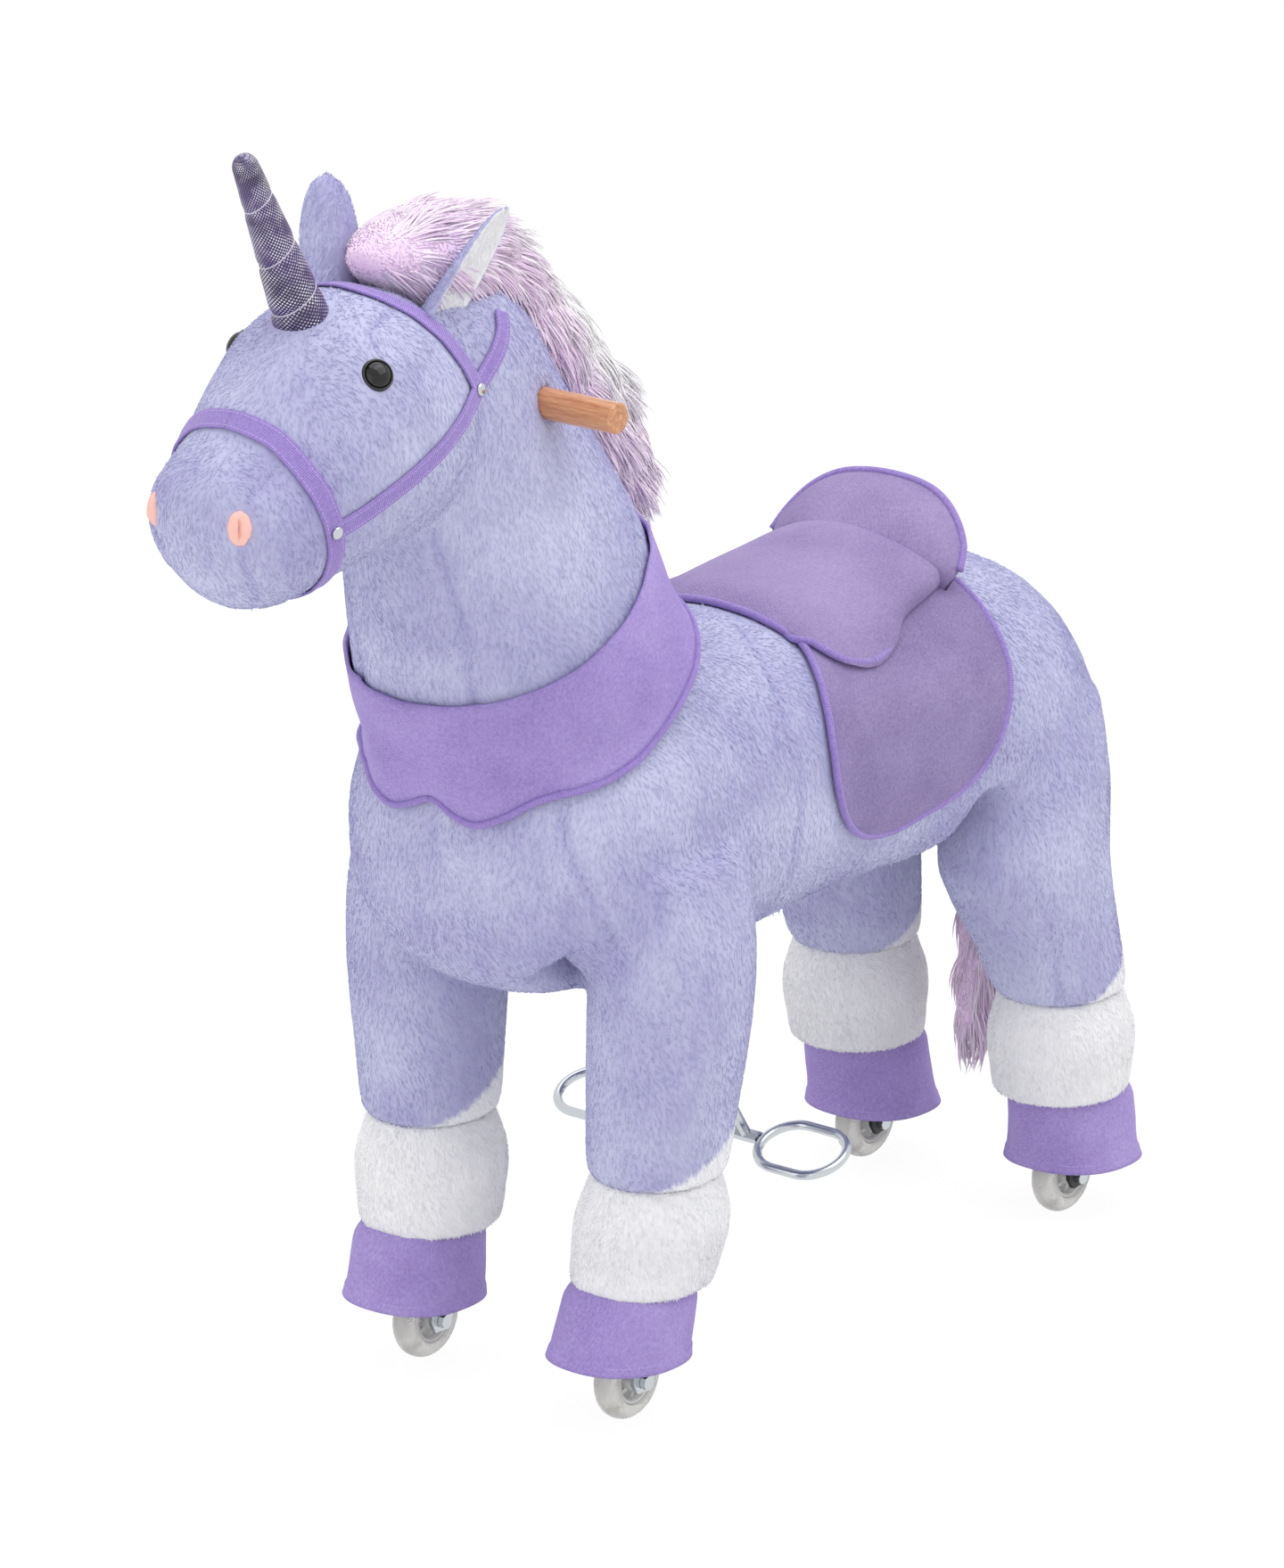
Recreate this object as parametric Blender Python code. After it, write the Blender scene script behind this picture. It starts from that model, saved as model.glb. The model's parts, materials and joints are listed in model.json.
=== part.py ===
"""A plush ride-on unicorn that a child makes walk by rising and sitting.

The stuffed body sits on a steel backbone. The front and the rear pair of legs swing on axles
under the shoulder and the hip, and a link rod makes them spread and close together. The foot
rings hang from the front pair. The wooden handle turns a column in the neck, and a tie bar
behind the shoulder axle turns the two front wheel forks with it.

Everything is in metres, +X towards the nose, +Y to the animal's left, +Z up. Places are worked
out from the point on the floor midway between the wheels, and one empty shifts the whole so
that the origin is under the middle of the object.
"""

import math

import bmesh
import bpy
from mathutils import Matrix, Vector

# Driving dimensions of the whole
wheel_base = 0.596
wheel_track = 0.212
axle_height = 0.470
shoulder_x = 0.270
hip_x = -0.256
seam_gap = 0.0003
overrun = 0.020

# Torso: rump to chest, and the largest half width, crown and keel
torso_length = 0.763
torso_rear_x = -0.352
torso_middle_height = 0.470
torso_half_width = 0.150
torso_crown = 0.148
torso_keel = 0.128
# along from the rump, rise of the middle, half width, crown, keel, squareness
torso_shares = (
    (0.000, -0.096, 0.04, 0.04, 0.05, 2.0),
    (0.008, -0.092, 0.39, 0.39, 0.47, 2.0),
    (0.045, -0.064, 0.72, 0.69, 0.78, 2.1),
    (0.110, -0.038, 0.93, 0.84, 0.92, 2.2),
    (0.212, -0.013, 0.97, 0.89, 0.95, 2.2),
    (0.356, 0.004, 0.92, 0.85, 0.95, 2.2),
    (0.514, 0.011, 0.91, 0.86, 0.97, 2.2),
    (0.658, 0.017, 0.95, 0.93, 1.00, 2.4),
    (0.782, 0.021, 1.00, 1.00, 1.00, 2.6),
    (0.881, 0.017, 0.97, 0.93, 0.95, 2.5),
    (0.953, 0.009, 0.77, 0.74, 0.78, 2.2),
    (0.991, 0.000, 0.41, 0.41, 0.47, 2.0),
    (1.000, -0.004, 0.04, 0.04, 0.05, 2.0),
)

# Neck: from inside the shoulders to the poll
neck_base_x = 0.290
neck_base_height = 0.540
neck_rise = 0.416
neck_reach = 0.140
neck_half_width = 0.132
neck_half_depth = 0.138
# forward, up, half width, back depth, front depth, lean of the section in degrees
neck_shares = (
    (0.00, 0.000, 1.00, 1.00, 0.72, 74),
    (0.09, 0.120, 0.98, 0.99, 0.81, 72),
    (0.19, 0.264, 0.91, 0.94, 0.90, 70),
    (0.31, 0.421, 0.82, 0.86, 0.93, 69),
    (0.49, 0.577, 0.71, 0.75, 0.86, 68),
    (0.69, 0.721, 0.64, 0.67, 0.75, 68),
    (0.86, 0.865, 0.56, 0.58, 0.64, 68),
    (0.96, 0.962, 0.38, 0.36, 0.43, 66),
    (1.00, 1.000, 0.05, 0.04, 0.04, 66),
)

# Head: from the back of the skull to the end of the muzzle
head_back_x = 0.410
head_back_height = 0.889
head_length = 0.274
head_drop = 0.093
head_half_width = 0.088
head_half_depth = 0.100
head_pitch = -24
# forward, down, half width, above, below, squareness
head_shares = (
    (0.000, 0.000, 0.07, 0.06, 0.06, 2.0),
    (0.022, 0.021, 0.55, 0.52, 0.54, 2.0),
    (0.117, 0.085, 0.86, 0.89, 0.90, 2.1),
    (0.303, 0.234, 1.00, 1.07, 1.07, 2.1),
    (0.485, 0.415, 0.99, 1.04, 0.96, 2.1),
    (0.657, 0.640, 0.89, 0.82, 0.81, 2.1),
    (0.785, 0.815, 0.80, 0.68, 0.71, 2.1),
    (0.883, 0.920, 0.75, 0.62, 0.65, 2.1),
    (0.967, 1.010, 0.52, 0.46, 0.47, 2.0),
    (0.998, 1.055, 0.07, 0.06, 0.06, 2.0),
)

# Legs: heights of the seams between leg, cuff and hoof cover
leg_top_height = 0.470
cuff_top_height = 0.207
hoof_top_height = 0.117
hoof_bottom_height = 0.050
leg_half_width = 0.060
leg_half_depth = 0.066
# place between the piece's lower and upper end, forward of the pivot as a share of the leg's
# half depth, outward of the wheel as a share of its half width, then half width and half depth
front_leg_shares = (
    (1.000, -0.12, 0.37, 0.67, 1.06),
    (0.734, -0.09, 0.35, 0.97, 1.08),
    (0.468, -0.04, 0.32, 1.00, 1.03),
    (0.202, 0.02, 0.25, 0.93, 0.93),
    (0.000, 0.06, 0.20, 0.88, 0.86),
)
front_cuff_shares = (
    (1.00, 0.06, 0.20, 0.91, 0.88),
    (0.48, 0.12, 0.15, 1.00, 0.95),
    (0.00, 0.22, 0.08, 0.88, 0.85),
)
front_hoof_shares = (
    (1.00, 0.24, 0.07, 0.85, 0.82),
    (0.00, 0.31, 0.02, 0.95, 0.92),
)
rear_leg_shares = (
    (1.000, 0.05, -0.10, 0.70, 1.10),
    (0.734, 0.07, -0.13, 1.00, 1.17),
    (0.468, 0.18, -0.10, 1.03, 1.25),
    (0.202, -0.21, -0.02, 0.97, 0.97),
    (0.000, -0.46, 0.07, 0.90, 0.86),
)
rear_cuff_shares = (
    (1.00, -0.46, 0.07, 0.92, 0.89),
    (0.48, -0.49, 0.07, 1.00, 0.96),
    (0.00, -0.52, 0.05, 0.88, 0.85),
)
rear_hoof_shares = (
    (1.00, -0.52, 0.05, 0.85, 0.82),
    (0.00, -0.52, 0.03, 0.95, 0.92),
)

# Sockets in the torso that the upper legs turn in
front_socket_radius = 0.104
rear_socket_radius = 0.100
socket_clearance = 0.003
socket_inner_y = 0.076
front_slot_inner_y = 0.058
front_slot_back = 0.092
front_slot_ahead = 0.096
rear_slot_inner_y = 0.033
rear_slot_back = 0.100
rear_slot_ahead = 0.122
leg_slot_top = 0.424
leg_neck_height = 0.385

# Steel frame
backbone_width = 0.025
pivot_rod_radius = 0.008
bush_wall = 0.0044
sleeve_wall = 0.004
sleeve_half_length = 0.040
leg_tube_radius = 0.014
leg_bore_radius = 0.010
leg_tube_top = 0.495
leg_tube_bottom = 0.100
riser_x = 0.180
riser_bar_height = 0.565
post_front_x = 0.030
post_rear_x = -0.110
board_length = 0.250
board_width = 0.150
board_thickness = 0.012
board_top_height = 0.575
board_middle_x = -0.040

# Steering column and handle
handle_height = 0.858
handle_x = 0.361
handle_radius = 0.0125
handle_half_length = 0.150
handle_chamfer = 0.002
column_lean = 12.4
column_radius = 0.011
column_bottom_height = 0.524
head_tube_top_height = 0.590
head_tube_wall = 0.005
socket_half_length = 0.030
socket_wall = 0.005
neck_seat_height = 0.600
neck_seat_x = 0.300
neck_seat_radius = 0.230

# Steering links
arm_length = 0.030
arm_thickness = 0.004
arm_half_width = 0.009
link_pin_radius = 0.003
link_pin_drop = 0.034
pin_ease = 0.0005
tie_bar_height = 0.507
tie_bar_thickness = 0.005
tie_bar_half_width = 0.008
tie_pad_half_x = 0.020
tie_pad_half_y = 0.014
end_slot_ease = 0.0030
pad_slot_ease = 0.0115
stem_radius = 0.008

# Link rod between the front and the rear axle
crank_length = 0.045
crank_inner_y = 0.060
crank_thickness = 0.005
crank_half_width = 0.011
crank_pin_radius = 0.004
crank_pin_ease = 0.0010
rod_thickness = 0.004
rod_half_width = 0.009

# Wheels and forks
wheel_radius = 0.035
wheel_half_width = 0.012
tyre_inner_radius = 0.0215
core_half_width = 0.0100
hub_radius = 0.0095
axle_bolt_radius = 0.004
axle_bolt_ease = 0.0002
core_window_count = 5
core_window_radius = 0.0030
core_window_circle = 0.0155
bolt_head_radius = 0.0065
bolt_head_height = 0.005
blade_gap = 0.0023
blade_thickness = 0.004
blade_half_width = 0.013
fork_crown_radius = 0.019
fork_crown_height = 0.011
hoof_cavity_radius = 0.038
hoof_floor_height = 0.103

# Foot rings on their hanger
ring_x = 0.068
ring_height = 0.162
ring_rod_radius = 0.004
ring_inner_y = 0.062
ring_outer_y = 0.150
ring_width = 0.064
ring_tilt = 22
hanger_y = 0.048
hanger_rod_radius = 0.005
cross_rod_radius = 0.006
hanger_plate_thickness = 0.005
hanger_plate_radius = 0.016
hanger_slot_half_y = 0.056
hanger_slot_front_x = 0.262
hanger_slot_rear_x = 0.135

# Cavities in the torso around the frame
cavity_front_x = 0.322
cavity_rear_x = -0.310
cavity_floor = 0.405
cavity_roof = 0.545
board_ease = 0.006
neck_well_front_x = 0.335
neck_well_rear_x = 0.160
neck_well_half_y = 0.050
leg_well_front = 0.050
leg_well_rear = 0.066
leg_well_outer_y = 0.134
leg_well_bottom = 0.440
leg_well_top = 0.530

# Saddle
flap_front_x = 0.086
flap_rear_x = -0.156
flap_low = 0.434
flap_top = 0.640
flap_thickness = 0.005
# outline of the flap in the side view: along from the rear, up from its lowest point
flap_shares = (
    (0.00, 1.00),
    (0.02, 0.72),
    (0.00, 0.46),
    (0.02, 0.25),
    (0.10, 0.11),
    (0.26, 0.03),
    (0.49, 0.00),
    (0.72, 0.01),
    (0.87, 0.06),
    (0.97, 0.16),
    (1.00, 0.30),
    (0.98, 0.50),
    (0.93, 0.70),
    (0.88, 1.00),
)
seat_front_x = 0.072
seat_rear_x = -0.205
seat_angle = 57
seat_rim = 0.006
seat_crown = 0.020
cantle_rise = 0.052
cantle_x_share = 0.14
cantle_spread_share = 0.13

# Collar
collar_ease = 0.006
collar_thickness = 0.005
collar_length = 0.151
collar_top_drop = 0.168
collar_inner_radius = 0.050
collar_outer_radius = 0.220
# angle from the front in degrees, then how far the lower and the upper edge lie down the
# column below the collar's highest point
collar_shares = (
    (0, 1.00, 0.27),
    (5, 0.955, 0.26),
    (11, 0.91, 0.25),
    (19, 0.93, 0.24),
    (29, 0.925, 0.24),
    (41, 0.87, 0.24),
    (50, 0.77, 0.23),
    (54, 0.72, 0.22),
    (64, 0.69, 0.19),
    (78, 0.64, 0.15),
    (92, 0.53, 0.12),
    (103, 0.37, 0.08),
    (108, 0.31, 0.06),
    (120, 0.29, 0.00),
    (140, 0.26, -0.04),
    (160, 0.23, -0.06),
    (180, 0.22, -0.06),
)

# Horn, ears and eyes
horn_base_x = 0.545
horn_base_height = 0.926
horn_tip_x = 0.624
horn_tip_height = 1.094
horn_base_radius = 0.0255
horn_tip_radius = 0.0095
horn_groove = 0.0012
horn_groove_shares = (0.30, 0.52, 0.76)
ear_base_x = {"left": 0.439, "right": 0.442}
ear_base_y = 0.056
ear_base_height = 0.929
ear_tip_x = {"left": 0.386, "right": 0.445}
ear_tip_y = 0.070
ear_tip_height = {"left": 1.010, "right": 1.034}
ear_half_width = 0.030
ear_half_thickness = 0.011
ear_cup = 0.009
eye_radius = 0.012
eye_bulge = 0.008
eye_turn = 42
eye_station_share = 0.391

# Straps of the bridle
strap_width = 0.019
strap_thickness = 0.0025
strap_seat = 0.004
noseband_share = 0.617
# station along the head and angle round it, from the left side towards the top, in degrees
cheek_strap_shares = ((0.617, -10), (0.53, -11), (0.42, -10), (0.31, -5), (0.205, 3))
headband_shares = ((0.210, 10), (0.233, 32), (0.249, 60), (0.269, 90))

# Mane and tail
mane_half_width = 0.029
mane_depth = 0.076
# along the crest from the brow to the withers, in shares of the neck's reach and rise
mane_shares = (
    (1.40, 1.062, 0.30),
    (1.27, 1.085, 0.72),
    (0.89, 1.067, 1.00),
    (0.50, 0.998, 1.00),
    (0.09, 0.894, 1.00),
    (-0.24, 0.781, 1.00),
    (-0.51, 0.661, 0.95),
    (-0.71, 0.553, 0.80),
    (-0.87, 0.455, 0.35),
)
tail_half_width = 0.029
tail_half_depth = 0.024
# forward of the rump's end and up from the torso's middle, in shares of the tail's length
tail_length = 0.370
tail_sides = 12
tail_shares = (
    (0.045, 0.120, 0.35),
    (-0.045, 0.030, 0.75),
    (-0.055, -0.140, 0.95),
    (-0.020, -0.400, 1.00),
    (0.055, -0.660, 0.95),
    (0.125, -0.900, 0.40),
)

# Mesh fineness, in counts
torso_sides = 28
torso_rings = 21
limb_sides = 16
head_sides = 20
head_rings = 15
neck_rings = 12
round_sides = 14
small_sides = 8

wheel_x = wheel_base / 2
wheel_y = wheel_track / 2
sides = {"left": 1, "right": -1}


def clear_scene():
    for found in list(bpy.data.objects):
        bpy.data.objects.remove(found)


def make_material(name, colour, roughness, metallic=0.0):
    material = bpy.data.materials.new(name)
    material.use_nodes = True
    shader = material.node_tree.nodes["Principled BSDF"]
    shader.inputs["Base Color"].default_value = (*colour, 1)
    shader.inputs["Roughness"].default_value = roughness
    shader.inputs["Metallic"].default_value = metallic
    return material


def make_materials():
    return {
        "lilac plush": make_material("lilac plush", (0.42, 0.42, 0.74), 0.95),
        "white plush": make_material("white plush", (0.85, 0.86, 0.87), 0.95),
        "purple twill": make_material("purple twill", (0.33, 0.23, 0.55), 0.9),
        "purple webbing": make_material("purple webbing", (0.38, 0.25, 0.60), 0.85),
        "pink long pile": make_material("pink long pile", (0.80, 0.62, 0.78), 0.9),
        "foil cloth": make_material("foil cloth", (0.12, 0.06, 0.24), 0.35, 0.3),
        "eye black": make_material("eye black", (0.01, 0.01, 0.01), 0.08),
        "varnished beech": make_material("varnished beech", (0.55, 0.30, 0.12), 0.3),
        "black paint": make_material("black paint", (0.03, 0.03, 0.03), 0.4),
        "zinc plate": make_material("zinc plate", (0.62, 0.65, 0.68), 0.25, 1.0),
        "clear polyurethane": make_material("clear polyurethane", (0.80, 0.80, 0.76), 0.2),
        "white nylon": make_material("white nylon", (0.78, 0.78, 0.76), 0.4),
        "black rubber": make_material("black rubber", (0.02, 0.02, 0.02), 0.8),
        "plywood": make_material("plywood", (0.55, 0.40, 0.22), 0.6),
    }


class Builder:
    """Keeps the bodies' empties and materials, and makes named pieces and hidden cutters."""

    def __init__(self):
        self.materials = make_materials()
        self.bodies = {}
        self.cutter_count = 0

    def body(self, name, parent, place):
        empty = bpy.data.objects.new(name + "_axis", None)
        bpy.context.scene.collection.objects.link(empty)
        empty.location = place
        self.bodies[name] = (empty, Vector(place))
        if parent:
            above, above_place = self.bodies[parent]
            empty.parent = above
            empty.location = Vector(place) - above_place
        return empty

    def piece(self, name, mesh_data, material, body):
        """Makes a shown piece of a body. Its mesh is written about the body's own axis."""
        empty, place = self.bodies[body]
        made = self.plain(name, mesh_data)
        made.data.transform(Matrix.Translation(-place))
        made.data.materials.append(self.materials[material])
        made.parent = empty
        made.data.shade_smooth()
        made.data.set_sharp_from_angle(angle=math.radians(40))
        return made

    def plain(self, name, mesh_data):
        points, faces = mesh_data
        mesh = bpy.data.meshes.new(name)
        shape = bmesh.new()
        made = [shape.verts.new(point) for point in points]
        for face in faces:
            shape.faces.new([made[i] for i in face])
        bmesh.ops.recalc_face_normals(shape, faces=shape.faces)
        if shape.calc_volume(signed=True) < 0:
            bmesh.ops.reverse_faces(shape, faces=shape.faces)
        shape.to_mesh(mesh)
        shape.free()
        found = bpy.data.objects.new(name, mesh)
        bpy.context.scene.collection.objects.link(found)
        return found

    def cutter(self, mesh_data, body=None):
        """Makes a hidden helper. With a body it stands where that body's pieces stand."""
        self.cutter_count += 1
        made = self.plain(f"guide_{self.cutter_count:03d}", mesh_data)
        root_empty, _ = self.bodies["chassis"]
        made.parent = root_empty
        made.hide_render = True
        made.display_type = "WIRE"
        return made

    def change(self, target, mesh_data, operation):
        """Cuts from, joins to or keeps inside the target, by mesh data or by another object."""
        is_object = isinstance(mesh_data, bpy.types.Object)
        tool = mesh_data if is_object else self.cutter(mesh_data)
        step = target.modifiers.new(operation.lower(), "BOOLEAN")
        step.operation = operation
        step.solver = "EXACT"
        step.object = tool
        return target

    def cut(self, target, mesh_data):
        return self.change(target, mesh_data, "DIFFERENCE")

    def join(self, target, mesh_data):
        return self.change(target, mesh_data, "UNION")

    def keep(self, target, mesh_data):
        return self.change(target, mesh_data, "INTERSECT")


def skin(rings):
    """Joins closed rings of points in order, with a flat cap at each end."""
    count = len(rings[0])
    points = [point for ring in rings for point in ring]
    faces = []
    for row in range(len(rings) - 1):
        for i in range(count):
            j = (i + 1) % count
            low, high = row * count, (row + 1) * count
            faces.append((low + i, low + j, high + j, high + i))
    faces.append(tuple(range(count))[::-1])
    last = (len(rings) - 1) * count
    faces.append(tuple(range(last, last + count)))
    return points, faces


def box(low, high):
    corners = [
        Vector((x, y, z)) for z in (low[2], high[2]) for y in (low[1], high[1]) for x in (low[0], high[0])
    ]
    faces = ((0, 1, 3, 2), (4, 5, 7, 6), (0, 1, 5, 4), (2, 3, 7, 6), (0, 2, 6, 4), (1, 3, 7, 5))
    return corners, faces


def bar_between(start, end, half_width, half_height):
    """A square-cut bar in the XZ plane, half_width along Y and half_height across the run."""
    along = (end - start).normalized()
    across = Vector((0, 1, 0))
    up = along.cross(across)
    rings = []
    for point in (start, end):
        corners = ((-1, -1), (1, -1), (1, 1), (-1, 1))
        rings.append([point + across * half_width * a + up * half_height * b for a, b in corners])
    return skin(rings)


def frame_of(direction):
    along = direction.normalized()
    helper = Vector((0, 1, 0)) if abs(along.y) < math.cos(math.radians(45)) else Vector((1, 0, 0))
    first = along.cross(helper).normalized()
    return along, first, along.cross(first)


def circle(centre, direction, radius, count):
    _, first, second = frame_of(direction)
    turn = 2 * math.pi / count
    return [
        centre + (first * math.cos(turn * i) + second * math.sin(turn * i)) * radius for i in range(count)
    ]


def rod(start, end, radius, count=round_sides):
    start, end = Vector(start), Vector(end)
    return skin([circle(point, end - start, radius, count) for point in (start, end)])


def turned(centre, direction, profile, count=round_sides):
    """A solid of revolution: profile is (place along the axis, radius), end to end."""
    centre = Vector(centre)
    along, _, _ = frame_of(Vector(direction))
    return skin([circle(centre + along * place, along, radius, count) for place, radius in profile])


def turned_ring(centre, direction, profile, count=round_sides):
    """A closed ring turned from a closed profile of (place along the axis, radius)."""
    centre = Vector(centre)
    along, _, _ = frame_of(Vector(direction))
    loops = [circle(centre + along * place, along, radius, count) for place, radius in profile]
    points = [point for loop in loops for point in loop]
    faces = []
    for row in range(len(loops)):
        following = (row + 1) % len(loops)
        for i in range(count):
            j = (i + 1) % count
            faces.append(
                (row * count + i, row * count + j, following * count + j, following * count + i)
            )
    return points, faces


def bent_rod(route, radius, count, closed=False):
    """A rod along a route of points. Its rings stand square to the run at each point."""
    total = len(route)
    rings = []
    side = None
    for i, point in enumerate(route):
        before = route[(i - 1) % total] if closed or i else route[0]
        after = route[(i + 1) % total] if closed or i < total - 1 else route[-1]
        along = (after - before).normalized()
        if side is None:
            _, side, _ = frame_of(along)
        side = (side - along * side.dot(along)).normalized()
        other = along.cross(side)
        turn = 2 * math.pi / count
        rings.append(
            [point + (side * math.cos(turn * k) + other * math.sin(turn * k)) * radius for k in range(count)]
        )
    if not closed:
        return skin(rings)
    points = [point for ring in rings for point in ring]
    faces = []
    for row in range(total):
        following = (row + 1) % total
        for i in range(count):
            j = (i + 1) % count
            faces.append(
                (row * count + i, row * count + j, following * count + j, following * count + i)
            )
    return points, faces


def blend_rows(rows, place):
    """A smooth curve through table rows, read at a place from 0 to 1."""
    position = place * (len(rows) - 1)
    index = min(int(position), len(rows) - 2)
    part = position - index
    picked = [rows[min(max(index + step, 0), len(rows) - 1)] for step in (-1, 0, 1, 2)]
    found = []
    for before, here, after, beyond in zip(*picked):
        slope = after - before
        bend = 2 * before - 5 * here + 4 * after - beyond
        twist = 3 * here - before - 3 * after + beyond
        found.append((2 * here + slope * part + bend * part**2 + twist * part**3) / 2)
    return found


class Form:
    """A stuffed form: oval sections along a curve, each (x, y, z, lean, width, above, below, square)."""

    def __init__(self, rows):
        self.rows = rows

    def section(self, place, grow=0):
        x, y, z, lean, width, above, below, square = blend_rows(self.rows, place)
        lean = math.radians(lean)
        up = Vector((-math.sin(lean), 0, math.cos(lean)))
        return Vector((x, y, z)), up, width + grow, above + grow, below + grow, square

    def point(self, place, angle, grow=0):
        """The point at an angle in degrees from the left side towards the top."""
        centre, up, width, above, below, square = self.section(place, grow)
        cosine, sine = math.cos(math.radians(angle)), math.sin(math.radians(angle))
        across = math.copysign(abs(cosine) ** (2 / square), cosine)
        rise = math.copysign(abs(sine) ** (2 / square), sine)
        height = above if rise > 0 else below
        return centre + Vector((0, 1, 0)) * across * width + up * rise * height

    def normal(self, place, angle):
        centre, _, _, _, _, _ = self.section(place)
        step = 1 / (4 * len(self.rows))
        along = self.point(min(place + step, 1), angle) - self.point(max(place - step, 0), angle)
        turn = 360 / torso_sides
        round_it = self.point(place, angle + turn) - self.point(place, angle - turn)
        found = round_it.cross(along).normalized()
        outward = self.point(place, angle) - centre
        return found if found.dot(outward) > 0 else -found

    def mesh(self, ring_count, side_count, grow=0):
        rings = []
        for row in range(ring_count):
            place = row / (ring_count - 1)
            turn = 360 / side_count
            rings.append([self.point(place, turn * i, grow) for i in range(side_count)])
        if grow:
            first, _, _, _, _, _ = self.section(0)
            second, _, _, _, _, _ = self.section(1 / ring_count)
            back = (first - second).normalized() * grow
            rings[0] = [point + back for point in rings[0]]
            last, _, _, _, _, _ = self.section(1)
            before, _, _, _, _, _ = self.section(1 - 1 / ring_count)
            ahead = (last - before).normalized() * grow
            rings[-1] = [point + ahead for point in rings[-1]]
        return skin(rings)


def torso_form():
    rows = []
    for along, rise, width, above, below, square in torso_shares:
        x = torso_rear_x + along * torso_length
        z = torso_middle_height + rise * torso_length * 0.5
        half_width = width * torso_half_width
        rows.append((x, 0, z, 0, half_width, above * torso_crown, below * torso_keel, square))
    return Form(rows)


def neck_form():
    rows = []
    for forward, up, width, back, front, lean in neck_shares:
        x = neck_base_x + forward * neck_reach
        z = neck_base_height + up * neck_rise
        rows.append(
            (x, 0, z, lean, width * neck_half_width, back * neck_half_depth, front * neck_half_depth, 2.1)
        )
    return Form(rows)


def head_form():
    rows = []
    for forward, down, width, above, below, square in head_shares:
        x = head_back_x + forward * head_length
        z = head_back_height - down * head_drop
        half_width = width * head_half_width
        rows.append(
            (x, 0, z, head_pitch, half_width, above * head_half_depth, below * head_half_depth, square)
        )
    return Form(rows)


def limb_form(shares, pivot_x, side, bottom, top):
    """A leg, cuff or hoof cover. Its sections are level, and the form rises from bottom to top."""
    rows = []
    for place, forward, outward, width, depth in reversed(shares):
        z = bottom + place * (top - bottom)
        x = pivot_x + forward * leg_half_depth
        y = side * (wheel_y + outward * leg_half_width)
        half_depth = depth * leg_half_depth
        rows.append((x, y, z, 90, width * leg_half_width, half_depth, half_depth, 2.1))
    return Form(rows)


def column_point(height):
    """The point of the steering axis at a height."""
    return Vector((handle_x - (handle_height - height) * math.tan(math.radians(column_lean)), 0, height))


column_axis = Vector((math.sin(math.radians(column_lean)), 0, math.cos(math.radians(column_lean))))


def leg_point(end, height, side):
    """The point of a leg tube's axis at a height. It runs from the wheel to the pivot rod."""
    pivot_x = shoulder_x if end == "front" else hip_x
    base_x = wheel_x if end == "front" else -wheel_x
    share = (height - wheel_radius) / (axle_height - wheel_radius)
    return Vector((base_x + (pivot_x - base_x) * share, side * wheel_y, height))


def set_up_bodies(builder):
    builder.body("chassis", None, (0, 0, 0))
    builder.body("front_legs", "chassis", (shoulder_x, 0, axle_height))
    builder.body("rear_legs", "chassis", (hip_x, 0, axle_height))
    builder.body("steering_head", "chassis", column_point(neck_seat_height))
    builder.body("tie_bar", "front_legs", (shoulder_x, 0, tie_bar_height))
    builder.body("link_rod", "chassis", (0, crank_inner_y, axle_height))
    for name, side in sides.items():
        builder.body(f"fork_{name}", "front_legs", leg_point("front", wheel_radius, side))
        builder.body(f"wheel_front_{name}", f"fork_{name}", (wheel_x, side * wheel_y, wheel_radius))
        builder.body(f"wheel_rear_{name}", "rear_legs", (-wheel_x, side * wheel_y, wheel_radius))


def pivot_sleeve(x):
    outer = pivot_rod_radius + seam_gap + bush_wall + seam_gap + sleeve_wall
    ends = ((x, -sleeve_half_length, axle_height), (x, sleeve_half_length, axle_height))
    return rod(*ends, outer)


def sleeve_bore(x):
    inner = pivot_rod_radius + seam_gap + bush_wall + seam_gap
    reach = sleeve_half_length + overrun
    return rod((x, -reach, axle_height), (x, reach, axle_height), inner)


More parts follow.
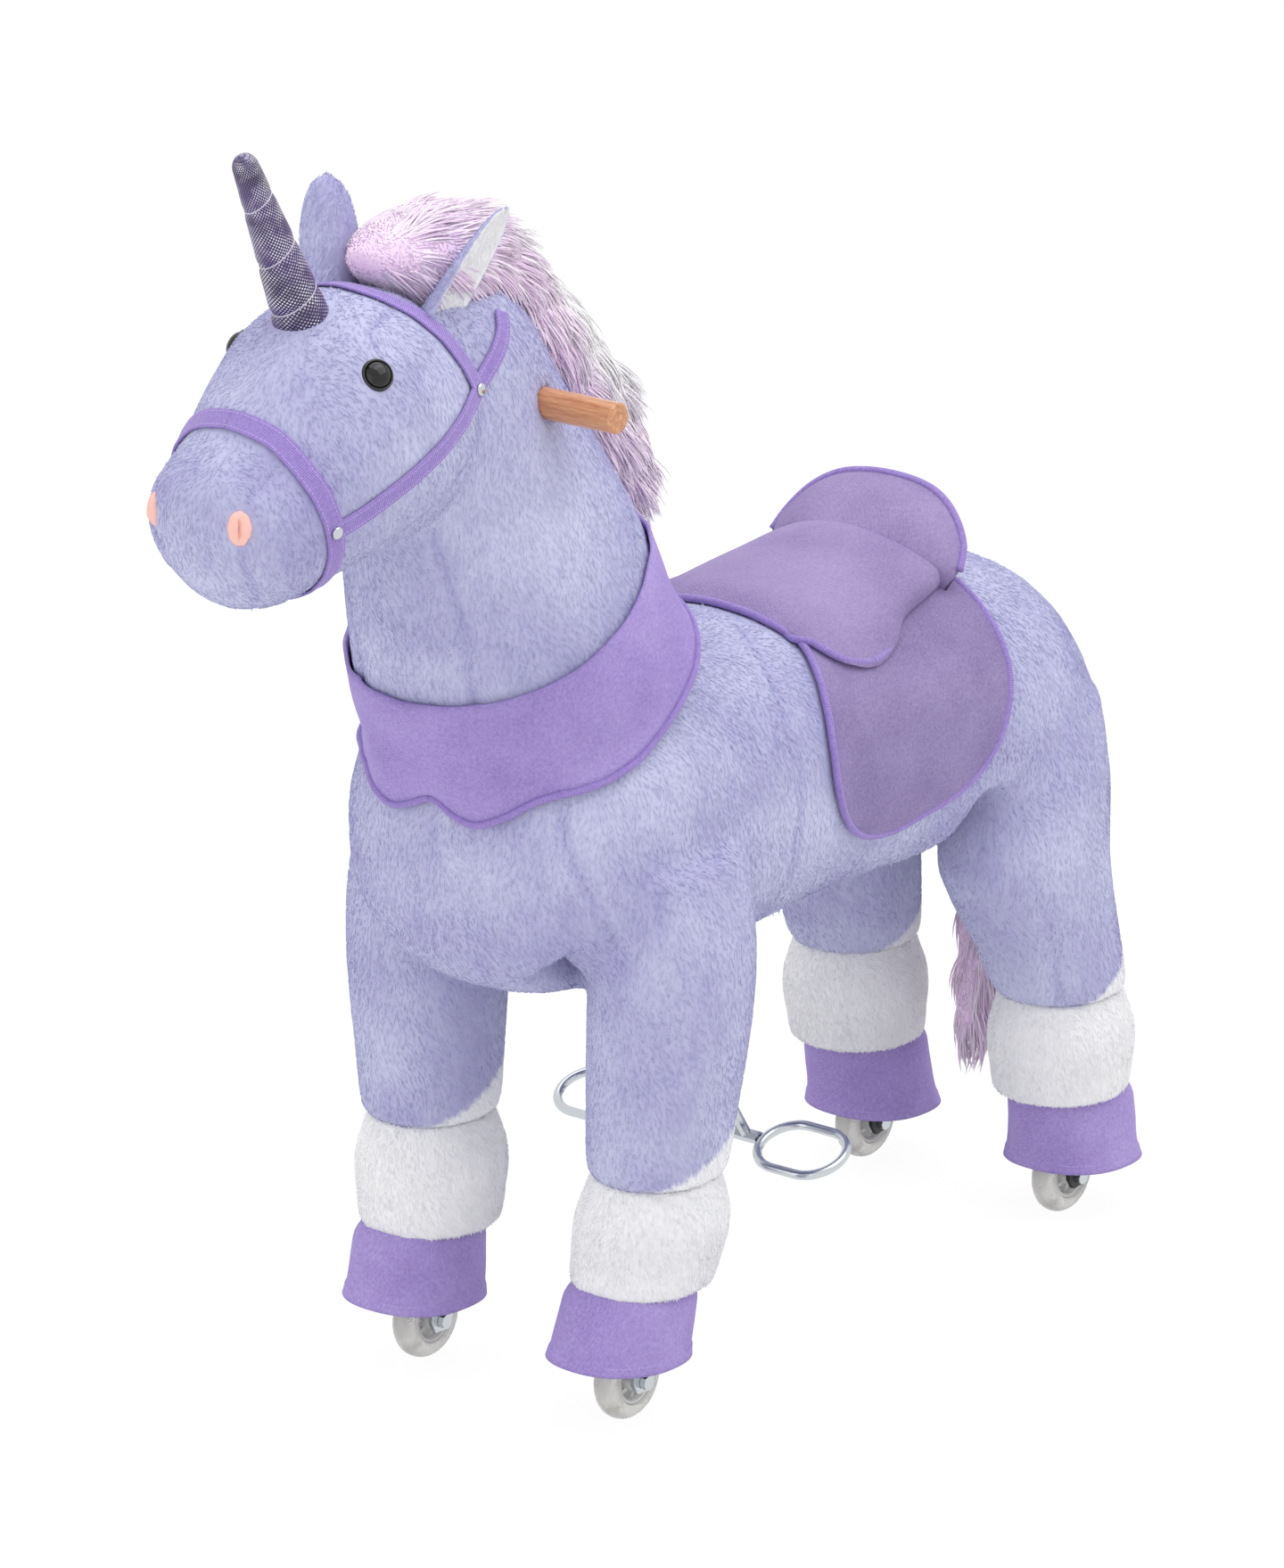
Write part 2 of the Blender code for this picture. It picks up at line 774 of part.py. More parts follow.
def build_chassis(builder):
    """The welded backbone with its two pivot sleeves, the head tube and the saddle posts."""
    half = backbone_width / 2
    low = (hip_x, -half, axle_height - half)
    high = (shoulder_x, half, axle_height + half)
    frame = builder.piece("chassis_frame", box(low, high), "black paint", "chassis")
    post_top = board_top_height - board_thickness - seam_gap
    for x in (post_front_x, post_rear_x):
        builder.join(frame, box((x - half, -half, axle_height), (x + half, half, post_top)))
    riser_top = riser_bar_height + half
    builder.join(frame, box((riser_x - half, -half, axle_height), (riser_x + half, half, riser_top)))
    bar_end = column_point(riser_bar_height).x
    bar_low = (riser_x, -half, riser_bar_height - half)
    builder.join(frame, box(bar_low, (bar_end, half, riser_top)))
    tube_radius = column_radius + seam_gap + head_tube_wall
    top = column_point(head_tube_top_height)
    bottom = column_point(column_bottom_height) + column_axis * (arm_thickness + seam_gap)
    builder.join(frame, rod(bottom, top, tube_radius))
    for x in (shoulder_x, hip_x):
        builder.join(frame, pivot_sleeve(x))
    for x in (shoulder_x, hip_x):
        builder.cut(frame, sleeve_bore(x))
    reach = column_axis * overrun
    builder.cut(frame, rod(bottom - reach, top + reach, column_radius + seam_gap))
    for name, x in (("shoulder_bush", shoulder_x), ("hip_bush", hip_x)):
        inner = pivot_rod_radius + seam_gap
        ends = (-sleeve_half_length, sleeve_half_length)
        profile = [(ends[0], inner), (ends[1], inner), (ends[1], inner + bush_wall), (ends[0], inner + bush_wall)]
        shape = turned_ring((x, 0, axle_height), (0, 1, 0), profile)
        builder.piece(name, shape, "black rubber", "chassis")
    low = (board_middle_x - board_length / 2, -board_width / 2, board_top_height - board_thickness)
    high = (board_middle_x + board_length / 2, board_width / 2, board_top_height)
    builder.piece("saddle_board", box(low, high), "plywood", "chassis")


def socket_cutter(x, radius, side):
    """The round part of the space that an upper leg turns in."""
    inner, outer = socket_inner_y, torso_half_width + overrun
    return rod((x, side * inner, axle_height), (x, side * outer, axle_height), radius, torso_sides)


def slot_cutter(x, inner_y, back, ahead, side):
    """The open part below it, wide enough for the leg's swing."""
    near, far = sorted((side * inner_y, side * (torso_half_width + overrun)))
    floor = torso_middle_height - torso_keel - overrun
    return box((x - back, near, floor), (x + ahead, far, leg_slot_top))


def neck_seat_cutter(clearance):
    """All that lies above the flat seat that the neck turns on, less a clearance below it."""
    start = Vector((neck_seat_x, 0, neck_seat_height)) - column_axis * clearance
    return rod(start, start + column_axis * neck_rise, neck_seat_radius)


def build_torso(builder, torso):
    body = builder.piece("torso_plush", torso.mesh(torso_rings, torso_sides), "lilac plush", "chassis")
    cavity_low = (cavity_rear_x, -socket_inner_y, cavity_floor)
    builder.cut(body, box(cavity_low, (cavity_front_x, socket_inner_y, cavity_roof)))
    half_length = board_length / 2 + board_ease
    half_width = board_width / 2 + board_ease
    board_low = (board_middle_x - half_length, -half_width, cavity_roof - board_ease)
    board_high = (board_middle_x + half_length, half_width, board_top_height + seam_gap)
    builder.cut(body, box(board_low, board_high))
    well_low = (neck_well_rear_x, -neck_well_half_y, cavity_floor + board_ease)
    well_top = torso_middle_height + torso_crown + overrun
    builder.cut(body, box(well_low, (neck_well_front_x, neck_well_half_y, well_top)))
    slot_low = (hanger_slot_rear_x, -hanger_slot_half_y, torso_middle_height - torso_keel - overrun)
    builder.cut(body, box(slot_low, (hanger_slot_front_x, hanger_slot_half_y, cavity_floor + overrun)))
    for side in sides.values():
        builder.cut(body, socket_cutter(shoulder_x, front_socket_radius, side))
        front_slot = (front_slot_inner_y, front_slot_back, front_slot_ahead)
        builder.cut(body, slot_cutter(shoulder_x, *front_slot, side))
        builder.cut(body, socket_cutter(hip_x, rear_socket_radius, side))
        rear_slot = (rear_slot_inner_y, rear_slot_back, rear_slot_ahead)
        builder.cut(body, slot_cutter(hip_x, *rear_slot, side))
    builder.cut(body, neck_seat_cutter(seam_gap))


def build_leg_tubes(builder, end):
    """The welded frame of one pair of legs: the pivot rod and two tubes."""
    pivot_x = shoulder_x if end == "front" else hip_x
    middle = Vector((pivot_x, 0, axle_height))
    reach = Vector((0, wheel_y, 0))
    shape = rod(middle - reach, middle + reach, pivot_rod_radius, small_sides)
    frame = builder.piece(f"{end}_leg_frame", shape, "black paint", f"{end}_legs")
    for side in sides.values():
        top = leg_point(end, leg_tube_top, side)
        bottom = leg_point(end, leg_tube_bottom, side)
        builder.join(frame, rod(bottom, top, leg_tube_radius))
    crank_way = -1 if end == "front" else 1
    inner = crank_inner_y
    outer = inner + crank_thickness
    pin = middle + Vector((0, 0, crank_way * crank_length))
    low_z, high_z = sorted((axle_height, pin.z))
    plate_low = (pivot_x - crank_half_width, inner, low_z)
    builder.join(frame, box(plate_low, (pivot_x + crank_half_width, outer, high_z)))
    eye_shape = rod((pivot_x, inner, pin.z), (pivot_x, outer, pin.z), crank_half_width, small_sides)
    builder.join(frame, eye_shape)
    pin_end = outer + seam_gap + rod_thickness + crank_thickness / 2
    crank_pin = rod((pivot_x, inner, pin.z), (pivot_x, pin_end, pin.z), crank_pin_radius, small_sides)
    builder.join(frame, crank_pin)
    return frame


def fork_shapes(end, side):
    """The crown plate and the two blades of a wheel fork, square to the leg tube."""
    base = leg_point(end, wheel_radius, side)
    along = (leg_point(end, axle_height, side) - base).normalized()
    forward = Vector((along.z, 0, -along.x))
    crown_top = (leg_tube_bottom - seam_gap - wheel_radius) / along.z
    crown = rod(base + along * (crown_top - fork_crown_height), base + along * crown_top, fork_crown_radius)
    blades = []
    for way in (-1, 1):
        inner = way * (wheel_half_width + blade_gap)
        outer = way * (wheel_half_width + blade_gap + blade_thickness)
        rings = []
        for height in (-blade_half_width * 0.7, 0, crown_top - fork_crown_height / 2):
            half = blade_half_width if height >= 0 else blade_half_width * 0.6
            corners = ((-half, inner), (half, inner), (half, outer), (-half, outer))
            rings.append([base + along * height + forward * a + Vector((0, b, 0)) for a, b in corners])
        blades.append(skin(rings))
    return crown, blades, along, crown_top


def axle_bore(x, side):
    reach = wheel_half_width + blade_gap + blade_thickness + overrun
    centre = Vector((x, side * wheel_y, wheel_radius))
    across = Vector((0, reach, 0))
    return rod(centre - across, centre + across, axle_bolt_radius + axle_bolt_ease, small_sides)


def build_front_frame(builder):
    frame = build_leg_tubes(builder, "front")
    for side in sides.values():
        top = leg_point("front", leg_tube_top + overrun, side)
        bottom = leg_point("front", leg_tube_bottom - overrun, side)
        builder.cut(frame, rod(bottom, top, leg_bore_radius))


def build_rear_frame(builder):
    frame = build_leg_tubes(builder, "rear")
    for side in sides.values():
        crown, blades, along, crown_top = fork_shapes("rear", side)
        builder.join(frame, crown)
        base = leg_point("rear", wheel_radius, side)
        neck = rod(base + along * (crown_top - fork_crown_height / 2), base + along * (crown_top + overrun), leg_bore_radius)
        builder.join(frame, neck)
        for blade in blades:
            builder.join(frame, blade)
        builder.cut(frame, axle_bore(-wheel_x, side))


def build_forks(builder):
    """The front forks: stem through the leg tube, and the steering arm on its top."""
    for name, side in sides.items():
        crown, blades, along, crown_top = fork_shapes("front", side)
        fork = builder.piece(f"fork_{name}", crown, "zinc plate", f"fork_{name}")
        for blade in blades:
            builder.join(fork, blade)
        base = leg_point("front", wheel_radius, side)
        arm_bottom = leg_tube_top + seam_gap + leg_tube_radius * abs(along.x)
        arm_top = tie_bar_height - 2 * seam_gap
        top = leg_point("front", arm_top, side)
        builder.join(fork, rod(base + along * (crown_top - fork_crown_height / 2), top, stem_radius))
        arm_low = (top.x - arm_length, top.y - arm_half_width, arm_top - arm_thickness)
        builder.join(fork, box(arm_low, (top.x, top.y + arm_half_width, arm_top)))
        hub = rod((top.x, top.y, arm_bottom), (top.x, top.y, arm_top), arm_half_width + link_pin_radius)
        builder.join(fork, hub)
        eye_place = (top.x - arm_length, top.y)
        eye_shape = rod((*eye_place, arm_top - arm_thickness), (*eye_place, arm_top), arm_half_width)
        builder.join(fork, eye_shape)
        pin_top = tie_bar_height + tie_bar_thickness + link_pin_radius
        builder.join(fork, rod((*eye_place, arm_top - arm_thickness / 2), (*eye_place, pin_top), link_pin_radius, small_sides))
        builder.cut(fork, axle_bore(wheel_x, side))


def slot_hole(x, y, half_length, radius, low, high):
    """A slot along X with round ends, from low to high."""
    rings = []
    for z in (low, high):
        ring = []
        for step in range(small_sides + 2):
            late = step > small_sides // 2
            angle = math.pi * (step - late) / (small_sides // 2) + math.pi / 2
            way = 1 if late else -1
            ring.append(Vector((x + way * half_length + radius * math.cos(angle), y + radius * math.sin(angle), z)))
        rings.append(ring)
    return skin(rings)


def build_tie_bar(builder):
    """The flat bar that joins the fork arms to the column's arm."""
    arm_end = leg_point("front", tie_bar_height, 1).x - arm_length
    low, high = tie_bar_height, tie_bar_height + tie_bar_thickness
    bar_low = (arm_end - tie_bar_half_width, -wheel_y, low)
    shape = box(bar_low, (arm_end + tie_bar_half_width, wheel_y, high))
    bar = builder.piece("tie_bar", shape, "zinc plate", "tie_bar")
    pad_x = column_pin_at_bar()
    pad_low = (pad_x - tie_pad_half_x, -tie_pad_half_y, low)
    builder.join(bar, box(pad_low, (pad_x + tie_pad_half_x, tie_pad_half_y, high)))
    for side in sides.values():
        end_low = (arm_end - arm_half_width, side * wheel_y - arm_half_width, low)
        builder.join(bar, box(end_low, (arm_end + arm_half_width, side * wheel_y + arm_half_width, high)))
    hole = link_pin_radius + pin_ease
    for side in sides.values():
        cut_low, cut_high = low - overrun, high + overrun
        builder.cut(bar, slot_hole(arm_end, side * wheel_y, end_slot_ease, hole, cut_low, cut_high))
    builder.cut(bar, slot_hole(pad_x, 0, pad_slot_ease, hole, low - overrun, high + overrun))


def column_arm_pin():
    """Where the column's arm carries its pin, at the level of the column's foot."""
    back = Vector((-column_axis.z, 0, column_axis.x))
    return column_point(column_bottom_height) + back * arm_length


def column_pin_at_bar():
    """How far forward the column's pin is where it passes through the tie bar."""
    pin = column_arm_pin()
    middle = tie_bar_height + tie_bar_thickness / 2
    return pin.x - (pin.z - middle) * math.tan(math.radians(column_lean))


def build_column(builder):
    """The steering column, its arm and pin below, and the handle's cross socket above."""
    bottom = column_point(column_bottom_height)
    top = column_point(handle_height)
    column = builder.piece("steering_column", rod(bottom, top, column_radius), "zinc plate", "steering_head")
    socket_radius = handle_radius + seam_gap + socket_wall
    left = Vector((handle_x, socket_half_length, handle_height))
    right = Vector((handle_x, -socket_half_length, handle_height))
    builder.join(column, rod(right, left, socket_radius))
    pin = column_arm_pin()
    lift = column_axis * (arm_thickness / 2)
    arm = bar_between(bottom + lift, pin + lift, arm_half_width, arm_thickness / 2)
    builder.join(column, arm)
    builder.join(column, rod(pin, pin + lift * 2, arm_half_width, small_sides))
    pin_foot = pin - column_axis * link_pin_drop
    builder.join(column, rod(pin_foot, pin + lift, link_pin_radius, small_sides))
    flange = column_point(head_tube_top_height) + column_axis * seam_gap
    flange_radius = column_radius + seam_gap + head_tube_wall
    builder.join(column, rod(flange, flange + column_axis * arm_thickness, flange_radius))
    reach = Vector((0, overrun, 0))
    builder.cut(column, rod(right - reach, left + reach, handle_radius + seam_gap))
    ends = handle_half_length
    profile = (
        (-ends, handle_radius - handle_chamfer),
        (-ends + handle_chamfer, handle_radius),
        (ends - handle_chamfer, handle_radius),
        (ends, handle_radius - handle_chamfer),
    )
    shape = turned((handle_x, 0, handle_height), (0, 1, 0), profile)
    builder.piece("handle_bar", shape, "varnished beech", "steering_head")


def build_link_rod(builder):
    """The flat rod from the front crank, below its axle, to the rear crank, above its axle."""
    y_middle = crank_inner_y + crank_thickness + seam_gap + rod_thickness / 2
    front = Vector((shoulder_x, y_middle, axle_height - crank_length))
    rear = Vector((hip_x, y_middle, axle_height + crank_length))
    shape = bar_between(rear, front, rod_thickness / 2, rod_half_width)
    link = builder.piece("link_rod", shape, "zinc plate", "link_rod")
    half = Vector((0, rod_thickness / 2, 0))
    for place in (front, rear):
        builder.join(link, rod(place - half, place + half, rod_half_width * 1.2))
    reach = Vector((0, overrun, 0))
    for place in (front, rear):
        builder.cut(link, rod(place - reach, place + reach, crank_pin_radius + crank_pin_ease, small_sides))


def ring_route():
    """The middle line of the left foot ring: a flat loop with round ends, tilted toes down."""
    half_width = ring_width / 2 - ring_rod_radius
    near = ring_inner_y + ring_rod_radius + half_width
    far = ring_outer_y - ring_rod_radius - half_width
    tilt = math.radians(ring_tilt)
    forward = Vector((math.cos(tilt), 0, -math.sin(tilt)))
    route = []
    steps = 8
    for middle, start in ((far, 0), (near, math.pi)):
        for step in range(steps + 1):
            angle = start + math.pi * step / steps
            point = Vector((ring_x, middle, ring_height)) + forward * half_width * math.cos(angle)
            route.append(point + Vector((0, half_width * math.sin(angle), 0)))
    return route


def build_footrests(builder):
    for name, side in sides.items():
        route = [Vector((point.x, side * point.y, point.z)) for point in ring_route()]
        shape = bent_rod(route, ring_rod_radius, 8, closed=True)
        builder.piece(f"footrest_ring_{name}", shape, "zinc plate", "front_legs")
    reach = ring_inner_y - seam_gap
    cross = rod((ring_x, -reach, ring_height), (ring_x, reach, ring_height), cross_rod_radius, small_sides)
    hanger = builder.piece("footrest_hanger", cross, "zinc plate", "front_legs")
    for side in sides.values():
        y = side * hanger_y
        foot = Vector((ring_x, y, ring_height))
        pivot = Vector((shoulder_x, y, axle_height))
        run = (pivot - foot).normalized()
        builder.join(hanger, rod(foot, pivot - run * hanger_plate_radius * 0.8, hanger_rod_radius, small_sides))
        half = Vector((0, hanger_plate_thickness / 2, 0))
        builder.join(hanger, rod(pivot - half, pivot + half, hanger_plate_radius))
        far = Vector((0, overrun / 2, 0))
        builder.cut(hanger, rod(pivot - far, pivot + far, pivot_rod_radius + seam_gap))


def build_wheel(builder, end, name, side):
    """A clear tyre on a core with round windows, and the bolt that it runs on."""
    x = wheel_x if end == "front" else -wheel_x
    centre = Vector((x, side * wheel_y, wheel_radius))
    across = Vector((0, 1, 0))
    label = f"{end}_{name}"
    shoulder = wheel_radius - wheel_half_width * 0.62
    profile = (
        (-wheel_half_width * 0.86, tyre_inner_radius),
        (-wheel_half_width, tyre_inner_radius + blade_gap),
        (-wheel_half_width, shoulder),
        (-wheel_half_width * 0.78, wheel_radius - wheel_half_width * 0.26),
        (-wheel_half_width * 0.28, wheel_radius),
        (wheel_half_width * 0.28, wheel_radius),
        (wheel_half_width * 0.78, wheel_radius - wheel_half_width * 0.26),
        (wheel_half_width, shoulder),
        (wheel_half_width, tyre_inner_radius + blade_gap),
        (wheel_half_width * 0.86, tyre_inner_radius),
    )
    tyre = turned_ring(centre, across, profile)
    builder.piece(f"tyre_{label}", tyre, "clear polyurethane", f"wheel_{label}")
    bore = axle_bolt_radius + axle_bolt_ease
    rim = tyre_inner_radius - seam_gap
    web = core_half_width * 0.5
    lip = rim - blade_gap
    core_profile = (
        (-wheel_half_width, bore),
        (wheel_half_width, bore),
        (wheel_half_width, hub_radius),
        (web, hub_radius + blade_gap / 2),
        (web, lip),
        (core_half_width, lip + blade_gap / 2),
        (core_half_width, rim),
        (-core_half_width, rim),
        (-core_half_width, lip + blade_gap / 2),
        (-web, lip),
        (-web, hub_radius + blade_gap / 2),
        (-wheel_half_width, hub_radius),
    )
    core = builder.piece(f"core_{label}", turned_ring(centre, across, core_profile), "white nylon", f"wheel_{label}")
    for step in range(core_window_count):
        angle = 2 * math.pi * step / core_window_count
        way = Vector((math.cos(angle), 0, math.sin(angle))) * core_window_circle
        reach = Vector((0, wheel_half_width, 0))
        builder.cut(core, rod(centre + way - reach, centre + way + reach, core_window_radius, 6))
    outer = wheel_half_width + blade_gap + blade_thickness
    head = outer + seam_gap
    bolt_profile = (
        (-head - bolt_head_height, bolt_head_radius),
        (-head, bolt_head_radius),
        (-head, axle_bolt_radius),
        (head, axle_bolt_radius),
        (head, bolt_head_radius),
        (head + bolt_head_height, bolt_head_radius),
    )
    carrier = f"fork_{name}" if end == "front" else "rear_legs"
    builder.piece(f"axle_bolt_{label}", turned(centre, across, bolt_profile, small_sides), "zinc plate", carrier)


def disc_shape(x, radius, side):
    """The round upper end of a leg, before it takes the torso's outline."""
    inner = socket_inner_y + seam_gap
    outer = torso_half_width + overrun
    low = (x, side * inner, axle_height)
    return rod(low, (x, side * outer, axle_height), radius - socket_clearance, torso_sides)


def build_leg_covers(builder, torso, end, name, side):
    """The stuffed leg with its upper disc, the white cuff and the hoof cover of one leg."""
    front = end == "front"
    pivot_x = shoulder_x if front else hip_x
    label = f"{end}_{name}"
    radius = front_socket_radius if front else rear_socket_radius
    leg_shares = front_leg_shares if front else rear_leg_shares
    cuff_shares = front_cuff_shares if front else rear_cuff_shares
    hoof_shares = front_hoof_shares if front else rear_hoof_shares
    leg_form = limb_form(leg_shares, pivot_x, side, cuff_top_height + seam_gap, leg_top_height)
    leg_shape = leg_form.mesh(9, limb_sides)
    leg = builder.piece(f"leg_plush_{label}", leg_shape, "lilac plush", f"{end}_legs")
    near, far = sorted((side * -overrun, side * (socket_inner_y + seam_gap)))
    trim_low = (pivot_x - 2 * leg_half_depth, near, leg_neck_height)
    trim_high = (pivot_x + 2 * leg_half_depth, far, leg_top_height + overrun)
    builder.cut(leg, box(trim_low, trim_high))
    disc = builder.cutter(disc_shape(pivot_x, radius, side))
    builder.keep(disc, builder.cutter(torso.mesh(torso_rings, torso_sides)))
    builder.join(leg, disc)
    tube_bottom = leg_point(end, leg_tube_bottom - overrun, side)
    tube_top = leg_point(end, leg_tube_top + seam_gap, side)
    tube_space = rod(tube_bottom, tube_top, leg_tube_radius + seam_gap)
    builder.cut(leg, tube_space)
    reach = leg_well_outer_y if front else wheel_y
    well_near, well_far = sorted((side * front_slot_inner_y, side * reach))
    if front:
        well_low = (pivot_x - leg_well_rear, well_near, leg_well_bottom)
        well_high = (pivot_x + leg_well_front, well_far, leg_well_top)
    else:
        well_half = pivot_rod_radius + seam_gap
        well_low = (pivot_x - well_half, well_near, axle_height - well_half)
        well_high = (pivot_x + well_half, well_far, axle_height + well_half)
    builder.cut(leg, box(well_low, well_high))
    cuff_form = limb_form(cuff_shares, pivot_x, side, hoof_top_height + seam_gap, cuff_top_height)
    cuff = builder.piece(f"cuff_{label}", cuff_form.mesh(5, limb_sides), "white plush", f"{end}_legs")
    builder.cut(cuff, tube_space)
    hoof_form = limb_form(hoof_shares, pivot_x, side, hoof_bottom_height, hoof_top_height)
    hoof = builder.piece(
        f"hoof_cover_{label}", hoof_form.mesh(3, limb_sides), "purple twill", f"{end}_legs"
    )
    builder.cut(hoof, tube_space)
    centre = leg_point(end, hoof_bottom_height, side)
    floor = Vector((centre.x, centre.y, hoof_floor_height))
    builder.cut(hoof, rod(centre - Vector((0, 0, overrun)), floor, hoof_cavity_radius))


def build_neck_and_head(builder, neck, head):
    body = builder.piece("neck_plush", neck.mesh(neck_rings, head_sides), "lilac plush", "steering_head")
    ease = column_radius + seam_gap
    builder.cut(body, rod(column_point(column_bottom_height), column_point(handle_height), ease))
    wide = socket_half_length + seam_gap
    socket_space = handle_radius + socket_wall + seam_gap
    builder.cut(body, rod((handle_x, -wide, handle_height), (handle_x, wide, handle_height), socket_space))
    reach = handle_half_length
    handle_space = handle_radius + seam_gap
    builder.cut(body, rod((handle_x, -reach, handle_height), (handle_x, reach, handle_height), handle_space))
    seat = Vector((neck_seat_x, 0, neck_seat_height)) + column_axis * seam_gap
    below = rod(seat - column_axis * neck_rise, seat, neck_seat_radius)
    builder.cut(body, below)
    builder.cut(body, head.mesh(head_rings, head_sides, seam_gap))
    builder.piece("head_plush", head.mesh(head_rings, head_sides), "lilac plush", "steering_head")


def build_horn(builder, head):
    base = Vector((horn_base_x, 0, horn_base_height))
    tip = Vector((horn_tip_x, 0, horn_tip_height))
    length = (tip - base).length
    profile = []
    steps = 12
    for step in range(steps + 1):
        share = step / steps
        radius = horn_base_radius + (horn_tip_radius - horn_base_radius) * share
        near_groove = min(abs(share - groove) for groove in horn_groove_shares)
        if near_groove < 1 / (2 * steps):
            radius -= horn_groove
        profile.append((share * (length - horn_tip_radius), radius))
    profile.append((length - horn_tip_radius * 0.35, horn_tip_radius * 0.75))
    profile.append((length, horn_tip_radius * 0.25))
    shape = turned(base, tip - base, profile, 16)
    horn = builder.piece("horn", shape, "foil cloth", "steering_head")
    builder.cut(horn, head.mesh(head_rings, head_sides, seam_gap))


def build_ears(builder, neck, head):
    """Leaf-shaped ears with a hollow facing outwards and forwards."""
    for name, side in sides.items():
        base = Vector((ear_base_x[name], side * ear_base_y, ear_base_height))
        tip = Vector((ear_tip_x[name], side * ear_tip_y, ear_tip_height[name]))
        along = (tip - base).normalized()
        facing = Vector((0.55, side * 0.84, 0))
        facing = (facing - along * facing.dot(along)).normalized()
        across = along.cross(facing)
        rings = []
        for share, width in ((0, 0.70), (0.2, 0.95), (0.45, 1.0), (0.7, 0.78), (0.88, 0.45), (1.0, 0.12)):
            middle = base + (tip - base) * share
            half = ear_half_width * width
            thick = ear_half_thickness * (0.4 + 0.6 * width)
            ring = []
            for step in range(16):
                angle = 2 * math.pi * step / 16
                off = math.cos(angle)
                push = math.sin(angle)
                dish = ear_cup * width * (1 - off**2) if push > 0 else 0
                ring.append(middle + across * half * off + facing * (thick * push - dish))
            rings.append(ring)
        ear = builder.piece(f"ear_{name}", skin(rings), "lilac plush", "steering_head")
        builder.cut(ear, head.mesh(head_rings, head_sides, seam_gap))
        builder.cut(ear, neck.mesh(neck_rings, head_sides, seam_gap))


def build_eyes(builder, head):
    for name, side in sides.items():
        angle = eye_turn if side > 0 else 180 - eye_turn
        place = head.point(eye_station_share, angle)
        normal = head.normal(eye_station_share, angle)
        profile = (
            (-eye_bulge, eye_radius * 0.80),
            (-eye_bulge * 0.2, eye_radius * 0.97),
            (eye_bulge * 0.25, eye_radius),
            (eye_bulge * 0.65, eye_radius * 0.78),
            (eye_bulge * 0.92, eye_radius * 0.42),
            (eye_bulge, eye_radius * 0.10),
        )
        eye = builder.piece(f"eye_{name}", turned(place, normal, profile, 16), "eye black", "steering_head")
        builder.cut(eye, head.mesh(head_rings, head_sides, seam_gap))


def strap_mesh(form, stations, side, closed=False):
    """A flat strap over a form, through (share, angle) stations, sunk a little for its seat."""
    rings = []
    total = len(stations)
    for index, (share, angle) in enumerate(stations):
        turn = angle if side > 0 else 180 - angle
        place = form.point(share, turn)
        normal = form.normal(share, turn)
        before = stations[(index - 1) % total] if closed or index else stations[0]
        after = stations[(index + 1) % total] if closed or index < total - 1 else stations[-1]
        ends = []
        for found in (before, after):
            ends.append(form.point(found[0], found[1] if side > 0 else 180 - found[1]))
        along = (ends[1] - ends[0]).normalized()
        across = normal.cross(along).normalized() * (strap_width / 2)
        out = normal * strap_thickness
        down = normal * -strap_seat
        rings.append([place + across + out, place - across + out, place - across + down, place + across + down])
    return rings


def smooth_stations(stations, count):
    return [tuple(blend_rows(stations, step / (count - 1))) for step in range(count)]


def build_bridle(builder, head, neck):
    turn = 360 / head_sides
    stations = [(noseband_share, turn * step) for step in range(head_sides)]
    rings = strap_mesh(head, stations, 1, closed=True)
    points = [point for ring in rings for point in ring]
    faces = []
    for row in range(len(rings)):
        following = (row + 1) % len(rings)
        for i in range(4):
            j = (i + 1) % 4
            faces.append((row * 4 + i, row * 4 + j, following * 4 + j, following * 4 + i))
    straps = [builder.piece("noseband", (points, faces), "purple webbing", "steering_head")]
    for name, side in sides.items():
        stations = smooth_stations(cheek_strap_shares, 9)
        shape = skin(strap_mesh(head, stations, side))
        strap = builder.piece(f"cheek_strap_{name}", shape, "purple webbing", "steering_head")
        straps.append(strap)
    half = smooth_stations(headband_shares, 9)
    other = [(share, 180 - angle) for share, angle in reversed(half[:-1])]
    shape = skin(strap_mesh(head, half + other, 1))
    straps.append(builder.piece("headband", shape, "purple webbing", "steering_head"))
    for strap in straps[1:3]:
        builder.cut(strap, noseband_space(head))
        builder.cut(strap, neck.mesh(neck_rings, head_sides, seam_gap))
    builder.cut(straps[3], cheek_space(head, 1))
    builder.cut(straps[3], cheek_space(head, -1))
    for strap in straps:
        builder.cut(strap, head.mesh(head_rings, head_sides, seam_gap))


def noseband_space(head):
    """A thick copy of the noseband's place, which keeps the cheek straps off it."""
    reach = strap_width / 2 + seam_gap
    centre, up, _, _, _, _ = head.section(noseband_share)
    along = Vector((up.z, 0, -up.x))
    return rod(centre - along * reach, centre + along * reach, head_half_width * 1.6)


def cheek_space(head, side):
    """A block over the upper end of a cheek strap, which keeps the headband off it."""
    share, angle = cheek_strap_shares[-1]
    turn = angle if side > 0 else 180 - angle
    place = head.point(share, turn)
    half = Vector((strap_width, strap_width, strap_width * 0.62))
    return box(place - half, place + half)


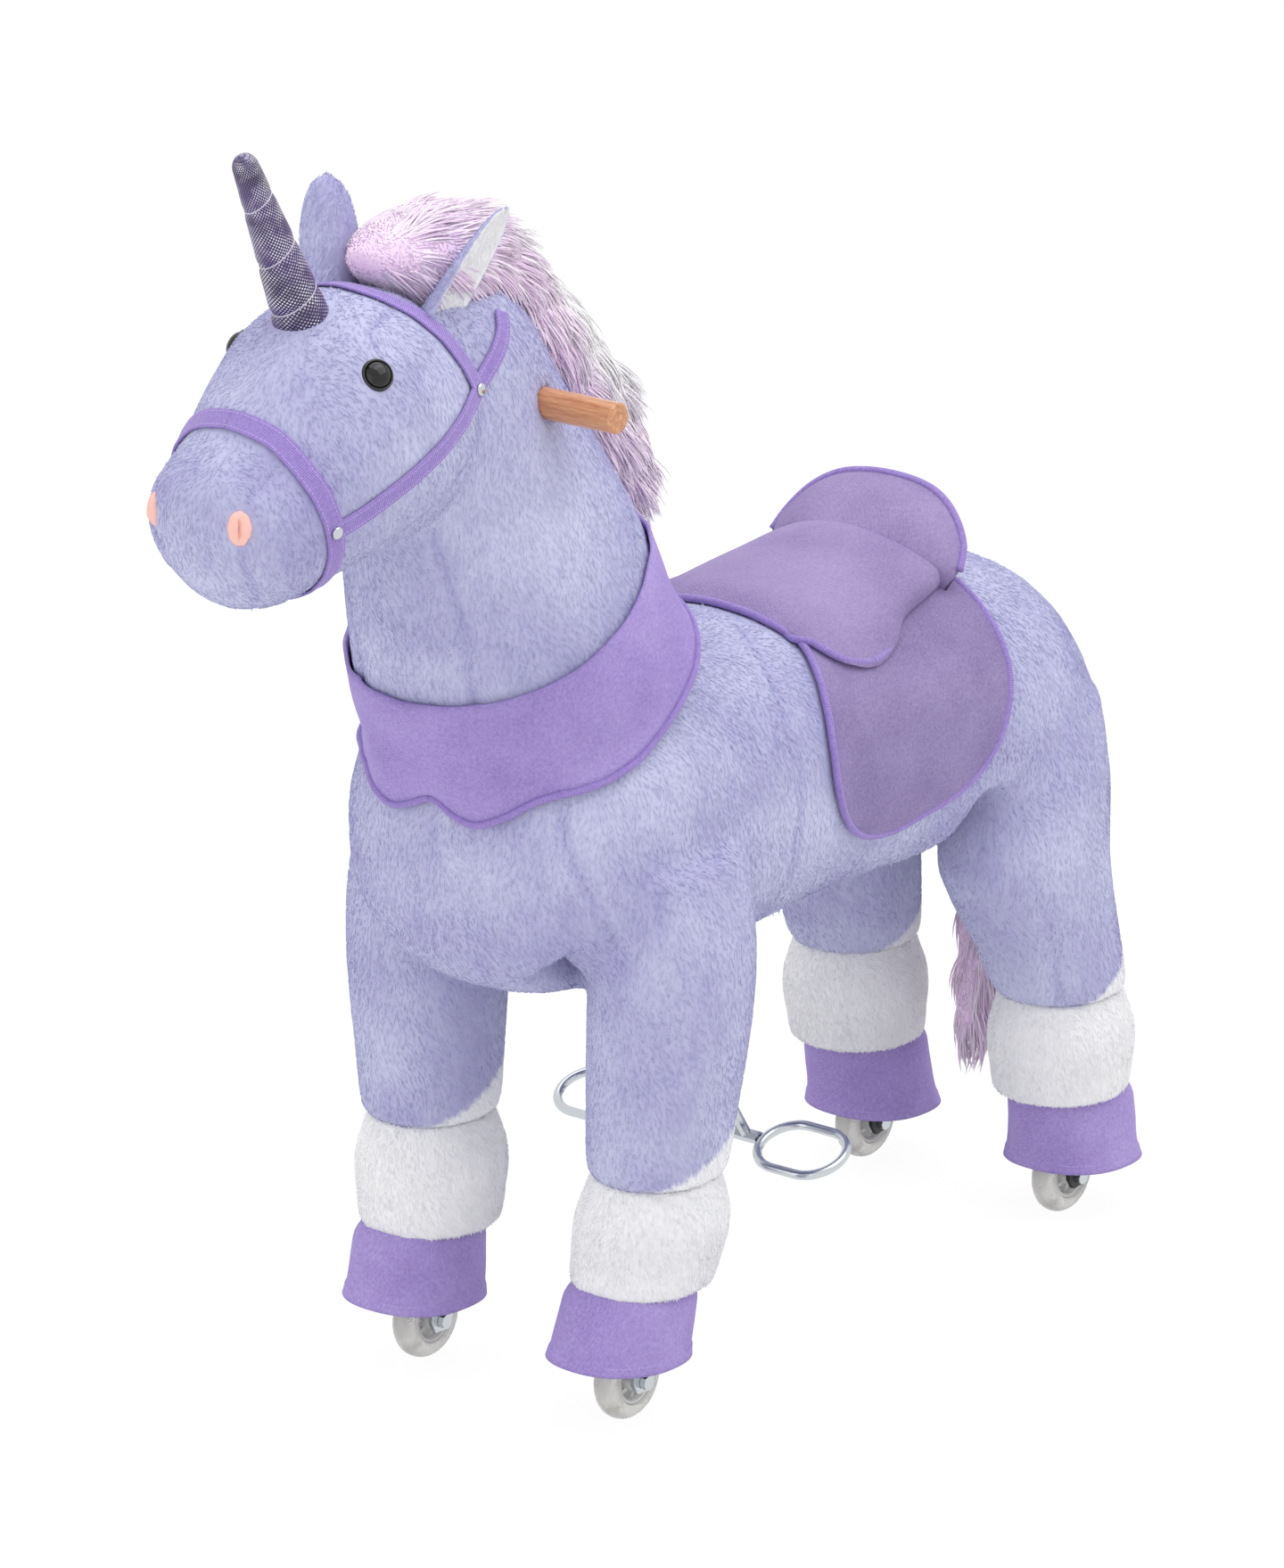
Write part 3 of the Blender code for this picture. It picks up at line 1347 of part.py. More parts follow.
def drape(form, first, last, edge_angle, inside, outside, columns, rows):
    """A closed shell over the top of a form between two stations.

    edge_angle gives how far it reaches down each side, in degrees from the top, and inside and
    outside give the two offsets from the form, at a station from 0 to 1 and a place across it
    from -1 to 1.
    """
    lower, upper = [], []
    for column in range(columns + 1):
        share = column / columns
        place = first + (last - first) * share
        low_row, high_row = [], []
        for row in range(rows + 1):
            across = 2 * row / rows - 1
            angle = 90 - across * edge_angle(share)
            low_row.append(form.point(place, angle, inside(share, across)))
            high_row.append(form.point(place, angle, outside(share, across)))
        lower.append(low_row)
        upper.append(high_row)
    width = rows + 1
    points = [point for sheet in (lower, upper) for line in sheet for point in line]
    offset = (columns + 1) * width
    faces = []
    for column in range(columns):
        for row in range(rows):
            a = column * width + row
            quad = (a, a + 1, a + width + 1, a + width)
            faces.append(quad)
            faces.append(tuple(offset + i for i in quad)[::-1])
    border = [row for row in range(width)]
    border += [column * width + rows for column in range(1, columns + 1)]
    border += [columns * width + row for row in range(rows - 1, -1, -1)]
    border += [column * width for column in range(columns - 1, 0, -1)]
    for index, a in enumerate(border):
        b = border[(index + 1) % len(border)]
        faces.append((a, b, offset + b, offset + a))
    return points, faces


def station_of(form, x):
    """A form's station at a place along X, found by halving."""
    low, high = 0.0, 1.0
    for _ in range(40):
        middle = (low + high) / 2
        if form.section(middle)[0].x < x:
            low = middle
        else:
            high = middle
    return (low + high) / 2


def side_prism(outline):
    """A solid with an outline of (x, z) points in the side view, right through the animal."""
    reach = torso_half_width + overrun
    return skin([[Vector((x, y, z)) for x, z in outline] for y in (-reach, reach)])


def build_saddle_flap(builder, torso):
    """The skirt that lies over the back and on both flanks under the seat."""
    shape = torso.mesh(torso_rings, torso_sides, seam_gap + flap_thickness)
    flap = builder.piece("saddle_flap", shape, "purple twill", "chassis")
    outline = []
    for along, up in flap_shares:
        x = flap_rear_x + along * (flap_front_x - flap_rear_x)
        outline.append((x, flap_low + up * (flap_top - flap_low)))
    builder.keep(flap, side_prism(outline))
    builder.cut(flap, torso.mesh(torso_rings, torso_sides, seam_gap))


def build_saddle_seat(builder, torso):
    """The padded seat with its side lobes and its raised back."""
    under = 2 * seam_gap + flap_thickness

    def edge_angle(share):
        front_lobe = math.exp(-(((share - 0.74) / 0.20) ** 2))
        rounded = max(1 - abs(2 * share - 1) ** 5, 0.12) ** (1 / 5)
        return seat_angle * (0.72 + 0.38 * front_lobe) * rounded

    def top(share, across):
        crown = math.sqrt(max(1 - across**2, 0))
        ends = max(1 - abs(2 * share - 1) ** 4, 0)
        back = math.exp(-(((share - cantle_x_share) / cantle_spread_share) ** 2))
        side_fall = max(1 - abs(across) ** 3, 0)
        return under + seat_rim + seat_crown * crown * ends + cantle_rise * back * side_fall

    first, last = station_of(torso, seat_rear_x), station_of(torso, seat_front_x)
    shape = drape(torso, first, last, edge_angle, lambda share, across: -overrun / 2, top, 12, 12)
    seat = builder.piece("saddle_seat", shape, "purple twill", "chassis")
    builder.cut(seat, torso.mesh(torso_rings, torso_sides, under))


def collar_space():
    """All round the column between the collar's lower and upper edges."""
    full = []
    for angle, low, high in collar_shares:
        full.append((angle, low, high))
    for angle, low, high in reversed(collar_shares[1:-1]):
        full.append((360 - angle, low, high))
    start = column_point(handle_height) - column_axis * collar_top_drop
    forward = Vector((column_axis.z, 0, -column_axis.x))
    rings = []
    for radius, edge in ((0, 1), (1, 1), (1, 2), (0, 2)):
        reach = collar_outer_radius if radius else collar_inner_radius
        ring = []
        for row in full:
            turn = math.radians(row[0])
            out = forward * math.cos(turn) + Vector((0, 1, 0)) * math.sin(turn)
            ring.append(start - column_axis * row[edge] * collar_length + out * reach)
        rings.append(ring)
    points = [point for ring in rings for point in ring]
    count = len(full)
    faces = []
    for row in range(4):
        following = (row + 1) % 4
        for i in range(count):
            j = (i + 1) % count
            faces.append(
                (row * count + i, row * count + j, following * count + j, following * count + i)
            )
    return points, faces


def build_collar(builder, neck, torso):
    """The bib that lies on the shoulders round the foot of the neck, with its waved edge."""
    shape = neck.mesh(neck_rings, head_sides, collar_ease + collar_thickness)
    collar = builder.piece("collar", shape, "purple twill", "chassis")
    builder.join(collar, torso.mesh(torso_rings, torso_sides, seam_gap + collar_thickness))
    builder.cut(collar, neck.mesh(neck_rings, head_sides, collar_ease))
    builder.cut(collar, torso.mesh(torso_rings, torso_sides, seam_gap))
    builder.keep(collar, collar_space())


def build_mane(builder, neck, head):
    rows = []
    for forward, up, size in mane_shares:
        x = neck_base_x + forward * neck_reach
        z = neck_base_height + up * neck_rise
        rows.append((x, 0, z, 0, size))
    rings = []
    count = 16
    steps = 14
    for step in range(steps + 1):
        x, _, z, _, size = blend_rows(rows, step / steps)
        ahead = blend_rows(rows, min(step / steps + 0.02, 1))
        behind = blend_rows(rows, max(step / steps - 0.02, 0))
        along = Vector((ahead[0] - behind[0], 0, ahead[2] - behind[2])).normalized()
        outward = Vector((along.z, 0, -along.x))
        ring = []
        for turn in range(count):
            angle = 2 * math.pi * turn / count
            ring.append(
                Vector((x, 0, z))
                + Vector((0, 1, 0)) * mane_half_width * size * math.cos(angle)
                + outward * mane_depth / 2 * size * math.sin(angle)
            )
        rings.append(ring)
    mane = builder.piece("mane", skin(rings), "pink long pile", "steering_head")
    builder.cut(mane, neck.mesh(neck_rings, head_sides, seam_gap))
    builder.cut(mane, head.mesh(head_rings, head_sides, seam_gap))


def build_tail(builder, torso):
    rows = []
    for forward, up, size in tail_shares:
        x = torso_rear_x + forward * tail_length
        z = torso_middle_height + up * tail_length
        rows.append((x, z, size))
    rings = []
    steps = 10
    for step in range(steps + 1):
        x, z, size = blend_rows(rows, step / steps)
        ring = []
        ahead = blend_rows(rows, min(step / steps + 0.02, 1))
        behind = blend_rows(rows, max(step / steps - 0.02, 0))
        along = Vector((ahead[0] - behind[0], 0, ahead[1] - behind[1])).normalized()
        outward = Vector((along.z, 0, -along.x))
        for turn in range(tail_sides):
            angle = 2 * math.pi * turn / tail_sides
            ring.append(
                Vector((x, 0, z))
                + Vector((0, 1, 0)) * tail_half_width * size * math.cos(angle)
                + outward * tail_half_depth * size * math.sin(angle)
            )
        rings.append(ring)
    tail = builder.piece("tail", skin(rings), "pink long pile", "chassis")
    builder.cut(tail, torso.mesh(torso_rings, torso_sides, seam_gap))


def split_cut_faces():
    """Splits the many-sided faces that the cuts leave, so that each piece reads the same anywhere."""
    for found in bpy.data.objects:
        if found.type == "MESH" and found.modifiers and not found.hide_render:
            found.modifiers.new("split", "TRIANGULATE")


def centre_origin(builder):
    """Moves the whole so that the origin is on the floor under the middle of the object."""
    bpy.context.view_layer.update()
    corners = []
    for found in bpy.data.objects:
        if found.type == "MESH" and not found.hide_render:
            place = found.matrix_world
            corners += [place @ vertex.co for vertex in found.data.vertices]
    shown = [corner.x for corner in corners]
    root, _ = builder.bodies["chassis"]
    root.location.x = -(min(shown) + max(shown)) / 2


def main():
    clear_scene()
    builder = Builder()
    torso, neck, head = torso_form(), neck_form(), head_form()
    set_up_bodies(builder)
    build_chassis(builder)
    build_torso(builder, torso)
    build_front_frame(builder)
    build_rear_frame(builder)
    build_forks(builder)
    build_tie_bar(builder)
    build_column(builder)
    build_link_rod(builder)
    build_footrests(builder)
    for end in ("front", "rear"):
        for name, side in sides.items():
            build_wheel(builder, end, name, side)
            build_leg_covers(builder, torso, end, name, side)
    build_neck_and_head(builder, neck, head)
    build_horn(builder, head)
    build_ears(builder, neck, head)
    build_eyes(builder, head)
    build_bridle(builder, head, neck)
    build_saddle_flap(builder, torso)
    build_saddle_seat(builder, torso)
    build_collar(builder, neck, torso)
    build_mane(builder, neck, head)
    build_tail(builder, torso)
    split_cut_faces()
    centre_origin(builder)


main()
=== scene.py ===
"""A plush ride-on unicorn on four skate wheels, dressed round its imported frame."""

import json  # noqa: E402
import logging  # noqa: E402
import math  # noqa: E402
from collections.abc import Callable, Iterator  # noqa: E402
from contextlib import contextmanager  # noqa: E402
from dataclasses import dataclass  # noqa: E402
from enum import Enum  # noqa: E402
from functools import partial  # noqa: E402

import bmesh  # noqa: E402
import bpy  # noqa: E402
import numpy as np  # noqa: E402
from mathutils import Matrix, Vector  # noqa: E402
from mathutils.bvhtree import BVHTree  # noqa: E402

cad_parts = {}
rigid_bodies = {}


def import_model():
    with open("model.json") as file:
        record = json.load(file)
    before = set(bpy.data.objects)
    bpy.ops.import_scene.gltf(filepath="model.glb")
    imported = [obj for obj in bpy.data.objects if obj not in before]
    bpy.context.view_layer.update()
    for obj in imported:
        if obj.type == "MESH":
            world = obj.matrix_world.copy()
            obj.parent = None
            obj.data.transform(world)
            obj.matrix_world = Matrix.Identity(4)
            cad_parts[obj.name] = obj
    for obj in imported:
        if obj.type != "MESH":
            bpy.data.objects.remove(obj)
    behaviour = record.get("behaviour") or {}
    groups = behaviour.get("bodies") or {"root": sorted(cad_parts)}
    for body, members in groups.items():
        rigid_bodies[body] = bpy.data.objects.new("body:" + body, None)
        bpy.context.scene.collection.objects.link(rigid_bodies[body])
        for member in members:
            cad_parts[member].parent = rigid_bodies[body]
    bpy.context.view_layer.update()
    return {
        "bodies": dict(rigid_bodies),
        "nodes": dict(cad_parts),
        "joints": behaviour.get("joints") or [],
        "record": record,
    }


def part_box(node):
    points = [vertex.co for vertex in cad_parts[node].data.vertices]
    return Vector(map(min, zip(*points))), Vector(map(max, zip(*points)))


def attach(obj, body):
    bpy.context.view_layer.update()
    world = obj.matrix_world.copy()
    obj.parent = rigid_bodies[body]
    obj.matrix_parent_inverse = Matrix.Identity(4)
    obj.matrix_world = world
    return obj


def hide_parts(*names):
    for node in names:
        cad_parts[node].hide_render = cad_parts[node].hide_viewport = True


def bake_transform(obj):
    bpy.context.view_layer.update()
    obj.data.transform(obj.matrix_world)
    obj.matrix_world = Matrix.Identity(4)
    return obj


LOG = logging.getLogger("ride_on")
MM = 0.001
FULL_TURN = 2 * math.pi
Point = tuple[float, float, float]

MATH, VECTOR, NOISE = "ShaderNodeMath", "ShaderNodeVectorMath", "ShaderNodeTexNoise"
ATTRIBUTE, WAVE, MIX = "ShaderNodeAttribute", "ShaderNodeTexWave", "ShaderNodeMix"
RANDOM, STORE = "FunctionNodeRandomValue", "GeometryNodeStoreNamedAttribute"
TURN_TO = "FunctionNodeAlignRotationToVector"
# a wave texture draws about this many bands to a unit
WAVE_BANDS = 3.1


class Body(str, Enum):
    """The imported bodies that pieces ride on."""

    CHASSIS = "chassis"
    FRONT_LEGS = "front_legs"
    REAR_LEGS = "rear_legs"
    STEERING_HEAD = "steering_head"


class Side(Enum):
    """Left and right of the animal, as the sign of Y."""

    LEFT = 1
    RIGHT = -1

    @property
    def label(self) -> str:
        """The side's word in node names."""
        return self.name.lower()


# Small tools


def linear(colour: str) -> tuple[float, float, float, float]:
    """Turns an sRGB hex value into a linear colour.

    Args:
        colour: Six hex digits after a hash.

    Returns:
        Red, green, blue and alpha.
    """
    parts = [int(colour[i : i + 2], 16) / 255 for i in (1, 3, 5)]
    return (*(c / 12.92 if c <= 0.04045 else ((c + 0.055) / 1.055) ** 2.4 for c in parts), 1.0)


def feed(node: bpy.types.Node, links: dict | tuple) -> None:
    """Links or sets a node's inputs.

    Args:
        node: The node.
        links: Input name or number to a socket or a value, or a tuple in the inputs' order.
    """
    for key, value in links.items() if isinstance(links, dict) else enumerate(links):
        if isinstance(value, bpy.types.NodeSocket):
            node.id_data.links.new(value, node.inputs[key])
        else:
            node.inputs[key].default_value = value


def add_node(tree: bpy.types.NodeTree, kind: str, links: dict | tuple = (), **settings) -> bpy.types.Node:
    """Adds a node to a tree.

    Args:
        tree: The shader or geometry tree.
        kind: The node's type name.
        links: Its inputs, as feed() takes them.
        **settings: Properties of the node.

    Returns:
        The new node.
    """
    node = tree.nodes.new(kind)
    for name, value in settings.items():
        setattr(node, name, value)
    feed(node, links)
    return node


def socket(
    tree: bpy.types.NodeTree, kind: str, links: dict | tuple = (), out: int | str = 0, **settings
) -> bpy.types.NodeSocket:
    """Adds a node as add_node() does, and gives one of its outputs."""
    return add_node(tree, kind, links, **settings).outputs[out]


def start_tree(name: str, inputs: dict[str, str]) -> tuple[bpy.types.NodeTree, bpy.types.NodeOutputs]:
    """Starts a geometry tree that takes and gives a mesh.

    Args:
        name: The tree's name.
        inputs: Its named inputs and their socket types.

    Returns:
        The tree and the sockets of its inputs.
    """
    tree = bpy.data.node_groups.new(name, "GeometryNodeTree")
    for way in ("OUTPUT", "INPUT"):
        tree.interface.new_socket("Geometry", in_out=way, socket_type="NodeSocketGeometry")
    for label, kind in inputs.items():
        tree.interface.new_socket(label, in_out="INPUT", socket_type=f"NodeSocket{kind}")
    return tree, add_node(tree, "NodeGroupInput").outputs


def end_tree(
    tree: bpy.types.NodeTree, geometry: bpy.types.NodeSocket, material: bpy.types.NodeSocket
) -> bpy.types.NodeTree:
    """Realizes a tree's instances, gives them their material and ends it."""
    real = socket(tree, "GeometryNodeRealizeInstances", (geometry,))
    dressed = socket(tree, "GeometryNodeSetMaterial", {"Geometry": real, "Material": material})
    add_node(tree, "NodeGroupOutput", (dressed,))
    return tree


def in_scene(name: str, data: bpy.types.ID) -> bpy.types.Object:
    """Makes an object of some data and links it to the scene."""
    obj = bpy.data.objects.new(name, data)
    bpy.context.scene.collection.objects.link(obj)
    return obj


@contextmanager
def editing(obj: bpy.types.Object) -> Iterator[bmesh.types.BMesh]:
    """Lends an object's mesh for editing, and writes it back."""
    bm = bmesh.new()
    bm.from_mesh(obj.data)
    yield bm
    bm.to_mesh(obj.data)
    bm.free()
    obj.data.update()


def facing(place: Vector, way: Vector) -> Matrix:
    """The frame at a place whose Z axis points a way."""
    return Matrix.Translation(place) @ way.to_track_quat("Z", "Y").to_matrix().to_4x4()


def other_side(rows: tuple | list) -> list[Point]:
    """A line of points on the other side of the animal."""
    return [(x, -y, z) for x, y, z in rows]


def in_metres(pairs: list[tuple[float, float]]) -> list[tuple[float, float]]:
    """A profile in millimetres turned to metres."""
    return [(a * MM, b * MM) for a, b in pairs]


def run_lengths(path: np.ndarray) -> np.ndarray:
    """How far along a path each of its points is."""
    return np.concatenate([[0], np.cumsum(np.linalg.norm(np.diff(path, axis=0), axis=1))])


def new_object(name: str, verts: list, faces: list, smooth: bool = True) -> bpy.types.Object:
    """Makes a mesh object at the origin.

    Args:
        name: The piece's name.
        verts: Its points in the row frame, in metres.
        faces: Its faces, as tuples of point numbers.
        smooth: Whether its faces are smooth shaded.

    Returns:
        The object.
    """
    mesh = bpy.data.meshes.new(name)
    mesh.from_pydata([tuple(v) for v in verts], [], [tuple(f) for f in faces])
    mesh.update()
    mesh.polygons.foreach_set("use_smooth", [smooth] * len(mesh.polygons))
    return in_scene(name, mesh)


def baked(obj: bpy.types.Object, name: str = "") -> bpy.types.Object:
    """Turns an object with modifiers into a plain mesh object.

    Args:
        obj: The object, which is removed.
        name: The new piece's name, or the old one's.

    Returns:
        The plain object.
    """
    name = name or obj.name
    graph = bpy.context.evaluated_depsgraph_get()
    mesh = bpy.data.meshes.new_from_object(obj.evaluated_get(graph), preserve_all_data_layers=True,
                                           depsgraph=graph)
    bpy.data.objects.remove(obj, do_unlink=True)
    plain = in_scene(name, mesh)
    plain.name, mesh.name = name, name
    return plain


def add_modifier(obj: bpy.types.Object, kind: str, **settings) -> bpy.types.Modifier:
    """Adds a modifier with its settings."""
    modifier = obj.modifiers.new(kind.lower(), kind)
    for name, value in settings.items():
        setattr(modifier, name, value)
    return modifier


def paint(obj: bpy.types.Object, *materials: bpy.types.Material) -> bpy.types.Object:
    """Gives an object its materials, in order."""
    obj.data.materials.clear()
    for material in materials:
        obj.data.materials.append(material)
    return obj


def coords(obj: bpy.types.Object, what: str = "co") -> np.ndarray:
    """The mesh's points, or their normals, as an array."""
    flat = np.empty(len(obj.data.vertices) * 3)
    obj.data.vertices.foreach_get(what, flat)
    return flat.reshape(-1, 3)


def set_coords(obj: bpy.types.Object, points: np.ndarray) -> None:
    """Moves the mesh's points."""
    obj.data.vertices.foreach_set("co", points.ravel())
    obj.data.update()


def set_attribute(obj: bpy.types.Object, name: str, values: np.ndarray) -> None:
    """Writes a number for each point of the mesh."""
    found = obj.data.attributes.get(name)
    layer = found or obj.data.attributes.new(name, "FLOAT", "POINT")
    layer.data.foreach_set("value", values.astype(np.float32))


def smooth_path(points: list, count: int, closed: bool = False) -> np.ndarray:
    """A Catmull-Rom curve through points, evenly spaced along its length.

    Args:
        points: The points it passes through.
        count: How many samples to return.
        closed: Whether it closes on itself.

    Returns:
        The samples, one row each.
    """
    p = np.array(points, float)
    ends = (p[-1], p[0], p[1]) if closed else (2 * p[0] - p[1], 2 * p[-1] - p[-2])
    p = np.vstack([ends[0], p, *ends[1:]])
    dense = []
    for i in range(1, len(p) - 2):
        t = np.linspace(0, 1, 24, endpoint=False)[:, None]
        a, b, c, d = p[i - 1 : i + 3]
        dense.append(
            0.5 * (2 * b + (c - a) * t + (2 * a - 5 * b + 4 * c - d) * t**2 + (3 * b - a - 3 * c + d) * t**3)
        )
    dense = np.vstack([*dense, p[-2][None]])
    run = run_lengths(dense)
    at = np.linspace(0, run[-1], count, endpoint=not closed)
    return np.stack([np.interp(at, run, dense[:, k]) for k in range(dense.shape[1])], 1)


def grid_faces(rows: int, columns: int, wrap: bool = False) -> list[tuple]:
    """Quads between rows of points.

    Args:
        rows: How many rows.
        columns: How many points in each.
        wrap: Whether each row closes on itself.

    Returns:
        The faces.
    """
    last = columns if wrap else columns - 1
    return [
        (r * columns + c, r * columns + (c + 1) % columns,
         (r + 1) * columns + (c + 1) % columns, (r + 1) * columns + c)
        for r in range(rows - 1)
        for c in range(last)
    ]


def outward(obj: bpy.types.Object, merge: float = 1e-6) -> bpy.types.Object:
    """Points a closed mesh's faces outwards, after merging points closer than a distance."""
    with editing(obj) as bm:
        if merge:
            bmesh.ops.remove_doubles(bm, verts=bm.verts, dist=merge)
        bmesh.ops.recalc_face_normals(bm, faces=bm.faces)
    return obj


def revolve(name: str, profile: list[tuple[float, float]], place: Matrix, sides: int = 40) -> bpy.types.Object:
    """Turns a profile round an axis.

    Args:
        name: The piece's name.
        profile: (radius, height) pairs, from one end to the other.
        place: Where the turned shape's Z axis and origin go.
        sides: How many sides.

    Returns:
        The object.
    """
    angles = [FULL_TURN * s / sides for s in range(sides)]
    verts = [place @ Vector((r * math.cos(a), r * math.sin(a), h)) for r, h in profile for a in angles]
    return outward(new_object(name, verts, grid_faces(len(profile), sides, wrap=True)))


def tube(name: str, path: np.ndarray, radius: float, sides: int = 12, closed: bool = False) -> bpy.types.Object:
    """Sweeps a round section along a path.

    Args:
        name: The piece's name.
        path: The centre line.
        radius: The tube's radius.
        sides: How many sides.
        closed: Whether the path closes on itself.

    Returns:
        The object.
    """
    n = len(path)
    tangents = np.roll(path, -1, 0) - np.roll(path, 1, 0) if closed else np.gradient(path, axis=0)
    tangents /= np.linalg.norm(tangents, axis=1)[:, None]
    side = np.cross(tangents[0], (0.31, 0.17, 0.93))
    verts = []
    for i in range(n):
        side = side - tangents[i] * np.dot(side, tangents[i])
        side /= np.linalg.norm(side)
        up = np.cross(tangents[i], side)
        for s in range(sides):
            a = FULL_TURN * s / sides
            verts.append(path[i] + radius * (math.cos(a) * side + math.sin(a) * up))
    faces = grid_faces(n, sides, wrap=True)
    if closed:
        last = (n - 1) * sides
        turn = min(range(sides), key=lambda k: np.linalg.norm(verts[last + k] - verts[0]))
        faces += [(last + (c + turn) % sides, last + (c + 1 + turn) % sides, (c + 1) % sides, c)
                  for c in range(sides)]
    else:
        faces += [tuple(range(sides))[::-1], tuple(range((n - 1) * sides, n * sides))]
    return outward(new_object(name, verts, faces))


class Surface:
    """A mesh to lay other pieces on."""

    def __init__(self, *objects: bpy.types.Object) -> None:
        """Reads the meshes of some objects."""
        verts, faces = [], []
        for obj in objects:
            start = len(verts)
            verts += [v.co.copy() for v in obj.data.vertices]
            faces += [[start + i for i in p.vertices] for p in obj.data.polygons]
        self.tree = BVHTree.FromPolygons(verts, faces)

    def nearest(self, point: Point) -> tuple[Vector, Vector]:
        """The closest surface point and its normal."""
        place, normal, _, _ = self.tree.find_nearest(Vector(point))
        return place, normal

    def gap(self, point: Point) -> float:
        """The distance to the surface."""
        return self.tree.find_nearest(Vector(point))[3]

    def hit(self, origin: Point, direction: Point) -> tuple[Vector, Vector] | None:
        """The first point that a ray meets, and its normal there."""
        place, normal, _, _ = self.tree.ray_cast(Vector(origin), Vector(direction).normalized())
        return None if place is None else (place, normal)


# Finishes


@dataclass(frozen=True)
class Finish:
    """What every finish has: a name and a base colour."""

    name: str
    colour: str

    def start(self, **sockets) -> tuple[bpy.types.Material, Callable, Callable]:
        """Makes an empty material with its shader.

        Args:
            **sockets: Values for the shader's own sockets, with _ for a space.

        Returns:
            The material, what adds a node to it, and what feeds its shader.
        """
        material = bpy.data.materials.new(self.name)
        material.use_nodes = True
        tree = material.node_tree
        tree.nodes.clear()
        out = add_node(tree, "ShaderNodeOutputMaterial")
        shader = add_node(tree, "ShaderNodeBsdfPrincipled")
        feed(out, (shader.outputs[0],))
        feed(shader, {"Base Color": linear(self.colour), **{k.replace("_", " "): v for k, v in sockets.items()}})
        return material, partial(socket, tree), partial(feed, shader)

    @staticmethod
    def where(add: Callable, scale: tuple = (1.0, 1.0, 1.0), turn: Point = (0.0, 0.0, 0.0),
              uv: bool = False) -> bpy.types.NodeSocket:
        """The place on the piece: its Object coordinates or its UV map, scaled and turned."""
        source = add("ShaderNodeTexCoord", out="UV" if uv else "Object")
        return add("ShaderNodeMapping", {"Vector": source, "Scale": scale, "Rotation": turn})

    @staticmethod
    def ramp(add: Callable, value: bpy.types.NodeSocket, stops: list[tuple[float, str]]) -> bpy.types.NodeSocket:
        """A colour that runs through some stops as a value rises."""
        colour = add("ShaderNodeValToRGB", (value,))
        elements = colour.node.color_ramp.elements
        while len(elements) < len(stops):
            elements.new(0.5)
        for element, (at, shade) in zip(elements, stops):
            element.position, element.color = at, linear(shade)
        return colour


@dataclass(frozen=True)
class Plush(Finish):
    """Knitted polyester plush: a dense pile, brushed into light and dark patches."""

    shade: str = "#9A95CC"
    tip: str = "#C9CAEA"
    patch_mm: float = 90.0
    lock_mm: float = 9.0
    fibre_mm: float = 1.6

    def build(self, pile: bool = False) -> bpy.types.Material:
        """Makes the backing's material, or that of the loose fibres, which have a tone."""
        material, add, shade = self.start(Roughness=0.92, Specular_IOR_Level=0.12, Sheen_Weight=0.35,
                                          Sheen_Roughness=0.45, Sheen_Tint=linear(self.tip))
        patches = add(NOISE, {"Vector": self.where(add), "Scale": 1000 / self.patch_mm, "Detail": 3.0})
        locks = add(NOISE, {"Vector": self.where(add, (1, 1, 0.35)),
                            "Scale": 1000 / self.lock_mm, "Detail": 3.0})
        broad = add(MATH, (patches, 0.78), operation="MULTIPLY")
        level = add(MATH, (locks, 0.22, broad), operation="MULTIPLY_ADD")
        if pile:
            lower = add(MATH, (level, 0.05), operation="SUBTRACT")
            tone = add(ATTRIBUTE, out="Fac", attribute_name="tone")
            level = add(MATH, (tone, 0.12, lower), operation="MULTIPLY_ADD")
        colour = self.ramp(add, level, [(0.28, self.shade), (0.50, self.colour), (0.70, self.tip)])
        white = add(ATTRIBUTE, out="Fac", attribute_name="white")
        colour = add(MIX, {0: white, 6: colour, 7: linear("#F1F1F3")}, out=2, data_type="RGBA")
        # painted shade: the colour darkens towards the shade colour along the pressed seam grooves
        seam = add(ATTRIBUTE, out="Fac", attribute_name="seam")
        seam = add(MATH, (seam, 0.6), operation="MULTIPLY")
        shade({"Base Color": add(MIX, {0: seam, 6: colour, 7: linear(self.shade)}, out=2, data_type="RGBA")})
        if not pile:
            fibres = add(NOISE, {"Vector": self.where(add, (1, 1, 0.25)), "Scale": 1000 / self.fibre_mm})
            height = add(MATH, (locks, 1.6, fibres), operation="MULTIPLY_ADD")
            shade({"Normal": add("ShaderNodeBump", {"Height": height, "Distance": 0.8 * MM, "Strength": 0.5})})
        return material


@dataclass(frozen=True)
class LongPile(Finish):
    """Long faux fur of the mane and tail, pink at the roots and white at the tips."""

    tip: str = "#FFFFFF"
    deep: str = "#E7C6EB"

    def build(self) -> bpy.types.Material:
        """Makes the material; it reads tone, along and white from the strands."""
        material, add, shade = self.start(Roughness=0.8, Specular_IOR_Level=0.1, Sheen_Weight=0.8,
                                          Sheen_Roughness=0.5)
        tone, along, white = (add(ATTRIBUTE, out="Fac", attribute_name=n) for n in ("tone", "along", "white"))
        pink = self.ramp(add, tone, [(0.0, self.deep), (0.45, self.colour), (1.0, "#FFF2FF")])
        pale = self.ramp(add, tone, [(0.0, "#F0EBF1"), (1.0, self.tip)])
        fade = add(MATH, (add(MATH, (along, 2.0), operation="POWER"), 0.3), operation="MULTIPLY")
        share = add(MATH, (add(MATH, (fade, white), operation="ADD"), 1.0), operation="MINIMUM")
        shade({"Base Color": add(MIX, {0: share, 6: pink, 7: pale}, out=2, data_type="RGBA")})
        return material


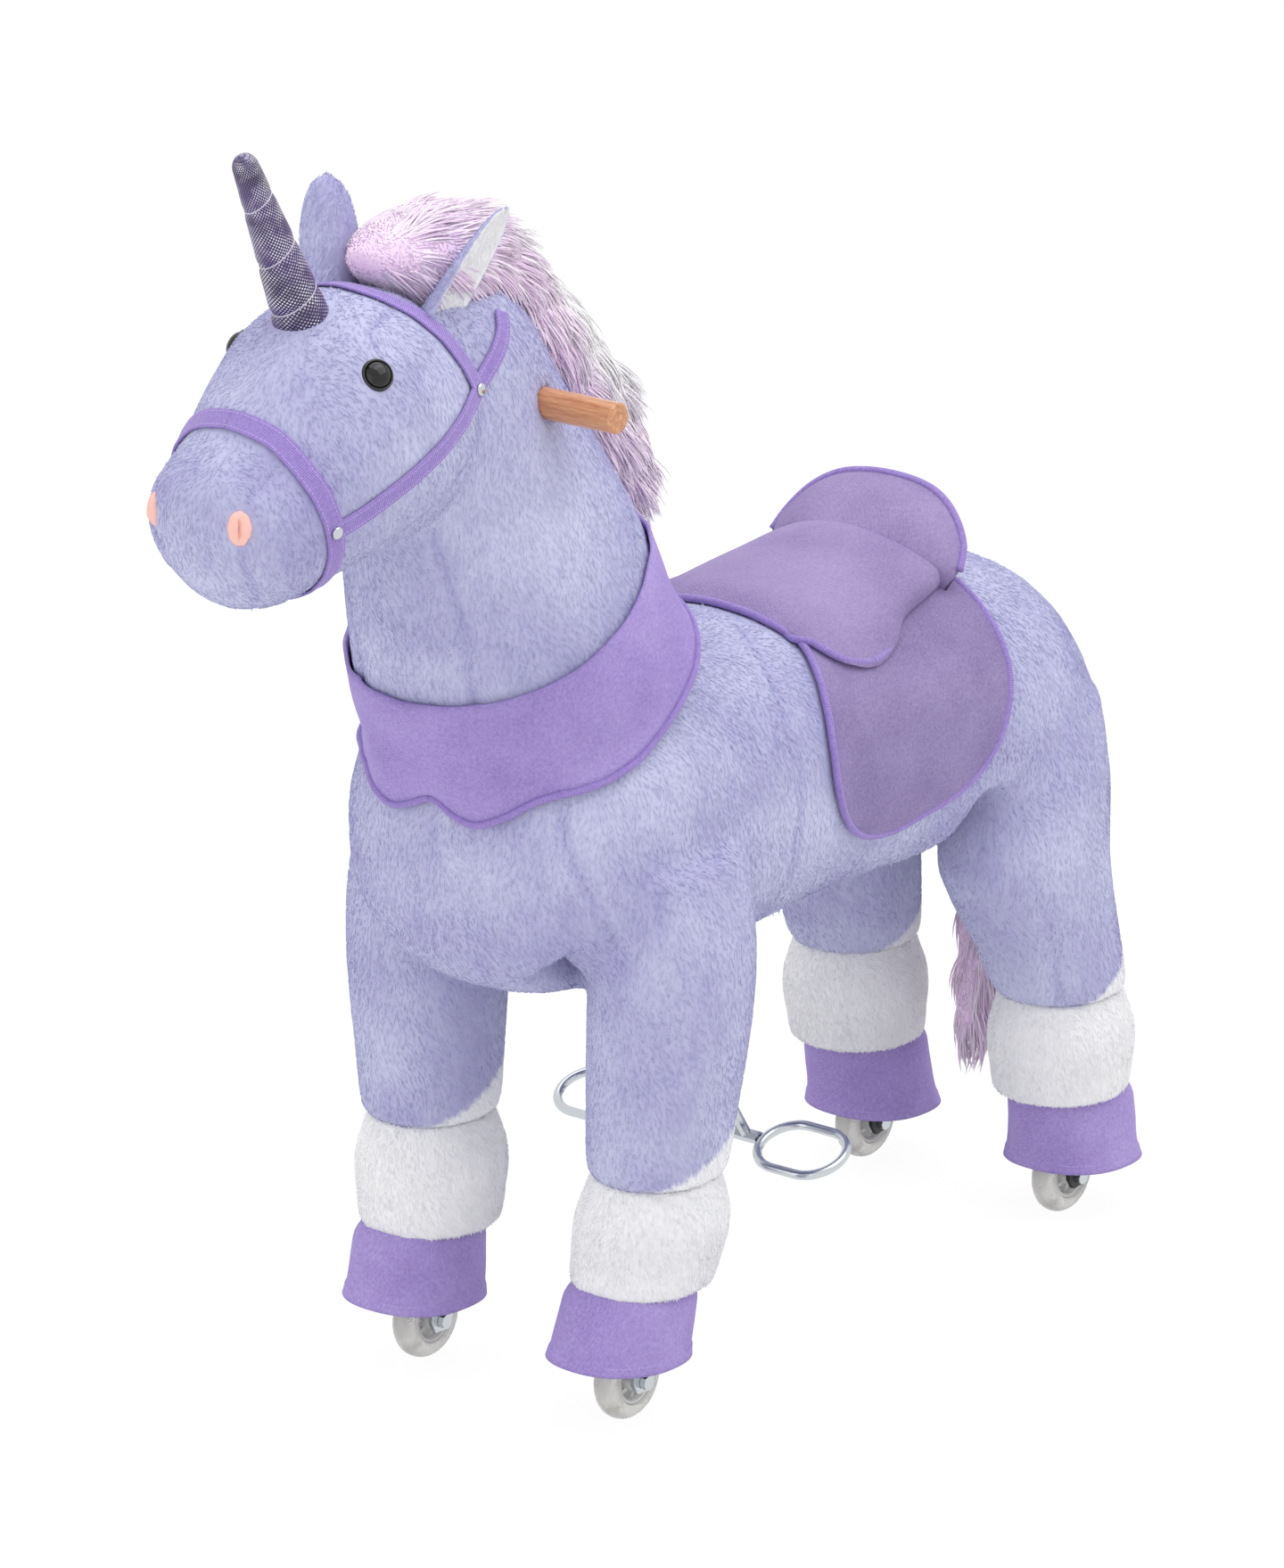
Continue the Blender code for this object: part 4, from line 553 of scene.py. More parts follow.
@dataclass(frozen=True)
class Twill(Finish):
    """Brushed cotton-look twill, with a fine diagonal rib and soft worn patches."""

    light: str = "#B7A7DA"
    dark: str = "#8B78B4"
    # the real rib is about 1 mm; drawn a little coarser so that it shows
    rib_mm: float = 1.9

    def build(self) -> bpy.types.Material:
        """Makes the material."""
        material, add, shade = self.start(Roughness=0.86, Specular_IOR_Level=0.2, Sheen_Weight=0.3,
                                          Sheen_Roughness=0.4, Sheen_Tint=linear(self.light))
        ribs = add(WAVE, {"Vector": self.where(add, turn=(0.5, 0.35, 0.6)), "Detail": 1.0, "Detail Scale": 2.0,
                          "Scale": 1 / (self.rib_mm * MM) / WAVE_BANDS, "Distortion": 0.6}, out=1)
        wear = add(NOISE, {"Vector": self.where(add), "Scale": 14.0, "Detail": 4.0})
        slub = add(NOISE, {"Vector": self.where(add), "Scale": 420.0})
        level = add(MATH, (slub, 0.45), operation="MULTIPLY")
        level = add(MATH, (ribs, 0.05, level), operation="MULTIPLY_ADD")
        level = add(MATH, (wear, 0.5, level), operation="MULTIPLY_ADD")
        height = add(MATH, (ribs, 0.25, slub), operation="MULTIPLY_ADD")
        shade({"Base Color": self.ramp(add, level, [(0.30, self.dark), (0.50, self.colour), (0.72, self.light)]),
               "Normal": add("ShaderNodeBump", {"Height": height, "Distance": 0.5 * MM, "Strength": 0.5})})
        return material


@dataclass(frozen=True)
class Webbing(Finish):
    """Woven polyester tape of the straps and bindings, ribbed across its width."""

    light: str = "#B19BDA"
    dark: str = "#7F69AE"
    rib_mm: float = 1.6

    def build(self) -> bpy.types.Material:
        """Makes the material on the tape's UV map, whose V runs along it in metres."""
        material, add, shade = self.start(Roughness=0.8, Specular_IOR_Level=0.25, Sheen_Weight=0.25,
                                          Sheen_Roughness=0.4)
        ribs = add(WAVE, {"Vector": self.where(add, uv=True), "Scale": 1 / (self.rib_mm * MM) / WAVE_BANDS,
                          "Distortion": 0.4}, out=1, bands_direction="Y")
        slub = add(NOISE, {"Vector": self.where(add), "Scale": 380.0})
        level = add(MATH, (slub, 0.5), operation="MULTIPLY")
        level = add(MATH, (ribs, 0.45, level), operation="MULTIPLY_ADD")
        height = add(MATH, (ribs, slub), operation="ADD")
        shade({"Base Color": self.ramp(add, level, [(0.2, self.dark), (0.5, self.colour), (0.8, self.light)]),
               "Normal": add("ShaderNodeBump", {"Height": height, "Distance": 0.35 * MM, "Strength": 0.6})})
        return material


@dataclass(frozen=True)
class FoilCloth(Finish):
    """Knit with hologram foil dots, each a small mirror, on a dark purple ground."""

    dot: str = "#E9E6F2"
    pitch_mm: float = 2.3

    def build(self) -> bpy.types.Material:
        """Makes the material on the horn's UV map, in metres."""
        material, add, shade = self.start(Roughness=0.38, Specular_IOR_Level=0.6)
        cloth = self.where(add, (1000 / self.pitch_mm,) * 3, (0, 0, math.pi / 4), uv=True)
        cells = add("ShaderNodeTexVoronoi", {"Vector": cloth, "Scale": 1.0, "Randomness": 0.0}, out="Distance",
                    voronoi_dimensions="2D")
        dots = add(MATH, (cells, 0.30), operation="LESS_THAN")
        glints = add(NOISE, {"Vector": self.where(add), "Scale": 60.0, "Detail": 3.0})
        lit = self.ramp(add, glints, [(0.38, "#7D7295"), (0.50, "#C4BED6"), (0.58, self.dot)])
        blotches = add(NOISE, {"Vector": self.where(add), "Scale": 35.0})
        ground = self.ramp(add, blotches, [(0.35, "#24183A"), (0.6, self.colour)])
        shade({"Base Color": add(MIX, {0: dots, 6: ground, 7: lit}, out=2, data_type="RGBA"),
               "Metallic": add(MATH, (dots, 0.85), operation="MULTIPLY"),
               "Normal": add("ShaderNodeBump", {"Height": dots, "Distance": 0.25 * MM, "Strength": 0.5})})
        return material


@dataclass(frozen=True)
class VarnishedBeech(Finish):
    """Turned beech under clear varnish, its grain running along the bar."""

    dark: str = "#A8683E"

    def build(self) -> bpy.types.Material:
        """Makes the material; the grain runs along Y."""
        material, add, shade = self.start(Roughness=0.33, Coat_Weight=0.55, Coat_Roughness=0.16)
        rings = add(NOISE, {"Vector": self.where(add, (1.0, 0.05, 1.0)), "Scale": 320.0, "Detail": 3.0})
        flecks = add(NOISE, {"Vector": self.where(add, (1.0, 0.12, 1.0)), "Scale": 900.0})
        level = add(MATH, (rings, 0.65), operation="MULTIPLY")
        level = add(MATH, (flecks, 0.35, level), operation="MULTIPLY_ADD")
        shade({"Base Color": self.ramp(add, level, [(0.32, self.dark), (0.52, self.colour), (0.7, "#DDA777")]),
               "Normal": add("ShaderNodeBump", {"Height": flecks, "Distance": 0.08 * MM, "Strength": 0.35})})
        return material


@dataclass(frozen=True)
class Grained(Finish):
    """A hard finish whose fine noise varies its roughness and its height."""

    roughness: float
    scale: float
    detail: float
    spread: float
    low: float
    depth: float
    strength: float
    sockets: tuple = ()

    def build(self) -> bpy.types.Material:
        """Makes the material."""
        material, add, shade = self.start(Roughness=self.roughness, **dict(self.sockets))
        grain = add(NOISE, {"Vector": self.where(add), "Scale": self.scale, "Detail": self.detail})
        shade({"Roughness": add(MATH, (grain, self.spread, self.low), operation="MULTIPLY_ADD"),
               "Normal": add("ShaderNodeBump",
                             {"Height": grain, "Distance": self.depth, "Strength": self.strength})})
        return material


def metal(name: str, colour: str, rough: float, metallic: float = 1.0, marks: float = 0.12) -> bpy.types.Material:
    """Bright zinc or painted steel, with faint marks from plating and handling."""
    return Grained(name, colour, rough, 240.0, 4.0, marks, rough - marks / 2, 0.05 * MM, 0.25,
                   (("Metallic", metallic),)).build()


def clear_urethane(name: str, colour: str) -> bpy.types.Material:
    """Cast polyurethane of the tyres: clear, a little milky, scuffed on the tread."""
    return Grained(name, colour, 0.22, 130.0, 3.0, 0.3, 0.08, 0.1 * MM, 0.2,
                   (("IOR", 1.45), ("Transmission_Weight", 0.55), ("Specular_IOR_Level", 0.5))).build()


def moulded(
    name: str, colour: str, rough: float = 0.4, grain_mm: float = 1.2, depth_mm: float = 0.05, coat: float = 0.0
) -> bpy.types.Material:
    """Moulded or coated plastic, rubber, thread, felt or wood board, with a fine surface grain."""
    spread = 0.2 * rough
    return Grained(name, colour, rough, 1000 / grain_mm, 3.0, spread, rough - spread / 2, depth_mm * MM, 0.4,
                   (("Coat_Weight", coat), ("Coat_Roughness", 0.05))).build()


class Wardrobe:
    """Every material of the part, made once."""

    def __init__(self) -> None:
        """Builds the materials."""
        lilac = Plush("lilac_plush_cloth", "#BABADA", "#A6A2CE", "#C9CBE5")
        white = Plush("white_plush_cloth", "#F1F1F3", "#E8E8EC", "#F8F8F9")
        self.lilac, self.lilac_pile = lilac.build(), lilac.build(pile=True)
        self.white, self.white_pile = white.build(), white.build(pile=True)
        self.pink_fur = LongPile("pink_fur", "#F2D8F4").build()
        self.twill = Twill("purple_twill_cloth", "#A18ECB").build()
        # painted shade: the flap's twill is the seat's greyer twill made a little darker, for the shade on the
        # side-facing flap
        self.saddle_twill = Twill("saddle_twill_cloth", "#8E80AC", "#A194BE", "#7A6C98").build()
        self.seat_twill = Twill("seat_twill_cloth", "#9585B1", "#A697C0", "#82729F").build()
        self.webbing = Webbing("purple_tape", "#9A85C9").build()
        self.zinc = metal("bright_zinc", "#C9CED2", 0.18)
        self.thread = moulded("sewing_thread", "#B9A6DF", 0.7, 0.4, 0.1)
        self.felt = moulded("pink_felt", "#F7C3B7", 0.95, 0.7, 0.4)
        self.eye = moulded("safety_eye", "#080606", 0.06, 3.0, 0.01)
        self.eye_ring = moulded("eye_washer", "#0D0A09", 0.35, 2.0, 0.02, 0.3)
        self.silver_thread = moulded("silver_thread", "#CFC8DC", 0.4, 0.4, 0.1)
        self.foil = FoilCloth("foil_dot_knit", "#3F2C62").build()
        self.beech = VarnishedBeech("beech_bar", "#C98C5F").build()
        self.by_slot = {
            "lilac_plush": self.lilac,
            "white_plush": self.white,
            "purple_twill": self.twill,
            "purple_webbing": self.webbing,
            "pink_long_pile": self.pink_fur,
            "foil_cloth": self.foil,
            "eye_black": self.eye,
            "varnished_beech": self.beech,
            "zinc_plate": self.zinc,
            "black_paint": metal("black_paint_coat", "#1B1B1D", 0.42, 0.0, 0.15),
            "clear_polyurethane": clear_urethane("cast_urethane", "#F4F3EF"),
            "white_nylon": moulded("white_nylon_core", "#E4E4E2", 0.38, 2.0, 0.04),
            "black_rubber": moulded("black_rubber_bush", "#161616", 0.75, 0.8, 0.1),
            "plywood": moulded("birch_board", "#B98F60", 0.6, 2.5, 0.2),
        }


# Plush skins


@dataclass
class PlushSkin:
    """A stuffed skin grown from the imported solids, with its seams and its pile."""

    name: str
    nodes: tuple[str, ...]
    voxel: float = 5.0 * MM
    swell: float = 2.0 * MM
    rounds: int = 12
    fillers: tuple[tuple[Point, Point, float], ...] = ()

    def grow(self, frame: dict) -> bpy.types.Object:
        """Joins the solids, fills what they hold and rounds them off.


        Returns:
            The closed skin.
        """
        bm = bmesh.new()
        for node in self.nodes:
            part = bmesh.new()
            part.from_mesh(frame["nodes"][node].data)
            bmesh.ops.remove_doubles(part, verts=part.verts, dist=1e-5)
            part.normal_update()
            for v in part.verts:
                v.co += v.normal * self.swell
            mesh = bpy.data.meshes.new("part")
            part.to_mesh(mesh)
            part.free()
            bm.from_mesh(mesh)
            bpy.data.meshes.remove(mesh)
        for low, high, radius in self.fillers:
            a, b = Vector(low), Vector(high)
            bmesh.ops.create_cone(bm, cap_ends=True, segments=20, radius1=radius, radius2=radius,
                                  depth=(b - a).length, matrix=facing((a + b) / 2, b - a))
        mesh = bpy.data.meshes.new(self.name)
        bm.to_mesh(mesh)
        bm.free()
        obj = in_scene(self.name, mesh)
        add_modifier(obj, "REMESH", mode="VOXEL", voxel_size=self.voxel, use_smooth_shade=True)
        obj = baked(obj)
        self.keep_outer(obj)
        add_modifier(obj, "SMOOTH", factor=0.5, iterations=self.rounds)
        return baked(obj)

    @staticmethod
    def keep_outer(obj: bpy.types.Object) -> None:
        """Removes every loose shell but the one with the most faces."""
        bm = bmesh.new()
        bm.from_mesh(obj.data)
        seen, shells = set(), []
        for start in bm.verts:
            if start.index in seen:
                continue
            seen.add(start.index)
            shell, stack = [], [start]
            while stack:
                v = stack.pop()
                shell.append(v)
                for edge in v.link_edges:
                    other = edge.other_vert(v)
                    if other.index not in seen:
                        seen.add(other.index)
                        stack.append(other)
            shells.append(shell)
        shells.sort(key=len)
        for shell in shells[:-1]:
            bmesh.ops.delete(bm, geom=shell, context="VERTS")
        bm.to_mesh(obj.data)
        bm.free()
        obj.data.update()


def press_seams(obj: bpy.types.Object, seams: list[np.ndarray], depth: float, half_width: float) -> None:
    """Pulls a skin in along its seams, and marks them for the material, which paints shade into the grooves.

    Args:
        obj: The skin.
        seams: The lines, as points near the skin.
        depth: How deep the groove is.
        half_width: How far it reaches to each side.
    """
    points, out = coords(obj), coords(obj, "normal")
    seam_pull_and_shade = np.zeros(len(points))
    for seam in seams:
        for start in range(0, len(points), 4000):
            block = points[start : start + 4000]
            gap = np.linalg.norm(block[:, None] - seam[None], axis=2).min(1)
            seam_pull_and_shade[start : start + 4000] = np.maximum(
                seam_pull_and_shade[start : start + 4000], np.exp(-((gap / half_width) ** 2))
            )
    set_coords(obj, points - out * (seam_pull_and_shade * depth)[:, None])
    # the seam attribute is painted shade: the plush colour darkens along the grooves
    set_attribute(obj, "seam", seam_pull_and_shade)


def scatter(
    tree: bpy.types.NodeTree, points: bpy.types.NodeSocket,
    fibre: bpy.types.NodeSocket, turn: bpy.types.NodeSocket,
    sizes: tuple[float, float], tone_seed: int, material: bpy.types.NodeSocket,
) -> bpy.types.NodeTree:
    """Puts a fibre on every point, with a size and a tone of its own, and ends the tree.

    Args:
        tree: The geometry tree.
        points: Where the fibres stand.
        fibre: The one fibre's mesh.
        turn: How each is turned.
        sizes: The least and the greatest scale.
        tone_seed: The seed of the tones.
        material: The fibres' material.

    Returns:
        The tree.
    """
    add = partial(socket, tree)
    size = add(RANDOM, {2: sizes[0], 3: sizes[1], "Seed": 3}, out=1, data_type="FLOAT")
    placed = add("GeometryNodeInstanceOnPoints",
                 {"Points": points, "Instance": fibre, "Rotation": turn, "Scale": size})
    tone = add(RANDOM, {2: 0.0, 3: 1.0, "Seed": tone_seed}, out=1, data_type="FLOAT")
    placed = add(STORE, {"Geometry": placed, "Name": "tone", "Value": tone}, data_type="FLOAT", domain="INSTANCE")
    return end_tree(tree, placed, material)


@dataclass
class Pile:
    """The loose fibres of a plush skin, made by Geometry Nodes."""

    length: float = 4.2 * MM
    radius: float = 0.62 * MM
    density: float = 112000.0
    lean: float = 0.9
    nap: Point = (-0.35, 0.0, -1.0)
    seed: int = 7

    def tree(self) -> bpy.types.NodeTree:
        """Builds the tree, with named inputs for its sizes."""
        tree, src = start_tree("plush_pile", {
            "Fibre Length": "Float", "Fibre Radius": "Float", "Fibres per Square Metre": "Float", "Lean": "Float",
            "Nap Direction": "Vector", "Seed": "Int", "Fibre Material": "Material"})
        add = partial(socket, tree)
        cover = add("GeometryNodeInputNamedAttribute", {"Name": "cover"}, data_type="FLOAT")
        density = add(MATH, (src["Fibres per Square Metre"], cover), operation="MULTIPLY")
        spread = add_node(tree, "GeometryNodeDistributePointsOnFaces",
                          {"Mesh": src["Geometry"], "Density": density, "Seed": src["Seed"]}).outputs
        where = add("GeometryNodeInputPosition")
        swirl = add(NOISE, {"Vector": where, "Scale": 22.0, "Detail": 2.0}, out="Color")
        swirl = add(VECTOR, (swirl, (0.5, 0.5, 0.5)), operation="SUBTRACT")
        swirl = add(VECTOR, {0: swirl, "Scale": 2.2}, operation="SCALE")
        jitter = add(RANDOM, {0: (-0.35, -0.35, -0.35), 1: (0.35, 0.35, 0.35), "Seed": src["Seed"]},
                     data_type="FLOAT_VECTOR")
        nap = add(VECTOR, (src["Nap Direction"], swirl), operation="ADD")
        nap = add(VECTOR, (nap, jitter), operation="ADD")
        nap = add(VECTOR, (nap,), operation="NORMALIZE")
        # the nap is laid flat on the skin, and its fibres rise from it by what they don't lean
        dot = add(VECTOR, (nap, spread["Normal"]), out="Value", operation="DOT_PRODUCT")
        off = add(VECTOR, {0: spread["Normal"], "Scale": dot}, operation="SCALE")
        flat = add(VECTOR, (nap, off), operation="SUBTRACT")
        flat = add(VECTOR, {0: flat, "Scale": src["Lean"]}, operation="SCALE")
        rise = add(MATH, (1.0, src["Lean"]), operation="SUBTRACT")
        up = add(VECTOR, {0: spread["Normal"], "Scale": rise}, operation="SCALE")
        turn = add(TURN_TO, {"Vector": add(VECTOR, (flat, up), operation="ADD")}, axis="Z")
        sizes = {"Radius Top": 0.0, "Radius Bottom": src["Fibre Radius"], "Depth": src["Fibre Length"]}
        fibre = add("GeometryNodeMeshCone", {"Vertices": 3, "Side Segments": 1, **sizes}, out="Mesh",
                    fill_type="NONE")
        height = add("ShaderNodeSeparateXYZ", (where,), out="Z")
        along = add(MATH, (height, src["Fibre Length"]), operation="DIVIDE")
        fibre = add(STORE, {"Geometry": fibre, "Name": "along", "Value": along}, data_type="FLOAT")
        return scatter(tree, spread["Points"], fibre, turn, (0.65, 1.25), 11, src["Fibre Material"])

    def grow(self, skin: bpy.types.Object, name: str, material: bpy.types.Material) -> bpy.types.Object:
        """Grows the fibres of a skin as a piece of their own.

        Args:
            skin: The skin, with a cover value from 0 to 1 at each point.
            name: The new piece's name.
            material: The fibres' material.

        Returns:
            The fibres.
        """
        if skin.data.attributes.get("cover") is None:
            set_attribute(skin, "cover", np.ones(len(skin.data.vertices)))
        holder = in_scene(name + "_holder", skin.data.copy())
        return run_tree(holder, bpy.data.node_groups.get("plush_pile") or self.tree(), name, {
            "Fibre Length": self.length, "Fibre Radius": self.radius, "Fibres per Square Metre": self.density,
            "Lean": self.lean, "Nap Direction": self.nap, "Seed": self.seed, "Fibre Material": material})


def run_tree(obj: bpy.types.Object, tree: bpy.types.NodeTree, name: str, inputs: dict) -> bpy.types.Object:
    """Runs a geometry tree on an object and keeps its result as a plain mesh.

    Args:
        obj: The object it starts from, which is removed.
        tree: The geometry tree.
        name: The new piece's name.
        inputs: The tree's input names and their values.

    Returns:
        The plain object.
    """
    modifier = obj.modifiers.new("tree", "NODES")
    modifier.node_group = tree
    for item in tree.interface.items_tree:
        if item.item_type == "SOCKET" and item.in_out == "INPUT" and item.name in inputs:
            modifier[item.identifier] = inputs[item.name]
    return baked(obj, name)


# Cloth pieces


def laid_sheet(
    name: str, grid: np.ndarray, thickness: float, material: bpy.types.Material, wrap: bool = False
) -> bpy.types.Object:
    """A sheet with a wall, from rows of points that lie on its underside.

    Args:
        name: The piece's name.
        grid: Rows, columns and coordinates.
        thickness: The wall's thickness, raised from the underside.
        material: The sheet's material.
        wrap: Whether each row closes on itself.

    Returns:
        The sheet.
    """
    rows, columns = grid.shape[:2]
    obj = new_object(name, grid.reshape(-1, 3), grid_faces(rows, columns, wrap))
    add_modifier(obj, "SOLIDIFY", thickness=thickness, offset=1.0)
    obj = outward(baked(obj))
    return paint(obj, material)


def binding(
    name: str, path: np.ndarray, radius: float, material: bpy.types.Material, closed: bool = True
) -> bpy.types.Object:
    """A corded edge along a path, with a UV map whose V runs along it.

    Args:
        name: The piece's name.
        path: The edge's centre line.
        radius: The cord's radius.
        material: Its material.
        closed: Whether the edge closes on itself.

    Returns:
        The binding.
    """
    obj = tube(name, path, radius, 10, closed)
    run_uv(obj, path)
    return paint(obj, material)


def run_uv(obj: bpy.types.Object, path: np.ndarray) -> None:
    """Gives a piece a UV map in metres: V along a path and U off it."""
    run = run_lengths(path)
    points = coords(obj)
    near = np.concatenate([np.linalg.norm(points[i : i + 2000, None] - path[None], axis=2).argmin(1)
                           for i in range(0, len(points), 2000)])
    layer = obj.data.uv_layers.new(name="run")
    for loop in obj.data.loops:
        v = loop.vertex_index
        off = points[v] - path[near[v]]
        layer.data[loop.index].uv = (off[2], run[near[v]])


def stitch_row(
    name: str, path: np.ndarray, out: np.ndarray, material: bpy.types.Material,
    pitch: float = 3.6 * MM, radius: float = 0.42 * MM,
) -> bpy.types.Object:
    """A line of sewn stitches, made by Geometry Nodes.

    Args:
        name: The piece's name.
        path: The seam's line on the cloth.
        out: The cloth's normal at each of its points.
        material: The thread's material.
        pitch: The stitch length.
        radius: The thread's radius.

    Returns:
        The stitches.
    """
    tree = bpy.data.node_groups.get("stitch_row") or stitch_tree()
    mesh = bpy.data.meshes.new(name + "_line")
    mesh.from_pydata([tuple(p) for p in path], [(i, i + 1) for i in range(len(path) - 1)], [])
    obj = in_scene(name + "_line", mesh)
    layer = mesh.attributes.new("out", "FLOAT_VECTOR", "POINT")
    layer.data.foreach_set("vector", np.asarray(out, np.float32).ravel())
    return run_tree(
        obj, tree, name, {"Stitch Pitch": pitch, "Thread Radius": radius, "Thread Material": material}
    )


def stitch_tree() -> bpy.types.NodeTree:
    """The tree of a row of stitches along a line."""
    tree, src = start_tree("stitch_row", {
        "Stitch Pitch": "Float", "Thread Radius": "Float", "Thread Material": "Material"})
    add = partial(socket, tree)
    line = add("GeometryNodeMeshToCurve", (src["Geometry"],))
    spots = add("GeometryNodeResampleCurve", {"Curve": line, "Length": src["Stitch Pitch"]}, mode="LENGTH")
    turn = add(TURN_TO, {"Vector": add("GeometryNodeInputTangent")}, axis="Z")
    long = add(MATH, (src["Stitch Pitch"], 0.7), operation="MULTIPLY")
    thread = add("GeometryNodeMeshCylinder", {"Vertices": 6, "Side Segments": 2, "Radius": src["Thread Radius"],
                                              "Depth": long}, out="Mesh")
    placed = add("GeometryNodeInstanceOnPoints", {"Points": spots, "Instance": thread, "Rotation": turn})
    return end_tree(tree, placed, src["Thread Material"])


@dataclass
class TorsoAndLegs:
    """The plush barrel and legs: one skin in front and one behind, parted across X."""

    split_x: float = -0.1416
    bend_start: Point = (0.0, 0.0, 0.4042)
    bend_end: Point = (0.055, 0.0, 0.3089)
    front_fillers: tuple = (
        ((-0.44, 0, 0.475), (0.15, 0, 0.475), 0.078),
        ((0.10, 0, 0.48), (0.10, 0, 0.604), 0.085),
        ((0.125, -0.135, 0.47), (0.125, 0.135, 0.47), 0.062),
        ((-0.405, -0.12, 0.47), (-0.405, 0.12, 0.47), 0.055),
        ((0.140, 0.118, 0.2073), (0.122, 0.118, 0.47), 0.044),
        ((0.140, -0.118, 0.2073), (0.122, -0.118, 0.47), 0.044),
        ((-0.436, 0.108, 0.2073), (-0.405, 0.100, 0.47), 0.044),
        ((-0.436, -0.108, 0.2073), (-0.405, -0.100, 0.47), 0.044),
    )
    # seams on the left side, mirrored to the right, in millimetres
    seams: tuple = (
        ((-75, 44, 603), (-51, 83, 588), (-34, 114, 564), (-28, 131, 534), (-31, 138, 505), (-31, 140, 479),
         (-29, 140, 445), (-26, 134, 410), (-22, 118, 380)),
        ((228, 100, 560), (228, 104, 533), (227, 110, 500), (219, 120, 474), (206, 127, 442),
         (190, 128, 418)),
        ((262, 0, 560), (263, 0, 520), (258, 0, 480), (240, 0, 420), (205, 0, 370)),
        ((-305, 150, 440), (-317, 152, 405), (-328, 156, 365), (-345, 156, 318), (-365, 152, 271),
         (-385, 145, 215)),
        ((215, 150, 400), (205, 165, 350), (200, 172, 300), (196, 172, 250), (192, 168, 210)),
    )

    def build(self, frame: dict) -> tuple[bpy.types.Object, bpy.types.Object]:
        """Grows the skin and parts it in two.


        Returns:
            The front skin and the rear one.
        """
        legs = [f"leg_plush_{end}_{side.label}" for end in ("front", "rear") for side in Side]
        whole = PlushSkin(
            "torso_skin", ("torso_plush", *legs), voxel=6.0 * MM, swell=2.5 * MM, rounds=14,
            fillers=self.front_fillers,
        ).grow(frame)
        lines = []
        for seam in self.seams:
            path = smooth_path(seam, 60) * MM
            lines += [path, path * (1, -1, 1)]
        press_seams(whole, lines, 3.0 * MM, 5.0 * MM)
        halves = []
        for name, keep_front in (("torso_skin_front", True), ("torso_skin_rear", False)):
            half = in_scene(name, whole.data.copy())
            with editing(half) as bm:
                cut = bmesh.ops.bisect_plane(
                    bm, geom=bm.verts[:] + bm.edges[:] + bm.faces[:], plane_co=(self.split_x, 0, 0),
                    plane_no=(1, 0, 0), clear_inner=keep_front, clear_outer=not keep_front)
                rim = [g for g in cut["geom_cut"] if isinstance(g, bmesh.types.BMEdge)]
                bmesh.ops.holes_fill(bm, edges=rim)
            halves.append(half)
        bpy.data.objects.remove(whole, do_unlink=True)
        return halves[0], halves[1]

    def bend(self, obj: bpy.types.Object, front: bool) -> None:
        """Bakes a piece's transform into its mesh, at the front and at the rear alike."""
        if front:
            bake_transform(obj)
            return
        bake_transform(obj)


